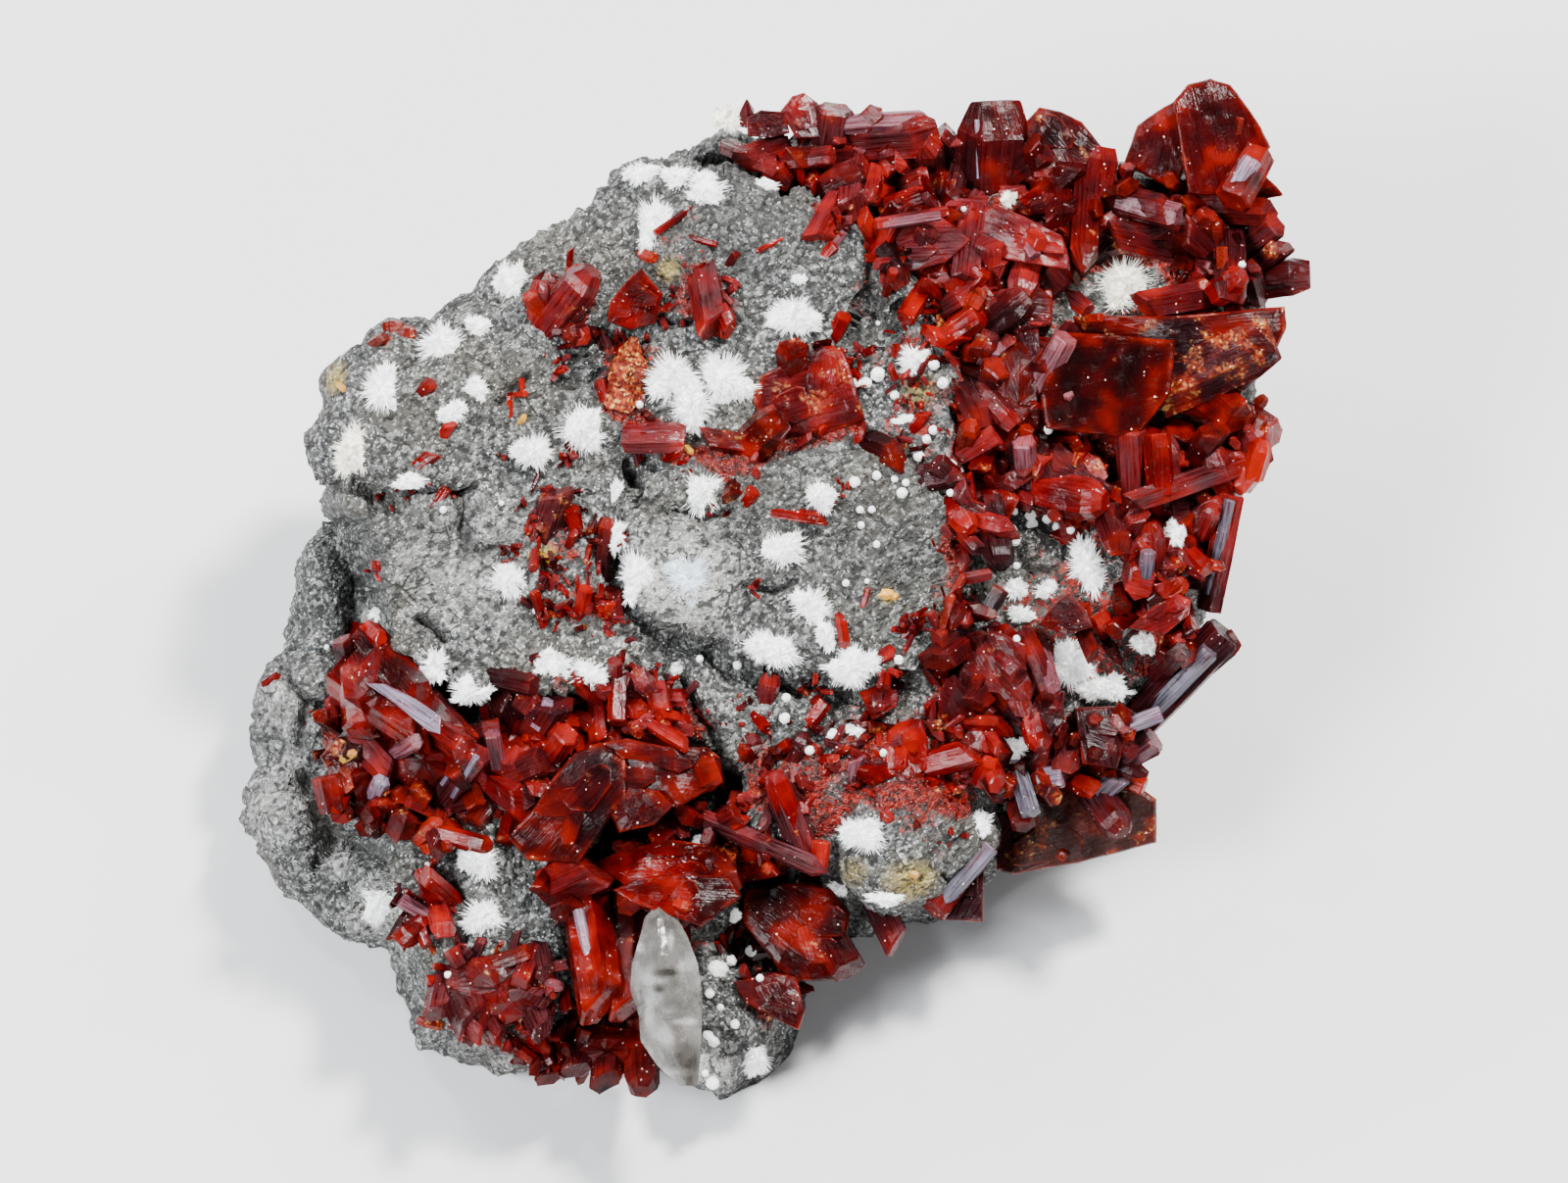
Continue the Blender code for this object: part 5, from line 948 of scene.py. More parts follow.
def realgar(name, deep, bright, painted_sheen, gloss, shine):
    """A red crystal that light enters a little, with a painted glow where its edges and tips are thin."""
    material, tree, shader = new_material(name, IOR=1.6, Specular_IOR_Level=shine, Transmission_Weight=0.1)
    skin = node(tree, "ShaderNodeGroup", {"Deep": deep, "Bright": bright, "Frost": painted_sheen, "Gloss": gloss},
                node_tree=CRYSTAL_SKIN)
    link(tree, shader, Base_Color=skin.outputs["Color"], Roughness=skin.outputs["Roughness"],
         Normal=skin.outputs["Normal"])
    return material


# kind: material name, colours of the depth, the lit inside and the painted sheen, gloss and shine
# mauve, slate and bluish are pale faces that catch the light: their colours are largely a painted reflection
REALGAR = {kind: realgar(*row) for kind, row in {
    "red": ("red_realgar", (0.012, 0.0002, 0.0003), (0.21, 0.0014, 0.0014), (0.15, 0.045, 0.055), 0.12, 0.10),
    "maroon": ("maroon_realgar", (0.005, 0.0003, 0.0004), (0.085, 0.001, 0.0012), (0.06, 0.02, 0.026),
               0.16, 0.03),
    "mauve": ("mauve_realgar", (0.04, 0.003, 0.005), (0.15, 0.018, 0.028), (0.21, 0.085, 0.11), 0.26, 0.22),
    "slate": ("slate_realgar", (0.020, 0.016, 0.022), (0.055, 0.045, 0.062), (0.15, 0.14, 0.19), 0.22, 0.20),
    "bluish": ("bluish_realgar", (0.05, 0.03, 0.05), (0.14, 0.07, 0.10), (0.22, 0.19, 0.26), 0.20, 0.30),
    "gold": ("golden_grains", (0.30, 0.13, 0.010), (0.75, 0.42, 0.045), (0.80, 0.60, 0.25), 0.35, 0.2),
    "brown": ("brown_realgar", (0.02, 0.007, 0.006), (0.075, 0.025, 0.02), (0.13, 0.08, 0.07), 0.26, 0.10),
    "rusty": ("rusty_realgar", (0.020, 0.0008, 0.0005), (0.16, 0.004, 0.001), (0.20, 0.06, 0.02), 0.26, 0.10),
}.items()}

# cluster name: (material name, skin, its crystals)
CLUSTERS = {
    "great_block": ("maroon", (0.6, 0.1, 0.0), [
        plate([(1088, 338), (1200, 346), (1196, 400), (1166, 440), (1142, 447), (1066, 438), (1060, 402)],
              1.5, 4.5, (4, 0), (0.38, 0.0, 0.02), -1),
        plate([(1090, 322), (1200, 322), (1312, 312), (1314, 335), (1292, 380), (1232, 430), (1130, 400)],
              0.5, 4.5, (-6, 12), (0.4, 0.15, 0.22), 1),
        prism((1180, 400, -1.5), (1300, 345, 0.6), 4.6, 3.2, 20, "chisel", (0.4, 0.1, 0.38)),
        prism((1225, 395, -2.0), (1262, 428, -0.2), 3.0, 2.4, -25, "flat"),
        prism((1236, 300, -3.2), (1157, 313, 0.8), 2.3, 2.2, 18, "slant", (1.0, 0.5, 0.0)),
    ]),
    "right_bars": ("red", (0.5, 0.35, 0.0), [
        prism((1158, 524, -3.0), (1153, 436, 0.9), 2.3, 2.0, 12, "flat"),
        prism((1192, 512, -3.0), (1184, 446, 0.4), 2.6, 2.0, -20, "chisel"),
        prism((1272, 472, -2.6), (1148, 515, 1.2), 1.8, 1.6, 25, "slant"),
        prism((1250, 500, -3.5), (1236, 458, -0.4), 2.2, 1.8, 10, "chisel"),
        prism((1258, 478, -5.0), (1297, 458, -3.4), 2.6, 2.0, 30, "chisel"),
        prism((1268, 470, -4.5), (1272, 418, -2.6), 1.4, 1.3, 0, "slant"),
        lump((1250, 474, -3.2), (2.4, 1.6, 2.0)),
    ]),
    "inner_crystals": ("maroon", (0.5, 0.4, 0.0), [
        plate([(1006, 312), (1020, 295), (1055, 288), (1075, 305), (1074, 332), (1035, 340)],
              -0.2, 3.5, (-5, 8)),
        prism((1094, 338, -2.2), (1060, 380, 0.6), 2.0, 1.6, 20, "flat"),
        plate([(1020, 334), (1060, 334), (1064, 380), (1050, 396), (1020, 385)], -0.3, 3.2, (6, -8)),
        prism((978, 378, -2.5), (1006, 436, 0.5), 2.5, 2.0, 15, "chisel"),
        prism((1060, 398, -2.4), (1044, 444, -0.2), 2.2, 1.8, 20, "slant"),
        prism((1046, 500, -3.0), (1045, 447, 0.6), 2.0, 1.8, -15, "slant"),
        lump((1040, 416, -1.4), (3.0, 5.2, 2.0)),
        plate([(1064, 458), (1082, 450), (1104, 470), (1136, 497), (1128, 522), (1102, 534), (1046, 516)],
              -0.1, 3.4, (8, -8)),
    ]),
    "upper_blocks": ("red", (0.5, 0.35, 0.0), [
        plate([(1002, 214), (1014, 207), (1048, 222), (1084, 240), (1093, 264), (1092, 277), (998, 260)],
              0.4, 3.6, (4, -3)),
        plate([(898, 228), (960, 220), (992, 245), (966, 268), (930, 278), (900, 262)], 0.2, 3.0, (8, -6)),
        prism((966, 216, -0.8), (893, 229, 1.2), 0.9, 0.9, 10, "flat"),
        prism((994, 214, -2.5), (984, 288, 0.3), 2.3, 2.0, 20, "flat"),
        prism((1052, 262, -2.2), (1040, 306, 0.0), 2.4, 2.0, 10, "round"),
    ]),
    "upper_band_crystals": ("maroon", (0.7, 0.25, 0.04), [
        prism((1112, 165, -4.5), (1105, 279, 0.9), 2.2, 2.0, 15, "point"),
        prism((1120, 200, -3.5), (1206, 220, -0.4), 2.4, 2.0, -15, "slant"),
        prism((1196, 212, -4.0), (1292, 216, -2.2), 2.3, 2.0, 20, "flat"),
        prism((1192, 255, -3.2), (1126, 238, -0.8), 2.3, 1.8, 15, "slant"),
        prism((1240, 262, -3.5), (1200, 228, -1.0), 2.2, 2.0, 0, "slant"),
        prism((1254, 240, -3.6), (1256, 307, 0.2), 2.6, 2.3, 20, "chisel"),
        lump((1196, 234, -2.8), (5.4, 2.0, 2.0)),
    ]),
    "crest_crystals": ("maroon", (0.7, 0.15, 0.02), [
        prism((1008, 210, -7.5), (1016, 103, -3.4), 5.2, 4.4, -18, "chisel"),
        plate([(1046, 124), (1060, 109), (1082, 113), (1104, 124), (1138, 166), (1128, 188), (1046, 186)],
              -3.0, 5.0, (4, -4), (0.65, 0.1, 0.14)),
        prism((1066, 196, -4.5), (1104, 160, -2.2), 2.4, 2.0, 0, "slant"),
    ]),
    "peak_blade": ("maroon", (0.65, 0.1, 0.03), [
        plate([(1196, 104), (1212, 86), (1235, 80), (1256, 86), (1284, 124), (1297, 150), (1262, 200),
               (1212, 200)], -1.6, 5.6, (-6, 6), None, 0),
        plate([(1146, 168), (1160, 128), (1182, 112), (1210, 96), (1216, 150), (1200, 196)],
              -2.6, 5.0, (10, -4), None, 0),
        prism((1284, 157, -2.0), (1257, 205, -0.3), 2.7, 2.2, -20, "flat"),
        prism((1250, 196, -3.8), (1308, 186, -3.0), 2.2, 1.9, 20, "slant"),
    ]),
    "ridge_crystals": ("red", (0.6, 0.2, 0.0), [
        prism((860, 198, -3.5), (829, 253, 0.2), 2.5, 2.2, 25, "slant"),
        prism((872, 168, -5.5), (868, 222, -0.8), 2.6, 2.2, -15, "slant"),
        prism((893, 175, -5.0), (886, 205, -2.0), 1.6, 1.5, 0, "chisel"),
    ]),
    "top_ridge_crystals": ("red", (0.35, 0.2, 0.06), [
        plate([(762, 120), (776, 112), (802, 114), (806, 136), (788, 141), (762, 139)], -4.4, 3.4, (4, -8)),
        plate([(796, 113), (808, 98), (820, 94), (834, 104), (845, 120), (842, 141), (812, 142)],
              -4.2, 3.6, (-6, -8)),
        prism((846, 160, -6.0), (852, 110, -4.0), 2.8, 2.4, 0, "flat"),
        prism((850, 144, -7.0), (958, 137, -3.4), 3.4, 3.2, -28, "chisel"),
        prism((800, 150, -6.0), (752, 168, -3.6), 2.2, 2.0, 0, "slant"),
        prism((868, 160, -5.0), (800, 162, -3.4), 1.8, 1.6, 15, "slant"),
    ]),
    "right_tip_crystals": ("maroon", (0.6, 0.3, 0.03), [
        prism((1278, 288, -5.6), (1337, 280, -4.2), 3.0, 2.2, 20, "chisel"),
        prism((1282, 268, -4.8), (1312, 244, -3.2), 2.2, 1.8, -15, "slant"),
    ]),
    "edge_crystals": ("red", (0.6, 0.3, 0.0), [
        prism((1233, 622, -5.6), (1256, 503, -2.8), 1.7, 2.2, -28, "flat"),
        prism((1206, 545, -4.4), (1247, 512, -2.4), 2.2, 2.0, 10, "round"),
        prism((1190, 560, -3.8), (1236, 584, -2.2), 1.9, 1.7, 15, "slant"),
        prism((1176, 600, -3.8), (1172, 532, -1.0), 2.4, 2.2, 20, "round"),
        prism((1172, 530, -3.8), (1140, 562, -0.6), 2.8, 2.4, 0, "chisel"),
        lump((1192, 566, -3.4), (2.4, 2.4, 1.8)),
    ]),
    "glossy_crystal": ("red", (0.75, 0.1, 0.0), [
        plate([(1150, 641), (1176, 619), (1202, 605), (1216, 612), (1213, 628), (1188, 648)],
              0.2, 3.0, (4, -10)),
    ]),
    "pillar_crystals": ("maroon", (0.4, 0.3, 0.0), [
        prism((1010, 512, -1.4), (1021, 579, 0.9), 2.4, 2.2, 12, "round"),
        plate([(960, 516), (980, 505), (1006, 514), (1008, 540), (986, 549), (970, 536)], 0.9, 2.6),
    ]),
    "middle_right_crystals": ("maroon", (0.4, 0.3, 0.0), [
        plate([(1058, 637), (1080, 612), (1092, 606), (1112, 626), (1116, 640), (1088, 649)],
              0.2, 3.0, (4, -10)),
        prism((1100, 632, -2.8), (1117, 674, 0.2), 1.3, 1.1, 20, "slant"),
    ]),
    "broad_crystals": ("maroon", (0.5, 0.35, 0.0), [
        plate([(986, 642), (1018, 644), (1046, 656), (1070, 708), (1062, 742), (1002, 740), (976, 700)],
              -0.5, 3.8, (8, 8)),
        prism((1046, 646, -2.0), (1073, 708, 1.0), 1.5, 1.3, -18, "flat"),
        plate([(1058, 706), (1086, 705), (1086, 736), (1060, 763), (1045, 745)], 0.0, 3.2, (-8, -6)),
        prism((1010, 700, -2.4), (985, 725, 0.2), 2.2, 1.9, 20, "slant"),
    ]),
    "lower_blade": ("maroon", (0.3, 0.6, 0.0), [
        prism((1150, 748, -7.6), (1250, 645, -3.4), 3.0, 2.6, -20, "flat"),
        prism((1215, 690, -6.4), (1262, 650, -3.6), 2.0, 1.8, 20, "chisel"),
    ]),
    "needle_fan": ("red", (0.6, 0.2, 0.0), [
        prism((1002, 744, -1.8), (1022, 768, 0.6), 1.1, 1.0, 20, "slant"),
        prism((1002, 764, -2.4), (1020, 804, 0.8), 1.5, 1.3, -15, "slant"),
        prism((1005, 760, -2.5), (950, 780, 0.0), 1.6, 1.4, 0, "slant"),
        lump((1002, 768, -1.6), (2.4, 2.2, 1.7)),
    ]),
    "under_cluster": ("maroon", (0.3, 0.4, 0.02), [
        prism((1042, 768, -5.8), (1044, 844, -2.0), 2.3, 2.2, 10, "round"),
        prism((1092, 772, -5.6), (1060, 801, -1.8), 2.1, 1.9, 25, "flat"),
        prism((1088, 768, -6.5), (1146, 850, -3.0), 2.5, 2.3, -15, "round"),
        plate([(1096, 722), (1142, 720), (1150, 756), (1140, 785), (1104, 780)], -1.8, 3.8, (-6, -4)),
        prism((1115, 775, -6.2), (1169, 797, -4.6), 2.0, 1.7, 0, "chisel"),
        prism((1130, 782, -6.2), (1179, 756, -4.6), 2.1, 1.8, 15, "flat"),
        lump((1080, 775, -5.2), (5.0, 2.2, 2.4)),
    ]),
    "shelf_plate": ("brown", (0.35, 0.1, 0.22), [
        plate([(1016, 888), (1032, 893), (1100, 881), (1181, 860), (1181, 815), (1150, 792), (1070, 792),
               (1015, 835)], -7.6, 1.6, (2, 3)),
        prism((1070, 800, -10.5), (1060, 850, -9.4), 4.5, 2.6, 0, "flat"),
    ]),
    "under_blade": ("maroon", (0.3, 0.6, 0.0), [
        prism((1022, 838, -6.5), (952, 928, -4.2), 2.4, 2.2, 15, "flat"),
        plate([(958, 939), (1004, 878), (1003, 941)], -5.6, 2.2),
    ]),
    "purple_tips": ("maroon", (0.3, 0.6, 0.0), [
        prism((890, 910, -6.5), (920, 972, -4.8), 2.3, 2.0, 15, "slant"),
    ]),
    "central_lower_crystals": ("red", (0.7, 0.1, 0.0), [
        plate([(905, 745), (918, 736), (941, 732), (948, 760), (946, 786), (926, 797), (902, 790)],
              0.0, 2.6, (4, -2), (0.75, 0.0, 0.0)),
        prism((925, 778, -2.4), (878, 797, 0.2), 1.9, 1.6, 0, "slant"),
    ]),
    "wedge_crystal": ("red", (0.6, 0.1, 0.0), [
        plate([(876, 706), (899, 697), (917, 706), (915, 721), (890, 736)], 0.2, 3.0, (6, -12)),
    ]),
    "long_blade": ("red", (0.5, 0.5, 0.0), [
        prism((690, 824, -2.2), (846, 890, -0.6), 1.3, 1.9, 25, "point"),
        prism((824, 878, -1.6), (789, 785, 0.0), 2.2, 1.9, -12, "slant"),
    ]),
    "bottom_block": ("maroon", (0.7, 0.15, 0.06), [
        plate([(760, 908), (800, 900), (848, 906), (868, 930), (858, 1001), (804, 1002), (758, 942)],
              -3.8, 5.5, (4, -1), (0.5, 0.05, 0.08)),
        prism((830, 930, -6.0), (866, 990, -4.0), 2.8, 2.4, 20, "flat"),
        plate([(748, 1002), (790, 992), (813, 996), (822, 1032), (815, 1052), (758, 1022)],
              -3.4, 2.0, (0, -8)),
    ]),
    "great_blade": ("maroon", (0.4, 0.1, 0.05), [
        plate([(517, 855), (546, 822), (562, 796), (586, 768), (612, 757), (640, 772), (640, 812),
               (590, 882), (537, 878)], 2.4, 2.6, (2, -3)),
        plate([(598, 760), (640, 753), (676, 761), (722, 762), (737, 774), (736, 800), (690, 826),
               (616, 800)], 2.0, 2.8, (2, -2)),
        plate([(612, 812), (640, 802), (672, 806), (688, 822), (668, 842), (632, 850)],
              2.9, 2.6, (4, -2)),
        prism((690, 800, -1.0), (733, 784, 1.6), 2.6, 2.2, 0, "chisel", (0.7, 0.1, 0.0)),
    ]),
    "hanging_crystals": ("red", (0.5, 0.12, 0.0), [
        plate([(624, 908), (650, 896), (700, 890), (745, 896), (758, 915), (716, 946), (645, 922)],
              1.2, 2.8, (4, -2), (0.4, 0.0, 0.0)),
        plate([(602, 880), (640, 866), (684, 856), (726, 862), (746, 882), (730, 900), (640, 906)],
              0.6, 2.6, (2, -3), (0.4, 0.0, 0.0)),
        prism((560, 905, -2.8), (620, 880, 0.4), 3.6, 2.8, 20, "slant"),
        prism((592, 890, -2.8), (616, 1042, 0.6), 3.4, 2.8, -16, "slant", (0.45, -0.1, 0.0)),
        prism((640, 905, -3.6), (640, 1042, -0.8), 2.6, 2.4, -15, "slant"),
    ]),
    "left_prism_cluster": ("red", (0.35, 0.2, 0.03), [
        prism((352, 690, -4.0), (444, 752, 2.2), 3.7, 3.2, 14, "slant", (0.2, -0.2, 0.0)),
        prism((372, 650, -3.6), (438, 728, 1.2), 3.0, 2.6, -10, "slant", (0.2, -0.1, 0.0)),
        prism((410, 690, -3.0), (474, 762, 0.6), 2.6, 2.2, 10, "flat"),
        prism((440, 828, -3.6), (489, 768, 1.8), 2.0, 1.7, -20, "flat"),
        prism((350, 760, -6.0), (395, 848, -1.6), 2.8, 2.4, 15, "slant", (0.1, 0.1, 0.0)),
        prism((430, 770, -4.4), (384, 838, -1.0), 2.6, 2.2, -15, "slant"),
        plate([(326, 772), (345, 752), (370, 762), (376, 795), (352, 815)], -1.6, 3.6, (4, -2),
              (0.4, 0.1, 0.34)),
        lump((434, 776, -2.4), (3.4, 3.4, 2.2)),
        lump((384, 712, -2.4), (3.0, 4.4, 2.6)),
    ]),
    "middle_cluster": ("maroon", (0.4, 0.4, 0.0), [
        prism((536, 762, -4.0), (571, 708, 1.0), 3.0, 2.4, 10, "slant"),
        prism((528, 742, -3.8), (506, 704, -0.6), 2.2, 1.8, -10, "slant"),
        prism((556, 740, -3.8), (584, 756, 0.4), 2.4, 2.0, 20, "slant"),
        plate([(500, 800), (520, 790), (544, 798), (548, 820), (530, 833), (508, 826)], -0.8, 3.2, (0, -8)),
        lump((530, 778, -3.0), (2.8, 2.2, 2.0)),
    ]),
    "small_left_cluster": ("red", (0.65, 0.15, 0.0), [
        prism((446, 922, -3.6), (432, 886, -0.6), 1.7, 1.5, 10, "chisel"),
        prism((448, 928, -4.0), (406, 962, -1.4), 1.8, 1.5, -15, "chisel"),
        prism((446, 922, -3.6), (454, 956, -0.8), 1.8, 1.5, 15, "chisel"),
    ]),
    "lower_left_cluster": ("red", (0.35, 0.3, 0.03), [
        prism((462, 992, -5.0), (492, 1058, -0.8), 3.4, 2.8, 12, "slant"),
        prism((548, 958, -4.2), (558, 998, -1.2), 1.7, 1.5, 10, "slant"),
        prism((536, 1010, -4.8), (557, 1058, -1.2), 2.1, 1.8, 15, "slant"),
        prism((560, 998, -5.0), (530, 1024, -1.2), 2.4, 1.8, -10, "slant"),
        prism((456, 990, -5.0), (446, 1040, -1.6), 2.2, 1.8, 0, "slant"),
        lump((510, 1006, -3.2), (4.8, 3.0, 2.2)),
    ]),
    "bottom_fringe": ("maroon", (0.6, 0.3, 0.06), [
        prism((600, 1050, -8.0), (586, 1100, -4.8), 2.4, 2.0, 10, "slant"),
        prism((575, 1060, -8.0), (556, 1108, -5.4), 1.8, 1.6, 0, "slant"),
        prism((655, 1050, -8.0), (655, 1114, -4.2), 2.6, 2.2, 12, "round"),
        prism((625, 1050, -8.0), (618, 1112, -4.6), 2.4, 2.1, -12, "slant"),
        lump((620, 1070, -6.6), (4.0, 1.8, 2.0)),
    ]),
    "west_crystal": ("red", (0.55, 0.3, 0.1), [
        prism((552, 345, -1.6), (604, 276, 2.4), 3.0, 2.6, 10, "round"),
        prism((546, 345, -1.6), (552, 286, 1.4), 1.5, 1.4, -10, "chisel"),
        prism((566, 328, -1.4), (598, 346, 1.0), 1.8, 1.5, 0, "round"),
    ]),
    "middle_crystal": ("red", (0.75, 0.05, 0.0), [
        plate([(619, 328), (622, 308), (640, 285), (654, 273), (677, 300), (669, 331), (642, 337)],
              1.9, 2.9, (0, 12)),
    ]),
    "east_crystal": ("red", (0.7, 0.05, 0.1), [
        prism((714, 262, -1.4), (730, 344, 2.0), 2.6, 2.2, 12, "slant"),
        prism((722, 290, -1.4), (746, 341, 1.2), 1.6, 1.4, -10, "slant"),
    ]),
    "rusty_ridge": ("rusty", (0.5, 0.1, 0.8), [
        prism((650, 404, -1.6), (634, 346, 1.2), 2.4, 2.0, 10, "slant"),
        prism((640, 376, -1.6), (630, 419, 0.8), 2.4, 2.0, 0, "chisel"),
        lump((641, 386, 0.2), (1.6, 2.6, 1.3)),
    ]),
    "spindle": ("red", (0.6, 0.3, 0.0), [prism((640, 447, 0.4), (699, 446, 2.2), 2.4, 2.0, 16, "chisel")]),
    "sparkling_cluster": ("red", (0.45, 0.1, 0.22), [
        prism((744, 474, -1.2), (798, 424, 2.2), 2.9, 2.3, 8, "chisel"),
        prism((786, 458, 0.2), (711, 446, 1.2), 1.6, 1.3, 0, "slant"),
        prism((762, 470, -1.0), (745, 514, 2.4), 1.6, 1.3, 10, "slant"),
        prism((815, 400, -1.8), (808, 354, 1.6), 2.4, 2.0, -10, "flat"),
        plate([(766, 402), (778, 382), (838, 352), (862, 356), (884, 428), (838, 450), (776, 436)],
              0.9, 2.4, (3, 4)),
    ]),
    "face_prisms": ("red", (0.45, 0.2, 0.2), [
        prism((554, 547, -1.4), (572, 492, 1.4), 2.5, 2.0, 12, "slant"),
    ]),
    "cliff_crystals": ("maroon", (0.35, 0.2, 0.1), [
        prism((612, 606, -2.0), (620, 528, 0.9), 1.4, 1.3, 10, "chisel"),
        prism((640, 688, -2.6), (622, 604, 0.4), 1.8, 1.5, -12, "slant"),
        lump((618, 612, -1.2), (1.6, 1.3, 1.4)),
    ]),
}
for seed, (cluster, (finish, skin, forms)) in enumerate(CLUSTERS.items(), start=100):
    piece = crystal_piece(cluster, forms, skin, REALGAR[finish], seed)
    piece.name = cluster + "_look"
    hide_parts(cluster)
    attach(piece, "root")

# The small realgar crystals
# Between the large crystals the rock is overgrown with small ones, stubby and lying every way.

# discs that stay clear for the needle sprays: centre and radius in pixels
CLEAR = [
    (1090, 680, 40), (1126, 702, 34), (1110, 577, 34), (1146, 287, 40), (1033, 763, 24), (1042, 628, 22),
    (1036, 602, 20), (1067, 605, 20), (1165, 655, 24), (885, 852, 30), (1000, 838, 20), (690, 384, 30),
    (738, 387, 34), (706, 414, 30), (810, 322, 34), (1012, 352, 12), (1030, 204, 14), (1198, 548, 18)]
TAIL_DEPTH = 2.6                  # how far below the lowest level of the tips a tail may start, in mm


def small_crystals(count, shortest, longest, outline, seed, lowest=-20.0, stout=(0.32, 0.6), stripes=2):
    """Seeded prisms inside an outline, their tails just in the rock and their tips out and to any side; a
    lowest level lifts them where they fill a hollow."""
    random = np.random.default_rng(seed)
    corners = np.array(outline, float)
    low, high = corners.min(axis=0), corners.max(axis=0)
    spots = random.uniform(low, high, (count * 6, 2))
    free = (depth_inside(*spots.T, outline) > 0) & (depth_inside(*spots.T, OUTLINE) > 6)
    for x, y, radius in CLEAR:
        free &= np.hypot(spots[:, 0] - x, spots[:, 1] - y) > radius
    spots = spots[free][:count]
    levels = face_level(spots[:, 0], spots[:, 1])
    forms = []
    for (x, y), level in zip(spots, levels):
        length = random.uniform(shortest, longest)
        heading = random.uniform(0.0, 2.0 * pi)
        raised = random.uniform(0.05, 0.7)
        flat = length * (1.0 - raised ** 2) ** 0.5 / PIXEL
        width = length * random.uniform(*stout)
        tip = (x + flat * cos(heading), y + flat * sin(heading), max(level, lowest) + length * raised)
        end = ("slant", "slant", "chisel", "flat")[random.integers(4)]
        bright = random.uniform(0.1, 0.9)
        skin = (bright, max(0.0, random.uniform(-0.5, 0.6)), max(0.0, random.uniform(-1.2, 0.4)))
        roll = random.uniform(-90, 90)
        if any(np.hypot(tip[0] - disc[0], tip[1] - disc[1]) < 0.8 * disc[2] for disc in CLEAR):
            continue
        tail = (x, y, max(level, lowest - TAIL_DEPTH) - 0.3)
        forms.append(prism(tail, tip, width, width * random.uniform(0.45, 0.9), roll, end, skin, stripes))
    return forms


for seed, (zone, (_, count, shortest, longest, outline)) in enumerate(ZONES.items(), start=300):
    forms = small_crystals(count, shortest, longest, outline, seed)
    piece = crystal_piece("small_crystals_" + zone, forms, CLEAN, REALGAR["red"], seed + 50)
    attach(piece, "root")

# stout blocks that close the gaps between the large crystals: how many, lowest level in mm, outline in pixels
BLOCKS = {
    "inner": (85, -1.6, [
        (905, 262), (1000, 285), (1062, 318), (1065, 440), (1110, 445), (1120, 520), (1010, 500), (985, 560),
        (972, 470), (985, 400), (950, 300)]),
    "upper": (75, -2.6, [
        (885, 215), (1000, 200), (1050, 170), (1140, 195), (1250, 200), (1290, 235), (1295, 310), (1190, 322),
        (1175, 262), (1110, 280), (1000, 295), (905, 270)]),
    "right": (55, -3.2, [
        (1130, 445), (1240, 425), (1290, 415), (1270, 500), (1240, 600), (1190, 690), (1150, 640),
        (1165, 560), (1130, 520)]),
    "lower": (65, -2.4, [
        (970, 600), (1030, 650), (1060, 720), (1150, 720), (1160, 780), (1080, 800), (1010, 790),
        (980, 740)]),
    "top": (40, -5.0, [(760, 128), (960, 125), (1000, 150), (1050, 160), (990, 200), (870, 205), (800, 180)]),
    "left": (45, -2.2, [
        (355, 680), (410, 690), (470, 740), (500, 770), (490, 830), (420, 850), (350, 830), (340, 750)]),
    "right_low": (34, -2.4, [
        (1060, 600), (1100, 600), (1150, 560), (1215, 560), (1215, 640), (1150, 690), (1120, 650),
        (1070, 640)]),
    "under_the_blade": (34, -1.6, [
        (540, 850), (600, 880), (690, 830), (745, 812), (765, 850), (750, 900), (600, 905), (548, 895)]),
    "below": (45, -2.6, [
        (500, 720), (600, 700), (700, 700), (690, 760), (560, 790), (510, 850), (480, 800)]),
}
for seed, (zone, (count, lowest, outline)) in enumerate(BLOCKS.items(), start=400):
    finish = "maroon" if seed % 2 else "red"
    forms = small_crystals(count, 1.8, 3.8, outline, seed, lowest, (0.4, 0.8))
    piece = crystal_piece("stout_blocks_" + zone, forms, CLEAN, REALGAR[finish], seed + 50)
    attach(piece, "root")

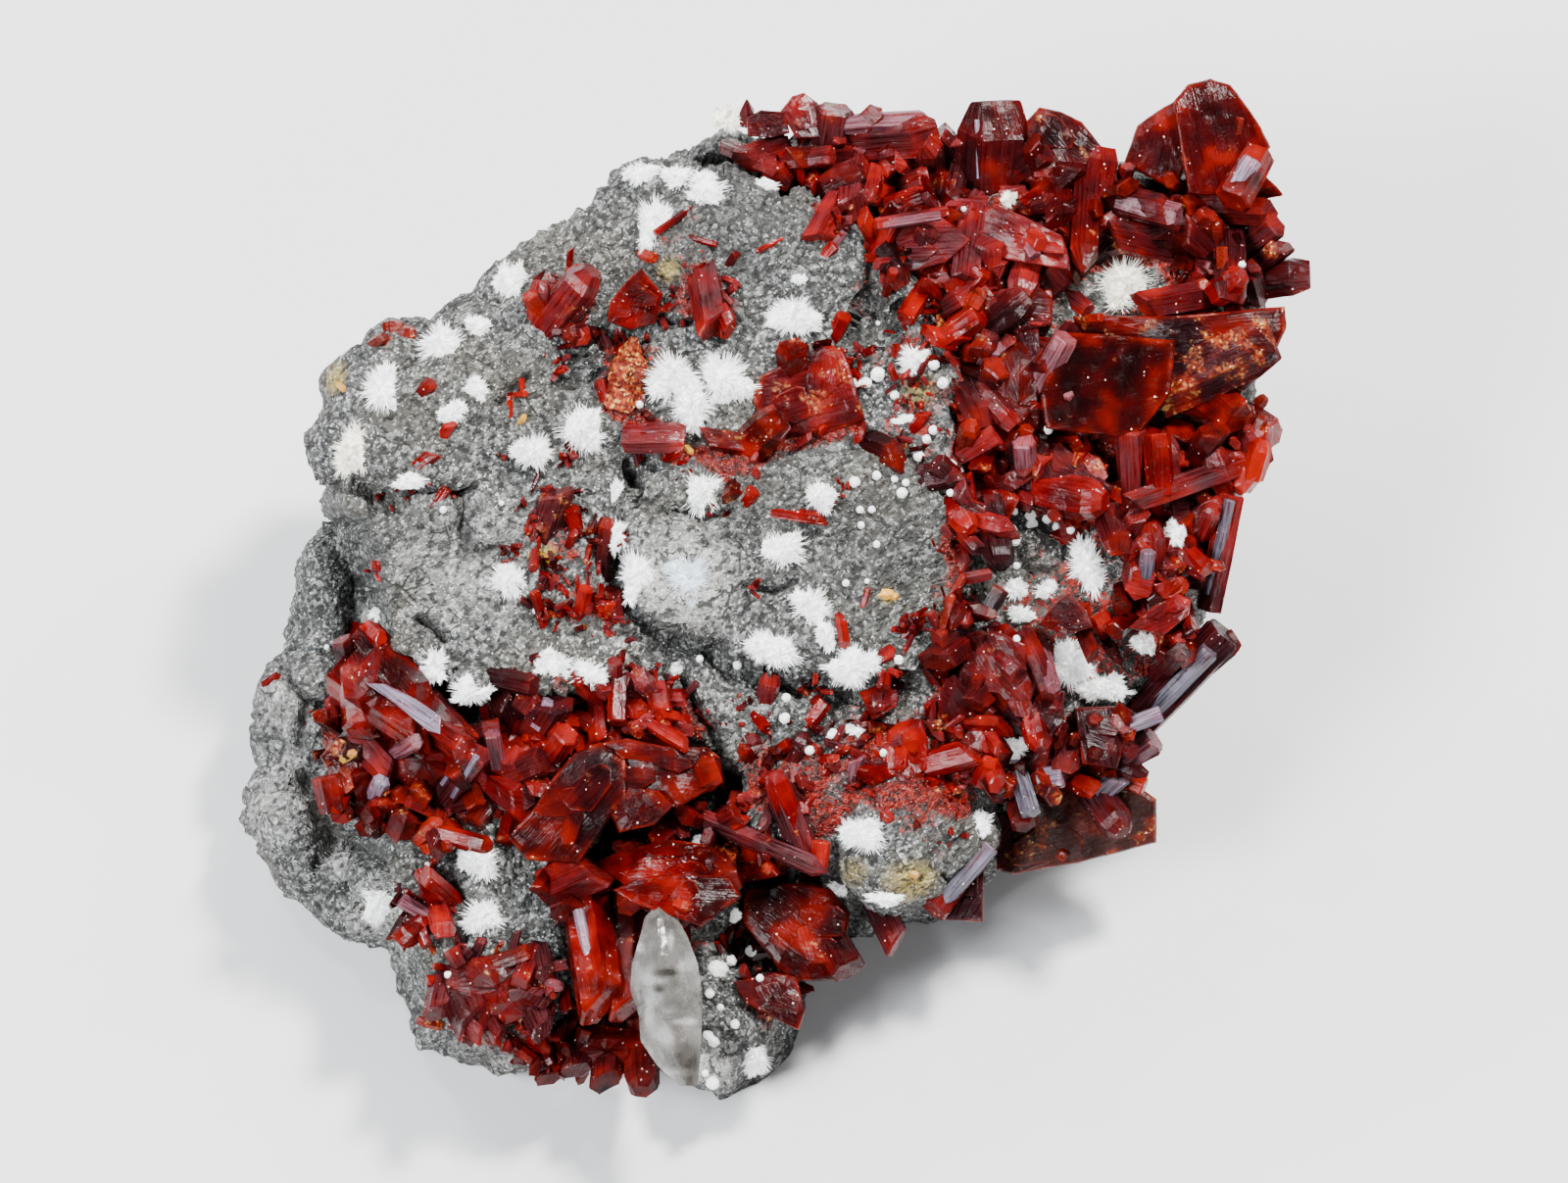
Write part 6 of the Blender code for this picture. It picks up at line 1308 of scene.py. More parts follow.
# small clumps of wet-looking red grains on the rock: centre, radius in pixels, how many, longest in mm
CLUMPS = [
    (441, 470, 20, 26, 1.3), (380, 374, 10, 8, 1.0), (407, 419, 9, 6, 1.0), (557, 368, 20, 22, 1.2),
    (515, 377, 14, 8, 0.8), (403, 503, 17, 16, 0.9), (455, 503, 9, 8, 1.0), (578, 460, 12, 10, 1.2),
    (512, 457, 10, 7, 0.9), (534, 430, 10, 8, 0.9), (520, 567, 12, 8, 1.1), (564, 583, 14, 18, 1.2),
    (595, 615, 14, 18, 1.5), (550, 620, 9, 10, 1.4), (624, 622, 14, 16, 1.5), (384, 584, 8, 7, 1.0),
    (560, 520, 24, 26, 1.0), (735, 508, 16, 16, 1.3), (932, 636, 14, 16, 1.3), (770, 600, 5, 4, 0.8),
    (345, 688, 9, 7, 0.9), (655, 700, 30, 24, 1.2), (395, 348, 24, 16, 1.4), (640, 545, 8, 5, 0.9),
    (762, 735, 22, 16, 1.1), (826, 700, 16, 12, 1.3), (735, 735, 12, 8, 1.0), (700, 480, 14, 10, 1.1),
    (855, 500, 12, 6, 0.7), (912, 690, 14, 12, 1.2), (850, 226, 16, 12, 1.2), (905, 262, 20, 16, 1.2),
    (930, 395, 22, 18, 1.0), (868, 366, 16, 12, 1.0), (800, 872, 16, 12, 1.2), (745, 965, 14, 12, 1.2),
    (540, 695, 24, 18, 1.2), (770, 1010, 12, 8, 1.0), (1140, 620, 22, 18, 1.4), (630, 640, 12, 10, 1.2),
    (880, 806, 26, 26, 1.1), (930, 818, 34, 44, 1.0), (968, 838, 26, 30, 0.9), (985, 800, 22, 22, 1.2),
    (1190, 314, 14, 14, 1.3), (1230, 310, 16, 18, 1.3), (1266, 305, 14, 14, 1.3), (350, 700, 14, 12, 1.1),
    (330, 740, 16, 12, 1.2), (640, 1040, 18, 14, 1.2), (478, 1015, 20, 14, 1.2), (900, 745, 30, 16, 1.2)]
forms = []
for seed, (x, y, radius, count, longest) in enumerate(CLUMPS, start=430):
    circle = [(x + radius * cos(turn * pi / 4.0), y + radius * sin(turn * pi / 4.0)) for turn in range(8)]
    forms += small_crystals(count, 0.4, longest, circle, seed, stout=(0.35, 0.7), stripes=1)
piece = crystal_piece("clumps_of_grains", forms, CLEAN, REALGAR["red"], 470)
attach(piece, "root")

# The single realgar crystals
# Crystals that stand out in the photograph one by one: short prisms, slivers, glossy drops and rusty grains
# that grew on the rock or on the large crystals.
# Some pale slivers among them are painted highlights and reflections on the large crystals.
RIM_LEVEL = -6.0                  # level in mm of what grows just past the rock's edge
TIP_FALL = 0.8                    # how far below its tail's ground a crystal's tip may reach down, in mm


def sight_tree(items):
    """A search tree of the faces of several objects, for finding where a line of sight lands."""
    points = []
    faces = []
    for item in items:
        start = len(points)
        points += [tuple(vertex.co) for vertex in item.data.vertices]
        faces += [[corner + start for corner in face.vertices] for face in item.data.polygons]
    return BVHTree.FromPolygons(points, faces)


def landing(tree, px, py):
    """Where the photograph's line of sight through a pixel first meets a tree's faces, and their normal."""
    eye = FACE_CENTRE + EYE_DISTANCE * OUT
    aim = face_point(np.array(float(px)), np.array(float(py)), np.array(0.0)) - eye
    place, normal, _, _ = tree.ray_cast(Vector(eye * MM), Vector(aim).normalized())
    if place is None:
        return face_point(px, py, RIM_LEVEL), OUT
    return np.array(place) / MM, np.array(normal)


def grown_on(*more):
    """A search tree of the rock, of all that stands for a solid, and of pieces whose names start so."""
    return sight_tree([rock] + [item for item in bpy.data.objects
                                if item.name.endswith("_look") or item.name.startswith(more)])


def surface_level(tree, px, py):
    """The level over the face plane of what the line of sight through a pixel meets first."""
    place, _ = landing(tree, px, py)
    return (place - FACE_CENTRE) @ OUT + FACE_SLOPE * (PHOTO_CENTRE[1] - py) * PIXEL


# how a single crystal looks: material name and skin
LOOKS = {
    "bright": ("red", (0.95, 0.0, 0.0)), "red": ("red", (0.6, 0.2, 0.0)), "gold": ("gold", (0.8, 0.0, 0.0)),
    "dark": ("maroon", (0.5, 0.2, 0.0)), "mauve": ("mauve", (0.5, 0.9, 0.0)),
    "orange": ("rusty", (0.9, 0.0, 0.18)), "blue": ("bluish", (0.4, 1.0, 0.0)),
    "slate": ("slate", (0.4, 0.9, 0.0)),
}
# look: tail x, y and tip x, y in pixels, how far the tip stands up, width and thickness in mm, its end
SINGLE_CRYSTALS = {
    "gold": [
        (897, 607, 912, 606, 0.3, 0.9, 0.7, "round"), (903, 604, 916, 610, 0.3, 0.6, 0.5, "flat"),
        (540, 567, 552, 570, 0.4, 0.6, 0.5, "round"), (550, 566, 563, 572, 0.4, 0.6, 0.5, "flat"),
        (530, 432, 536, 424, 0.4, 0.5, 0.5, "round"), (1098, 580, 1106, 586, 0.6, 0.6, 0.5, "round"),
        (345, 392, 352, 398, 0.2, 0.5, 0.4, "round"), (928, 890, 936, 894, 0.3, 0.6, 0.5, "flat"),
        (350, 775, 362, 768, 0.5, 0.7, 0.6, "round"), (700, 455, 706, 462, 0.3, 0.5, 0.4, "round")],
    "bright": [
        (1060, 500, 1128, 512, 1.0, 3.0, 2.2, "round"), (1278, 488, 1289, 448, 0.6, 1.7, 1.5, "round"),
        (1055, 735, 1062, 765, 0.9, 2.0, 1.8, "round"), (965, 515, 992, 540, 0.7, 1.8, 1.4, "round"),
        (448, 850, 502, 864, 1.1, 1.3, 1.1, "round"), (465, 920, 430, 890, 1.0, 1.5, 1.3, "slant"),
        (712, 208, 668, 238, 0.9, 0.55, 0.5, "flat"), (703, 242, 732, 250, 0.5, 0.45, 0.4, "flat"),
        (800, 243, 771, 257, 0.5, 0.40, 0.4, "flat"), (520, 428, 520, 404, 0.4, 0.50, 0.4, "flat"),
        (518, 403, 537, 402, 0.5, 0.45, 0.4, "flat"), (533, 403, 532, 386, 0.5, 0.45, 0.4, "flat"),
        (428, 402, 441, 391, 0.5, 1.10, 0.9, "flat"), (452, 446, 461, 430, 0.6, 0.90, 0.8, "slant"),
        (424, 476, 446, 460, 0.5, 1.10, 0.9, "slant"), (442, 518, 456, 498, 0.5, 0.80, 0.7, "flat"),
        (857, 628, 862, 658, 0.9, 0.9, 0.8, "flat"), (920, 650, 938, 630, 0.7, 1.4, 1.1, "slant"),
        (786, 522, 845, 530, 0.8, 1.0, 0.9, "slant"), (758, 515, 770, 500, 0.6, 1.1, 0.9, "flat"),
        (588, 545, 583, 518, 0.8, 1.2, 1.0, "flat"), (590, 632, 598, 600, 0.8, 1.2, 1.0, "flat"),
        (612, 628, 624, 610, 0.8, 1.2, 1.0, "slant"), (556, 640, 545, 603, 0.6, 0.8, 0.7, "flat"),
        (700, 735, 668, 728, 0.6, 1.1, 0.9, "slant"), (664, 738, 704, 762, 0.9, 1.2, 1.0, "slant"),
        (945, 780, 1000, 765, 0.9, 2.0, 1.7, "slant"), (1000, 800, 1012, 772, 0.8, 1.4, 1.2, "chisel"),
        (905, 212, 950, 196, 0.8, 1.6, 1.4, "chisel"), (1240, 300, 1268, 280, 0.8, 2.2, 1.8, "round"),
        (1215, 565, 1232, 582, 0.6, 1.4, 1.2, "flat"), (1050, 238, 1062, 250, 0.5, 1.2, 1.0, "flat"),
        (812, 842, 788, 788, 0.9, 1.8, 1.5, "chisel"), (835, 888, 838, 858, 0.8, 1.3, 1.2, "flat"),
        (770, 728, 782, 744, 0.5, 0.9, 0.8, "flat"), (822, 742, 842, 716, 0.7, 1.2, 1.0, "flat"),
        (788, 770, 806, 758, 0.6, 1.0, 0.9, "flat"), (748, 845, 762, 830, 0.6, 1.0, 0.9, "slant"),
        (840, 262, 852, 250, 0.5, 0.9, 0.8, "flat"), (736, 312, 746, 338, 0.7, 1.1, 0.9, "slant"),
        (618, 410, 612, 388, 0.6, 0.8, 0.7, "flat"), (270, 700, 284, 690, 0.4, 0.8, 0.7, "flat"),
        (850, 345, 862, 322, 0.7, 1.2, 1.0, "flat"), (905, 300, 912, 276, 0.6, 0.8, 0.7, "flat"),
        (930, 440, 946, 418, 0.6, 1.0, 0.9, "slant"), (375, 640, 392, 656, 0.6, 1.3, 1.1, "slant")],
    "red": [
        (1000, 395, 1035, 435, 0.6, 1.6, 1.4, "chisel"), (985, 295, 1003, 275, 0.7, 1.6, 1.5, "flat"),
        (965, 345, 1000, 320, 0.7, 2.0, 1.8, "flat"), (955, 320, 985, 300, 0.7, 1.8, 1.6, "flat"),
        (1185, 505, 1180, 442, 0.7, 2.0, 1.8, "flat"), (1225, 545, 1238, 516, 0.6, 1.6, 1.4, "round"),
        (800, 165, 850, 158, 0.6, 1.4, 1.4, "flat"), (742, 150, 790, 170, 0.7, 1.5, 1.4, "slant"),
        (762, 128, 762, 101, 0.5, 1.1, 1.1, "point"), (1120, 200, 1128, 150, 0.6, 2.2, 1.8, "chisel"),
        (365, 750, 410, 798, 0.6, 2.4, 2.0, "slant"), (440, 740, 475, 765, 0.6, 2.0, 1.8, "flat"),
        (560, 775, 578, 748, 0.8, 2.0, 1.8, "flat"), (505, 800, 540, 825, 0.6, 2.4, 2.0, "slant"),
        (632, 692, 630, 738, 0.9, 1.5, 1.3, "flat"), (670, 700, 675, 730, 0.9, 1.8, 1.6, "flat"),
        (425, 940, 436, 966, 0.7, 1.0, 0.9, "flat"), (545, 968, 530, 1003, 0.8, 1.4, 1.3, "flat"),
        (470, 985, 460, 968, 0.6, 1.2, 1.0, "flat"), (900, 690, 905, 662, 0.8, 1.3, 1.1, "slant"),
        (780, 718, 788, 688, 0.9, 1.5, 1.3, "chisel"), (808, 778, 822, 748, 0.8, 1.4, 1.2, "round"),
        (1150, 545, 1164, 520, 0.7, 1.6, 1.4, "slant"), (1090, 300, 1110, 318, 0.5, 1.4, 1.2, "flat"),
        (978, 560, 988, 590, 0.8, 1.6, 1.4, "slant"), (990, 610, 982, 636, 0.8, 1.5, 1.3, "chisel"),
        (1020, 670, 1040, 690, 0.6, 1.5, 1.3, "flat"), (880, 620, 886, 600, 0.4, 0.5, 0.5, "flat"),
        (500, 1040, 512, 1064, 0.7, 1.3, 1.1, "slant"), (478, 1046, 496, 1062, 0.7, 1.4, 1.2, "slant")],
    "dark": [
        (1005, 335, 1050, 302, 0.7, 2.6, 2.2, "chisel"), (880, 450, 925, 470, 0.9, 2.2, 1.8, "slant"),
        (1128, 520, 1145, 566, 0.7, 2.4, 2.0, "chisel"), (1110, 620, 1068, 648, 0.8, 2.4, 2.0, "slant"),
        (1180, 690, 1205, 665, 0.6, 1.6, 1.4, "flat"), (1215, 470, 1245, 432, 0.7, 2.0, 1.8, "slant"),
        (340, 828, 332, 792, 0.6, 2.0, 1.8, "flat"), (422, 935, 404, 966, 0.6, 1.8, 1.5, "slant"),
        (520, 790, 555, 775, 0.7, 2.2, 1.8, "flat"), (500, 690, 545, 700, 0.9, 1.6, 1.4, "flat"),
        (845, 195, 880, 175, 0.7, 2.6, 2.2, "round"), (930, 490, 990, 480, 0.8, 2.0, 1.6, "slant"),
        (610, 345, 578, 339, 0.8, 1.7, 1.4, "round"), (1035, 470, 1030, 440, 0.5, 1.4, 1.2, "slant"),
        (590, 1072, 598, 1050, 0.7, 1.2, 1.0, "flat"), (475, 800, 462, 784, 0.6, 1.5, 1.3, "flat"),
        (1010, 620, 1022, 600, 0.6, 1.4, 1.2, "flat"), (1160, 745, 1140, 730, 0.6, 2.0, 1.8, "slant")],
    "mauve": [
        (862, 127, 956, 122, 0.5, 1.6, 1.4, "slant"), (1060, 395, 1088, 344, 0.6, 2.0, 1.6, "flat"),
        (1142, 204, 1203, 221, 0.5, 1.8, 1.5, "flat"), (1048, 495, 1044, 449, 0.5, 1.8, 1.6, "flat"),
        (1105, 445, 1090, 402, 0.1, 0.8, 0.6, "flat"), (508, 782, 502, 748, 0.8, 1.3, 1.2, "flat"),
        (435, 935, 409, 918, 0.8, 1.2, 1.1, "flat"), (868, 797, 876, 768, 0.7, 1.3, 1.1, "slant"),
        (1150, 776, 1178, 754, 0.6, 1.9, 1.6, "flat"), (555, 1003, 575, 1007, 0.7, 0.9, 0.8, "round"),
        (1000, 372, 1018, 350, 0.5, 1.6, 1.3, "slant"), (895, 230, 960, 220, 0.4, 0.7, 0.6, "flat"),
        (1062, 655, 1075, 702, 0.4, 1.1, 0.9, "flat"), (400, 770, 425, 756, 0.6, 1.2, 1.0, "flat"),
        (1046, 240, 1056, 262, 0.3, 1.0, 0.8, "flat"), (850, 252, 862, 236, 0.4, 0.6, 0.5, "flat")],
    "orange": [
        (985, 455, 992, 431, 0.7, 1.6, 1.5, "round"), (1000, 300, 990, 318, 0.7, 1.4, 1.3, "flat"),
        (1040, 450, 1048, 435, 0.6, 1.2, 1.1, "flat"), (1283, 414, 1292, 404, 0.5, 1.1, 1.0, "round"),
        (1282, 440, 1290, 423, 0.5, 1.0, 1.0, "round"), (1195, 605, 1210, 592, 0.7, 1.5, 1.3, "round"),
        (1140, 790, 1168, 803, 0.6, 1.4, 1.2, "flat"), (1120, 795, 1140, 790, 0.5, 0.8, 0.8, "flat"),
        (505, 985, 540, 972, 0.7, 1.4, 1.2, "flat"), (1247, 275, 1247, 252, 0.5, 0.8, 0.8, "flat"),
        (962, 640, 972, 606, 0.6, 0.7, 0.7, "round"), (972, 606, 984, 586, 0.6, 0.7, 0.7, "round"),
        (1108, 326, 1124, 324, 0.2, 0.7, 0.6, "flat"), (425, 858, 448, 838, 0.6, 1.3, 1.1, "round"),
        (432, 866, 462, 860, 0.5, 1.2, 1.0, "round"), (552, 318, 540, 300, 0.7, 1.3, 1.1, "flat"),
        (655, 258, 668, 264, 0.5, 1.0, 0.8, "round"), (1263, 138, 1266, 120, 0.1, 0.6, 0.5, "flat"),
        (395, 338, 412, 334, 0.6, 1.6, 1.4, "round"), (408, 342, 424, 340, 0.5, 1.4, 1.2, "round"),
        (380, 352, 394, 344, 0.5, 1.0, 0.9, "round"), (688, 920, 704, 926, 0.2, 1.0, 0.8, "round"),
        (1083, 876, 1086, 868, 0.2, 1.0, 0.8, "round"), (774, 900, 784, 886, 0.4, 1.0, 0.8, "round")],
    # slate: some are painted reflections along the faces and edges of large crystals, the rest bluish-grey
    # crystals
    "slate": [
        (1234, 606, 1255, 510, 0.2, 0.8, 0.6, "flat"), (1170, 730, 1235, 664, 0.3, 1.5, 1.2, "flat"),
        (1168, 590, 1172, 562, 0.6, 1.1, 0.9, "flat"), (955, 925, 1010, 862, 0.3, 1.5, 1.0, "flat"),
        (1040, 790, 1052, 830, 0.5, 1.6, 1.3, "flat"), (1120, 812, 1146, 790, 0.5, 1.6, 1.3, "slant")],
    # blue: thin pale slivers, mostly painted highlights along the faces and edges of large crystals
    "blue": [
        (1060, 795, 1085, 792, 0.7, 1.6, 1.3, "flat"), (1152, 740, 1185, 728, 0.5, 1.3, 1.1, "flat"),
        (999, 182, 997, 122, 0.2, 0.4, 0.3, "flat"), (1256, 198, 1278, 163, 0.1, 1.5, 1.0, "flat"),
        (462, 812, 486, 772, 0.3, 0.6, 0.5, "flat"), (452, 800, 482, 762, 0.2, 0.6, 0.5, "flat"),
        (600, 975, 590, 928, 0.1, 0.8, 0.6, "flat"), (548, 742, 562, 716, 0.2, 1.3, 0.9, "flat"),
        (382, 812, 390, 796, 0.4, 1.3, 0.9, "flat")],
}


def standing(tree, tail_x, tail_y, tip_x, tip_y, rise, width, thickness, end):
    """A prism whose tail is sunk in what it grows on and whose tip stands up from it."""
    ground = surface_level(tree, tail_x, tail_y)
    tail = (tail_x, tail_y, ground - 0.5 * thickness)
    tip = (tip_x, tip_y, max(surface_level(tree, tip_x, tip_y), ground - TIP_FALL) + rise)
    return prism(tail, tip, width, thickness, (tail_x * 7 + tip_y * 3) % 60 - 30, end)


# thin pale sheets that lie on faces of large crystals as painted highlights: outline in pixels, level,
# thickness, lean
PAINTED_HIGHLIGHT_FACES = {"blue": [
    plate([(371, 696), (394, 698), (424, 713), (450, 731), (449, 749), (437, 746), (402, 717)], 2.45, 0.6,
          (34, -25), None, -1),
]}
crystal_tree = grown_on("stout_blocks")
for seed, (look, crystals) in enumerate(SINGLE_CRYSTALS.items(), start=480):
    finish, skin = LOOKS[look]
    forms = [standing(crystal_tree, *row) for row in crystals] + PAINTED_HIGHLIGHT_FACES.get(look, [])
    piece = crystal_piece("single_crystals_" + look, forms, skin, REALGAR[finish], seed)
    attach(piece, "root")

# The calcite
# One blunt crystal, milky and partly clear, with stepped and dissolved faces, leaning on the lower edge.
CALCITE_ROWS = [(924, 669, 675), (936, 657, 692), (958, 651, 704), (984, 643, 714), (1010, 641, 718),
                (1036, 650, 718), (1062, 652, 717), (1088, 670, 715), (1108, 694, 712)]
CALCITE_LEVEL = 0.9
CALCITE_THICKNESS = 3.4
CALCITE_PIECES = 8                # pieces that each side of its section is cut into
CALCITE_SECTION = np.array([(-1.0, -0.1), (-0.22, 1.0), (0.24, 0.82), (1.0, 0.05), (0.4, -1.0), (-0.5, -1.0)])
CALCITE_TONES = [(0.30, (0.09, 0.085, 0.075)), (0.43, (0.29, 0.275, 0.25)), (0.56, (0.43, 0.42, 0.395)),
                 (0.72, (0.97, 0.97, 0.96))]
# milky and dark spots in it: centre and radii in pixels, how much lighter or darker
CALCITE_SPOTS = [
    (653, 967, 4, 5, 0.9), (684, 960, 3, 9, 0.8), (662, 1034, 4, 14, 0.7), (700, 1042, 12, 3, 0.9),
    (678, 1058, 6, 7, 0.7), (696, 988, 6, 10, 0.5), (660, 990, 10, 16, 0.35), (672, 1009, 6, 4, -1.0),
    (682, 992, 12, 2, -0.7), (674, 1000, 10, 2, 0.6), (690, 1024, 16, 8, -0.4), (700, 1075, 14, 14, -0.3),
    (680, 940, 14, 12, -0.25), (664, 1078, 3, 10, 0.6), (690, 1094, 14, 4, 0.5)]


def calcite_body():
    """Six-sided sections between the rows, their edges a little rounded and their faces gently hollowed."""
    rows = np.array(CALCITE_ROWS, float)
    heights = np.linspace(rows[0, 0], rows[-1, 0], 70)
    left = np.interp(heights, rows[:, 0], rows[:, 1])
    right = np.interp(heights, rows[:, 0], rows[:, 2])
    share = (heights - heights[0]) / (heights[-1] - heights[0])
    half = (right - left) / 2.0
    deep = CALCITE_THICKNESS / 2.0 * np.minimum(1.0, half * PIXEL / 2.2)
    deep *= 1.0 - 0.22 * smooth((heights - 1034.0) / 8.0)
    section = split_sides(CALCITE_SECTION, CALCITE_PIECES)
    along_side = np.tile(np.arange(CALCITE_PIECES) / CALCITE_PIECES, len(CALCITE_SECTION))
    rounded = section * (1.0 - 0.05 * np.abs(np.cos(pi * along_side)) ** 6)[:, None]
    px = ((left + right) / 2.0)[:, None] + half[:, None] * rounded[:, 0]
    level = (CALCITE_LEVEL - 1.2 * share)[:, None] + deep[:, None] * rounded[:, 1]
    rings = face_point(px, heights[:, None] + 0.0 * px, level)
    points = rings.reshape(-1, 3)
    wobble = 0.1 * lattice_noise(points, 1.6, 71) + 0.05 * lattice_noise(points, 0.7, 72)
    rings = rings + (wobble.reshape(rings.shape[:2]) * np.sin(pi * share)[:, None] ** 0.3)[..., None] * OUT
    milk = np.zeros(px.shape)
    for x, y, wide, tall, strength in CALCITE_SPOTS:
        milk += strength * np.exp(-((px - x) / wide) ** 2 - ((heights[:, None] - y) / tall) ** 2)
    painted = np.clip(0.5 + 0.5 * milk, 0.0, 1.0)[::-1, :, None] + np.zeros(4)
    return tube(rings[::-1], (heights - heights[0]) * PIXEL, painted.reshape(-1, 4))


def calcite_material():
    """Partly clear, clouded white and grey where the painted spots and the noise are high."""
    material, tree, shader = new_material("milky_calcite", Transmission_Weight=0.78, IOR=1.55)
    place = node(tree, "ShaderNodeTexCoord").outputs["Object"]
    clouds = noise(tree, place, 420.0, 5.0)
    veils = noise(tree, place, 1500.0, 4.0)
    milk = node(tree, "ShaderNodeAttribute", attribute_name="skin").outputs["Fac"]
    tone = maths(tree, "ADD", clouds, maths(tree, "MULTIPLY_ADD", milk, 0.9, -0.45), clamp=True)
    colour = ramp(tree, tone, *CALCITE_TONES)
    roughness = maths(tree, "MULTIPLY_ADD", veils, 0.40, 0.04)
    bump = node(tree, "ShaderNodeBump", {"Strength": 0.4, "Distance": 0.0002, "Height": veils})
    link(tree, shader, Base_Color=colour, Roughness=roughness, Normal=bump.outputs[0])
    return material


calcite_shape = calcite_body()
calcite_mesh = joined_mesh("calcite_look", [calcite_shape])
paint(calcite_mesh, "skin", calcite_shape["skin"])
calcite = add_object(calcite_mesh, calcite_material())
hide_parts("calcite_crystal")
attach(calcite, "root")

# The needle sprays
# Half balls of fine white needles that radiate from one spot, silky, some grown into each other.
# name: (finish, parts of centre pixel, half sizes in pixels and height in mm)
SPRAYS = {
    "spray_top": ("white", [(690, 181, 30, 18, 1.1), (722, 194, 26, 20, 1.2)]),
    "spray_top_fan": ("white", [(668, 226, 23, 34, 1.5)]),
    "spray_upper_left": ("white", [(523, 291, 20, 31, 1.3)]),
    "spray_west_edge": ("white", [(452, 352, 32, 32, 1.5)]),
    "spray_left_fan": ("white", [(390, 400, 25, 31, 1.4)]),
    "spray_left_cream": ("cream", [(360, 458, 23, 31, 1.6)]),
    "spray_centre_left": ("white", [(546, 462, 26, 24, 1.8)]),
    "spray_grey": ("white", [(592, 438, 29, 30, 1.7)]),
    "spray_high": ("white", [(810, 322, 34, 27, 1.7)]),
    "spray_triple": ("white", [(688, 384, 32, 31, 2.0), (738, 387, 34, 31, 2.0), (706, 414, 30, 30, 2.2)]),
    "spray_block_left": ("white", [(716, 501, 28, 29, 1.9)]),
    "spray_block_middle": ("white", [(800, 560, 31, 28, 1.9)]),
    "spray_block_right": ("white", [(826, 618, 25, 25, 1.7)]),
    "spray_block_low": ("white", [(795, 665, 31, 29, 1.8)]),
    "spray_block_corner": ("white", [(872, 684, 29, 28, 1.8)]),
    "spray_right_large": ("white", [(1110, 577, 25, 31, 2.2)]),
    "spray_lower_large": ("white", [(1090, 680, 28, 30, 2.2), (1126, 702, 32, 20, 1.9)]),
    "spray_cream_large": ("cream", [(1147, 288, 37, 34, 3.0)]),
}
SMALL_SPRAYS = {
    "white": [
        (655, 179, 25, 17, 1.1), (782, 192, 17, 12, 0.8), (489, 336, 17, 16, 1.0), (487, 398, 17, 14, 0.9),
        (462, 420, 17, 15, 0.9), (420, 490, 20, 10, 0.7), (813, 284, 10, 8, 0.6), (835, 505, 20, 22, 1.4),
        (632, 545, 13, 22, 1.1), (650, 587, 24, 32, 1.5), (517, 593, 22, 23, 1.5), (845, 648, 13, 20, 1.1),
        (1036, 602, 15, 15, 1.3), (1067, 605, 16, 14, 1.3), (1042, 628, 17, 12, 1.2),
        (1165, 655, 20, 15, 1.2), (1033, 763, 18, 17, 1.4), (932, 366, 22, 17, 1.2),
        (443, 678, 17, 24, 1.3), (480, 705, 24, 17, 1.2), (567, 680, 22, 20, 1.3), (600, 688, 24, 18, 1.3),
        (690, 682, 20, 12, 1.0), (488, 878, 25, 25, 1.6), (495, 935, 29, 24, 1.6), (388, 915, 22, 34, 1.3),
        (885, 852, 28, 26, 1.6), (1000, 838, 17, 18, 1.2), (770, 1075, 22, 27, 1.6), (735, 990, 8, 12, 0.8),
        (748, 935, 8, 12, 0.8), (877, 745, 15, 10, 0.8), (925, 428, 18, 6, 0.6), (1198, 548, 13, 20, 1.1),
        (1012, 352, 9, 9, 0.7), (1210, 655, 10, 10, 0.8), (385, 625, 12, 12, 0.7), (858, 906, 20, 12, 0.8),
        (905, 916, 26, 10, 0.8), (715, 860, 14, 9, 0.6), (630, 502, 8, 22, 0.8)],
    "cream": [
        (742, 120, 17, 20, 1.0), (1030, 204, 10, 11, 0.9), (1274, 240, 11, 13, 1.1)],
    "blue": [
        (703, 590, 30, 30, 0.6)],
}
NEEDLE_THICKNESS = 0.085
BUNDLE_NEEDLES = 16
GOLDEN_TURN = pi * (3.0 - 5.0 ** 0.5)
POLE_GAP = 0.06                   # angle between a ball's pole and its last row


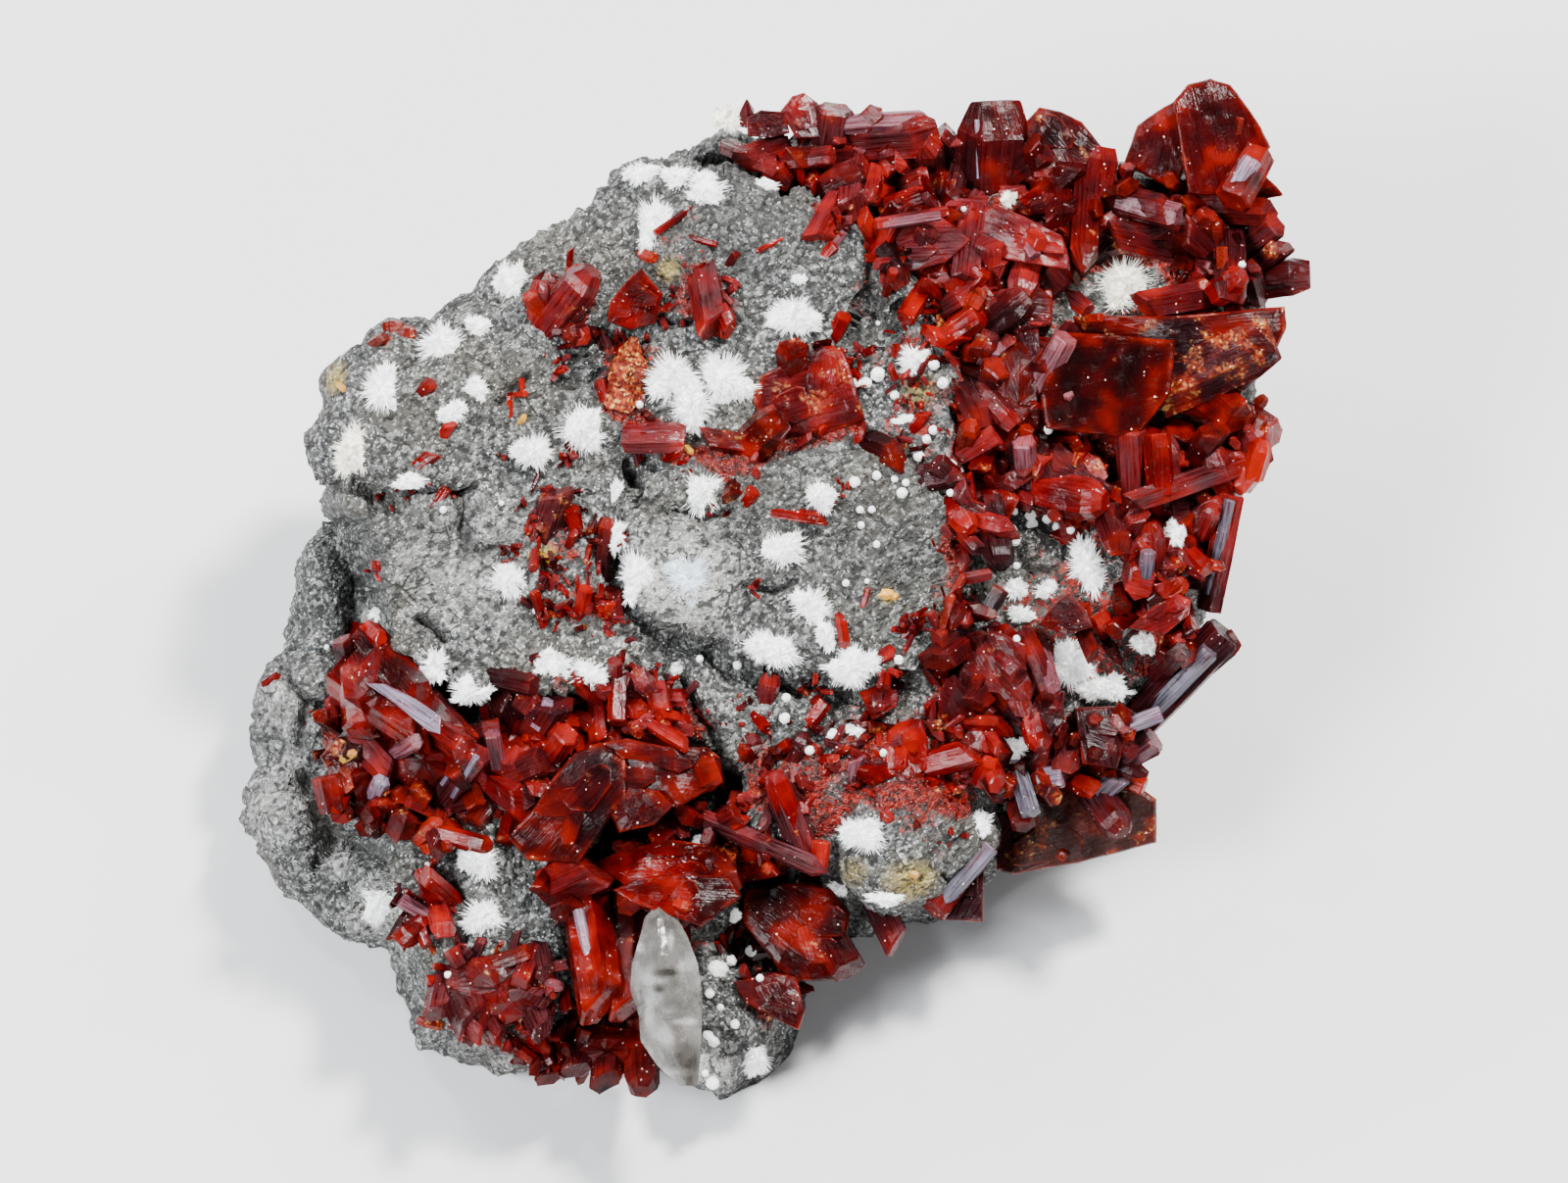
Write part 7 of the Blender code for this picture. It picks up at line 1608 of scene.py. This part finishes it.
def half_ball(side, top, front, random):
    """Needles, thin three-sided spikes, in bundles from one spot out to a lobed half ball; and a core."""
    half_width, half_height = np.linalg.norm(side), np.linalg.norm(top)
    bundles = int(12 + 4.8 * half_width * half_height)
    count = bundles * BUNDLE_NEEDLES
    order = (np.arange(bundles) + 0.5) / bundles
    bundle_turn = np.arange(bundles) * GOLDEN_TURN + random.uniform(0.0, 6.0)
    bundle_lift = np.clip(1.0 - 1.1 * order, 0.0, 1.0) ** 1.5 - 0.05
    bundle_reach = random.uniform(0.6, 1.14, bundles)
    turn = np.repeat(bundle_turn, BUNDLE_NEEDLES) + random.normal(0.0, 0.16, count)
    lift = np.clip(np.repeat(bundle_lift, BUNDLE_NEEDLES) + random.normal(0.0, 0.1, count), -0.15, 1.0)
    flat = np.sqrt(1.0 - lift ** 2)
    reach = np.minimum(np.repeat(bundle_reach, BUNDLE_NEEDLES) * random.uniform(0.7, 1.2, count), 1.22)
    tips = (np.cos(turn) * flat * reach)[:, None] * side + (np.sin(turn) * flat * reach)[:, None] * top \
        + (lift * reach)[:, None] * front
    spread = random.normal(0.0, 0.10, (count, 2))
    roots = spread[:, :1] * side + spread[:, 1:] * top + tips * 0.08
    run = tips - roots
    run /= np.linalg.norm(run, axis=1)[:, None]
    across = np.cross(run, random.normal(size=(count, 3)))
    across /= np.linalg.norm(across, axis=1)[:, None]
    over = np.cross(run, across)
    thick = NEEDLE_THICKNESS * random.uniform(0.8, 1.5, count)[:, None]
    corners = [roots + thick * (across * cos(angle) + over * sin(angle))
               for angle in (0.0, 2 * pi / 3, 4 * pi / 3)]
    points = np.stack(corners + [tips], axis=1)
    first = np.arange(count)[:, None] * 4
    faces = np.concatenate([first + np.array(face) for face in ((0, 1, 3), (1, 2, 3), (2, 0, 3), (2, 1, 0))])

    rows, around = 9, 26
    ridges = 0.62 + 0.09 * random.uniform(-1, 1, (1, around)) + 0.06 * random.uniform(-1, 1, (rows, around))
    ball = ball_grid(rows, around, -0.5, pi / 2 - POLE_GAP, 2.0 * pi) * ridges[..., None]
    core = ball[..., :1] * side + ball[..., 1:2] * top + 0.86 * ball[..., 2:] * front
    return [{"points": points.reshape(-1, 3), "faces": faces.tolist()}, tube(core, np.zeros(rows), None)]


def moved(bodies, offset):
    """The same bodies a little way off."""
    return [{**body, "points": body["points"] + offset} for body in bodies]


def spray_parts(tree, px, py, half_width, half_height, height, random):
    """One spray on what it grows on: a main half ball and a few smaller ones that reach out of its side."""
    place, normal = landing(tree, px, py)
    front = normal + 1.5 * OUT
    front /= np.linalg.norm(front)
    side = RIGHT - front * (front @ RIGHT)
    side *= half_width * PIXEL / np.linalg.norm(side)
    top = np.cross(front, side)
    top *= half_height * PIXEL / np.linalg.norm(top)
    parts = moved(half_ball(side * 0.86, top * 0.86, front * height, random), place)
    for _ in range(random.integers(2, 4)):
        turn = random.uniform(0.0, 2.0 * pi)
        size = random.uniform(0.42, 0.66)
        offset = random.uniform(0.45, 0.62) * (cos(turn) * side + sin(turn) * top)
        lobe = half_ball(side * size, top * size, front * height * size * 1.1, random)
        parts += moved(lobe, place + offset)
    return parts


def needle_material(name, colour, shade):
    """Silky needles, with painted shade in fine streaks and a faint painted glow for the light that they
    scatter.
    """
    material, tree, shader = new_material(name, Roughness=0.5, Sheen_Weight=0.2, Emission_Strength=0.30)
    place = node(tree, "ShaderNodeTexCoord").outputs["Object"]
    tint = ramp(tree, noise(tree, place, 2400.0, 3.0), (0.38, shade), (0.52, colour))
    link(tree, shader, Base_Color=tint)
    return material


NEEDLES = {
    "white": needle_material("white_needles", (0.97, 0.98, 0.97), (0.72, 0.73, 0.72)),
    "cream": needle_material("cream_needles", (0.94, 0.92, 0.82), (0.62, 0.58, 0.46)),
    "blue": needle_material("pale_blue_needles", (0.60, 0.67, 0.74), (0.40, 0.46, 0.52)),
}
ground_tree = grown_on()
for seed, (spray, (finish, balls)) in enumerate(SPRAYS.items(), start=500):
    random = np.random.default_rng(seed)
    parts = [part for ball in balls for part in spray_parts(ground_tree, *ball, random)]
    piece = add_object(joined_mesh(spray + "_look", parts), NEEDLES[finish])
    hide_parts(spray)
    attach(piece, "root")
for seed, (finish, balls) in enumerate(SMALL_SPRAYS.items(), start=600):
    random = np.random.default_rng(seed)
    parts = [part for ball in balls for part in spray_parts(ground_tree, *ball, random)]
    piece = add_object(joined_mesh("small_sprays_" + finish, parts), NEEDLES[finish])
    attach(piece, "root")

# The white beads
# Small round balls, each a tight burr of the same mineral, scattered on the rock and the red crystals.
# centre pixel and radius in pixels
BEADS = [
    (896, 384, 8), (883, 391, 6), (873, 392, 6), (947, 296, 5), (897, 330, 3), (953, 370, 6), (962, 391, 6),
    (913, 403, 5), (872, 492, 6), (894, 485, 5), (921, 503, 6), (913, 488, 4), (925, 492, 4), (938, 466, 6),
    (954, 438, 5), (946, 448, 5), (970, 475, 6), (978, 482, 4), (950, 496, 5), (971, 503, 4),
    (1068, 438, 5), (1098, 498, 5), (878, 520, 4), (890, 520, 4), (879, 536, 4), (895, 556, 4),
    (863, 595, 4), (885, 593, 3), (917, 673, 5), (753, 677, 5), (714, 673, 4), (1035, 522, 4),
    (1051, 525, 6), (1068, 529, 5), (1054, 537, 6), (1078, 538, 5), (1092, 541, 5), (1033, 541, 6),
    (1036, 551, 7), (1037, 578, 4), (1037, 653, 4), (1194, 580, 6), (850, 750, 7), (802, 733, 6),
    (825, 765, 5), (902, 768, 4), (801, 713, 5), (653, 412, 4), (512, 513, 3), (452, 520, 4), (333, 660, 3),
    (547, 623, 4), (984, 214, 3), (1267, 271, 4), (437, 882, 3), (458, 995, 4), (730, 992, 10),
    (744, 980, 6), (767, 970, 6), (723, 1014, 5), (735, 1028, 4), (750, 1045, 5), (724, 1055, 6),
    (730, 1062, 6), (728, 1105, 7), (720, 1095, 4), (776, 998, 4)]


def bead_body(tree, px, py, radius, random):
    """A rough little ball that sits half its depth in what it grows on."""
    place, normal = landing(tree, px, py)
    rows, around = 9, 14
    reach = radius * PIXEL * random.uniform(0.86, 1.06, (rows, around))
    ball = ball_grid(rows, around, -pi / 2 + POLE_GAP, pi / 2 - POLE_GAP, 2.0 * pi) * reach[..., None]
    return tube(ball[:, ::-1] + place + normal * radius * PIXEL * 0.35, np.zeros(rows), None)


scene_tree = grown_on("small_crystals")
random = np.random.default_rng(700)
bead_parts = [bead_body(scene_tree, *bead, random) for bead in BEADS]
beads = add_object(joined_mesh("beads", bead_parts), NEEDLES["white"])
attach(beads, "root")

# The floor, the light and the camera
# A plain pale floor, a large soft lamp near the camera, a fill, and small lamps that the facets glint with.
FLOOR_SIZE = 3000.0
half = FLOOR_SIZE / 2.0
floor_corners = [(-half, -half, 0.0), (half, -half, 0.0), (half, half, 0.0), (-half, half, 0.0)]
floor_mesh = new_mesh("floor", floor_corners, [[0, 1, 2, 3]])
floor_material, _, _ = new_material("pale_floor", Base_Color=(0.72, 0.72, 0.73), Roughness=0.7)
floor = add_object(floor_mesh, floor_material)

world = bpy.data.worlds.new("studio")
bpy.context.scene.world = world
world.use_nodes = True
background = world.node_tree.nodes["Background"]
set_plain(background.inputs["Color"], (0.80, 0.86, 0.95))
set_plain(background.inputs["Strength"], 0.14)
# name: place in mm, size in mm, power in watts, colour
LAMPS = {
    "key": ((178, 112, 452), (70, 70), 5.9, (1.0, 0.98, 0.95)),
    "fill": ((-270, -190, 350), (160, 160), 4.6, (0.94, 0.97, 1.0)),
    "strip": ((-200, 260, 260), (260, 30), 1.0, (1.0, 1.0, 1.0)),
    "glint right": ((260, 140, 330), (18, 18), 0.35, (1.0, 1.0, 1.0)),
    "glint left": ((-170, 150, 380), (18, 18), 0.35, (1.0, 1.0, 1.0)),
    "glint low": ((60, -330, 300), (18, 18), 0.30, (1.0, 1.0, 1.0)),
    "glint high": ((40, 300, 330), (18, 18), 0.35, (1.0, 1.0, 1.0)),
}
for name, (place, size, power, colour) in LAMPS.items():
    light = bpy.data.lights.new(name, "AREA")
    light.shape = "RECTANGLE"
    light.size, light.size_y = size[0] * MM, size[1] * MM
    light.energy = power
    light.color = colour
    lamp = bpy.data.objects.new(name, light)
    bpy.context.collection.objects.link(lamp)
    lamp.location = Vector(place) * MM
    aim = Vector(FACE_CENTRE * MM) - lamp.location
    lamp.rotation_euler = aim.to_track_quat("-Z", "Y").to_euler()

PHOTO_WIDTH = 1600
SENSOR_WIDTH = 36.0
camera_data = bpy.data.cameras.new("camera")
camera_data.sensor_width = SENSOR_WIDTH
camera_data.lens = SENSOR_WIDTH * EYE_DISTANCE / (PHOTO_WIDTH * PIXEL)
camera_data.clip_start = 0.01
camera = bpy.data.objects.new("camera", camera_data)
bpy.context.collection.objects.link(camera)
camera.location = Vector((FACE_CENTRE + EYE_DISTANCE * OUT) * MM)
camera.rotation_euler = (Vector(FACE_CENTRE * MM) - camera.location).to_track_quat("-Z", "Y").to_euler()
bpy.context.scene.camera = camera
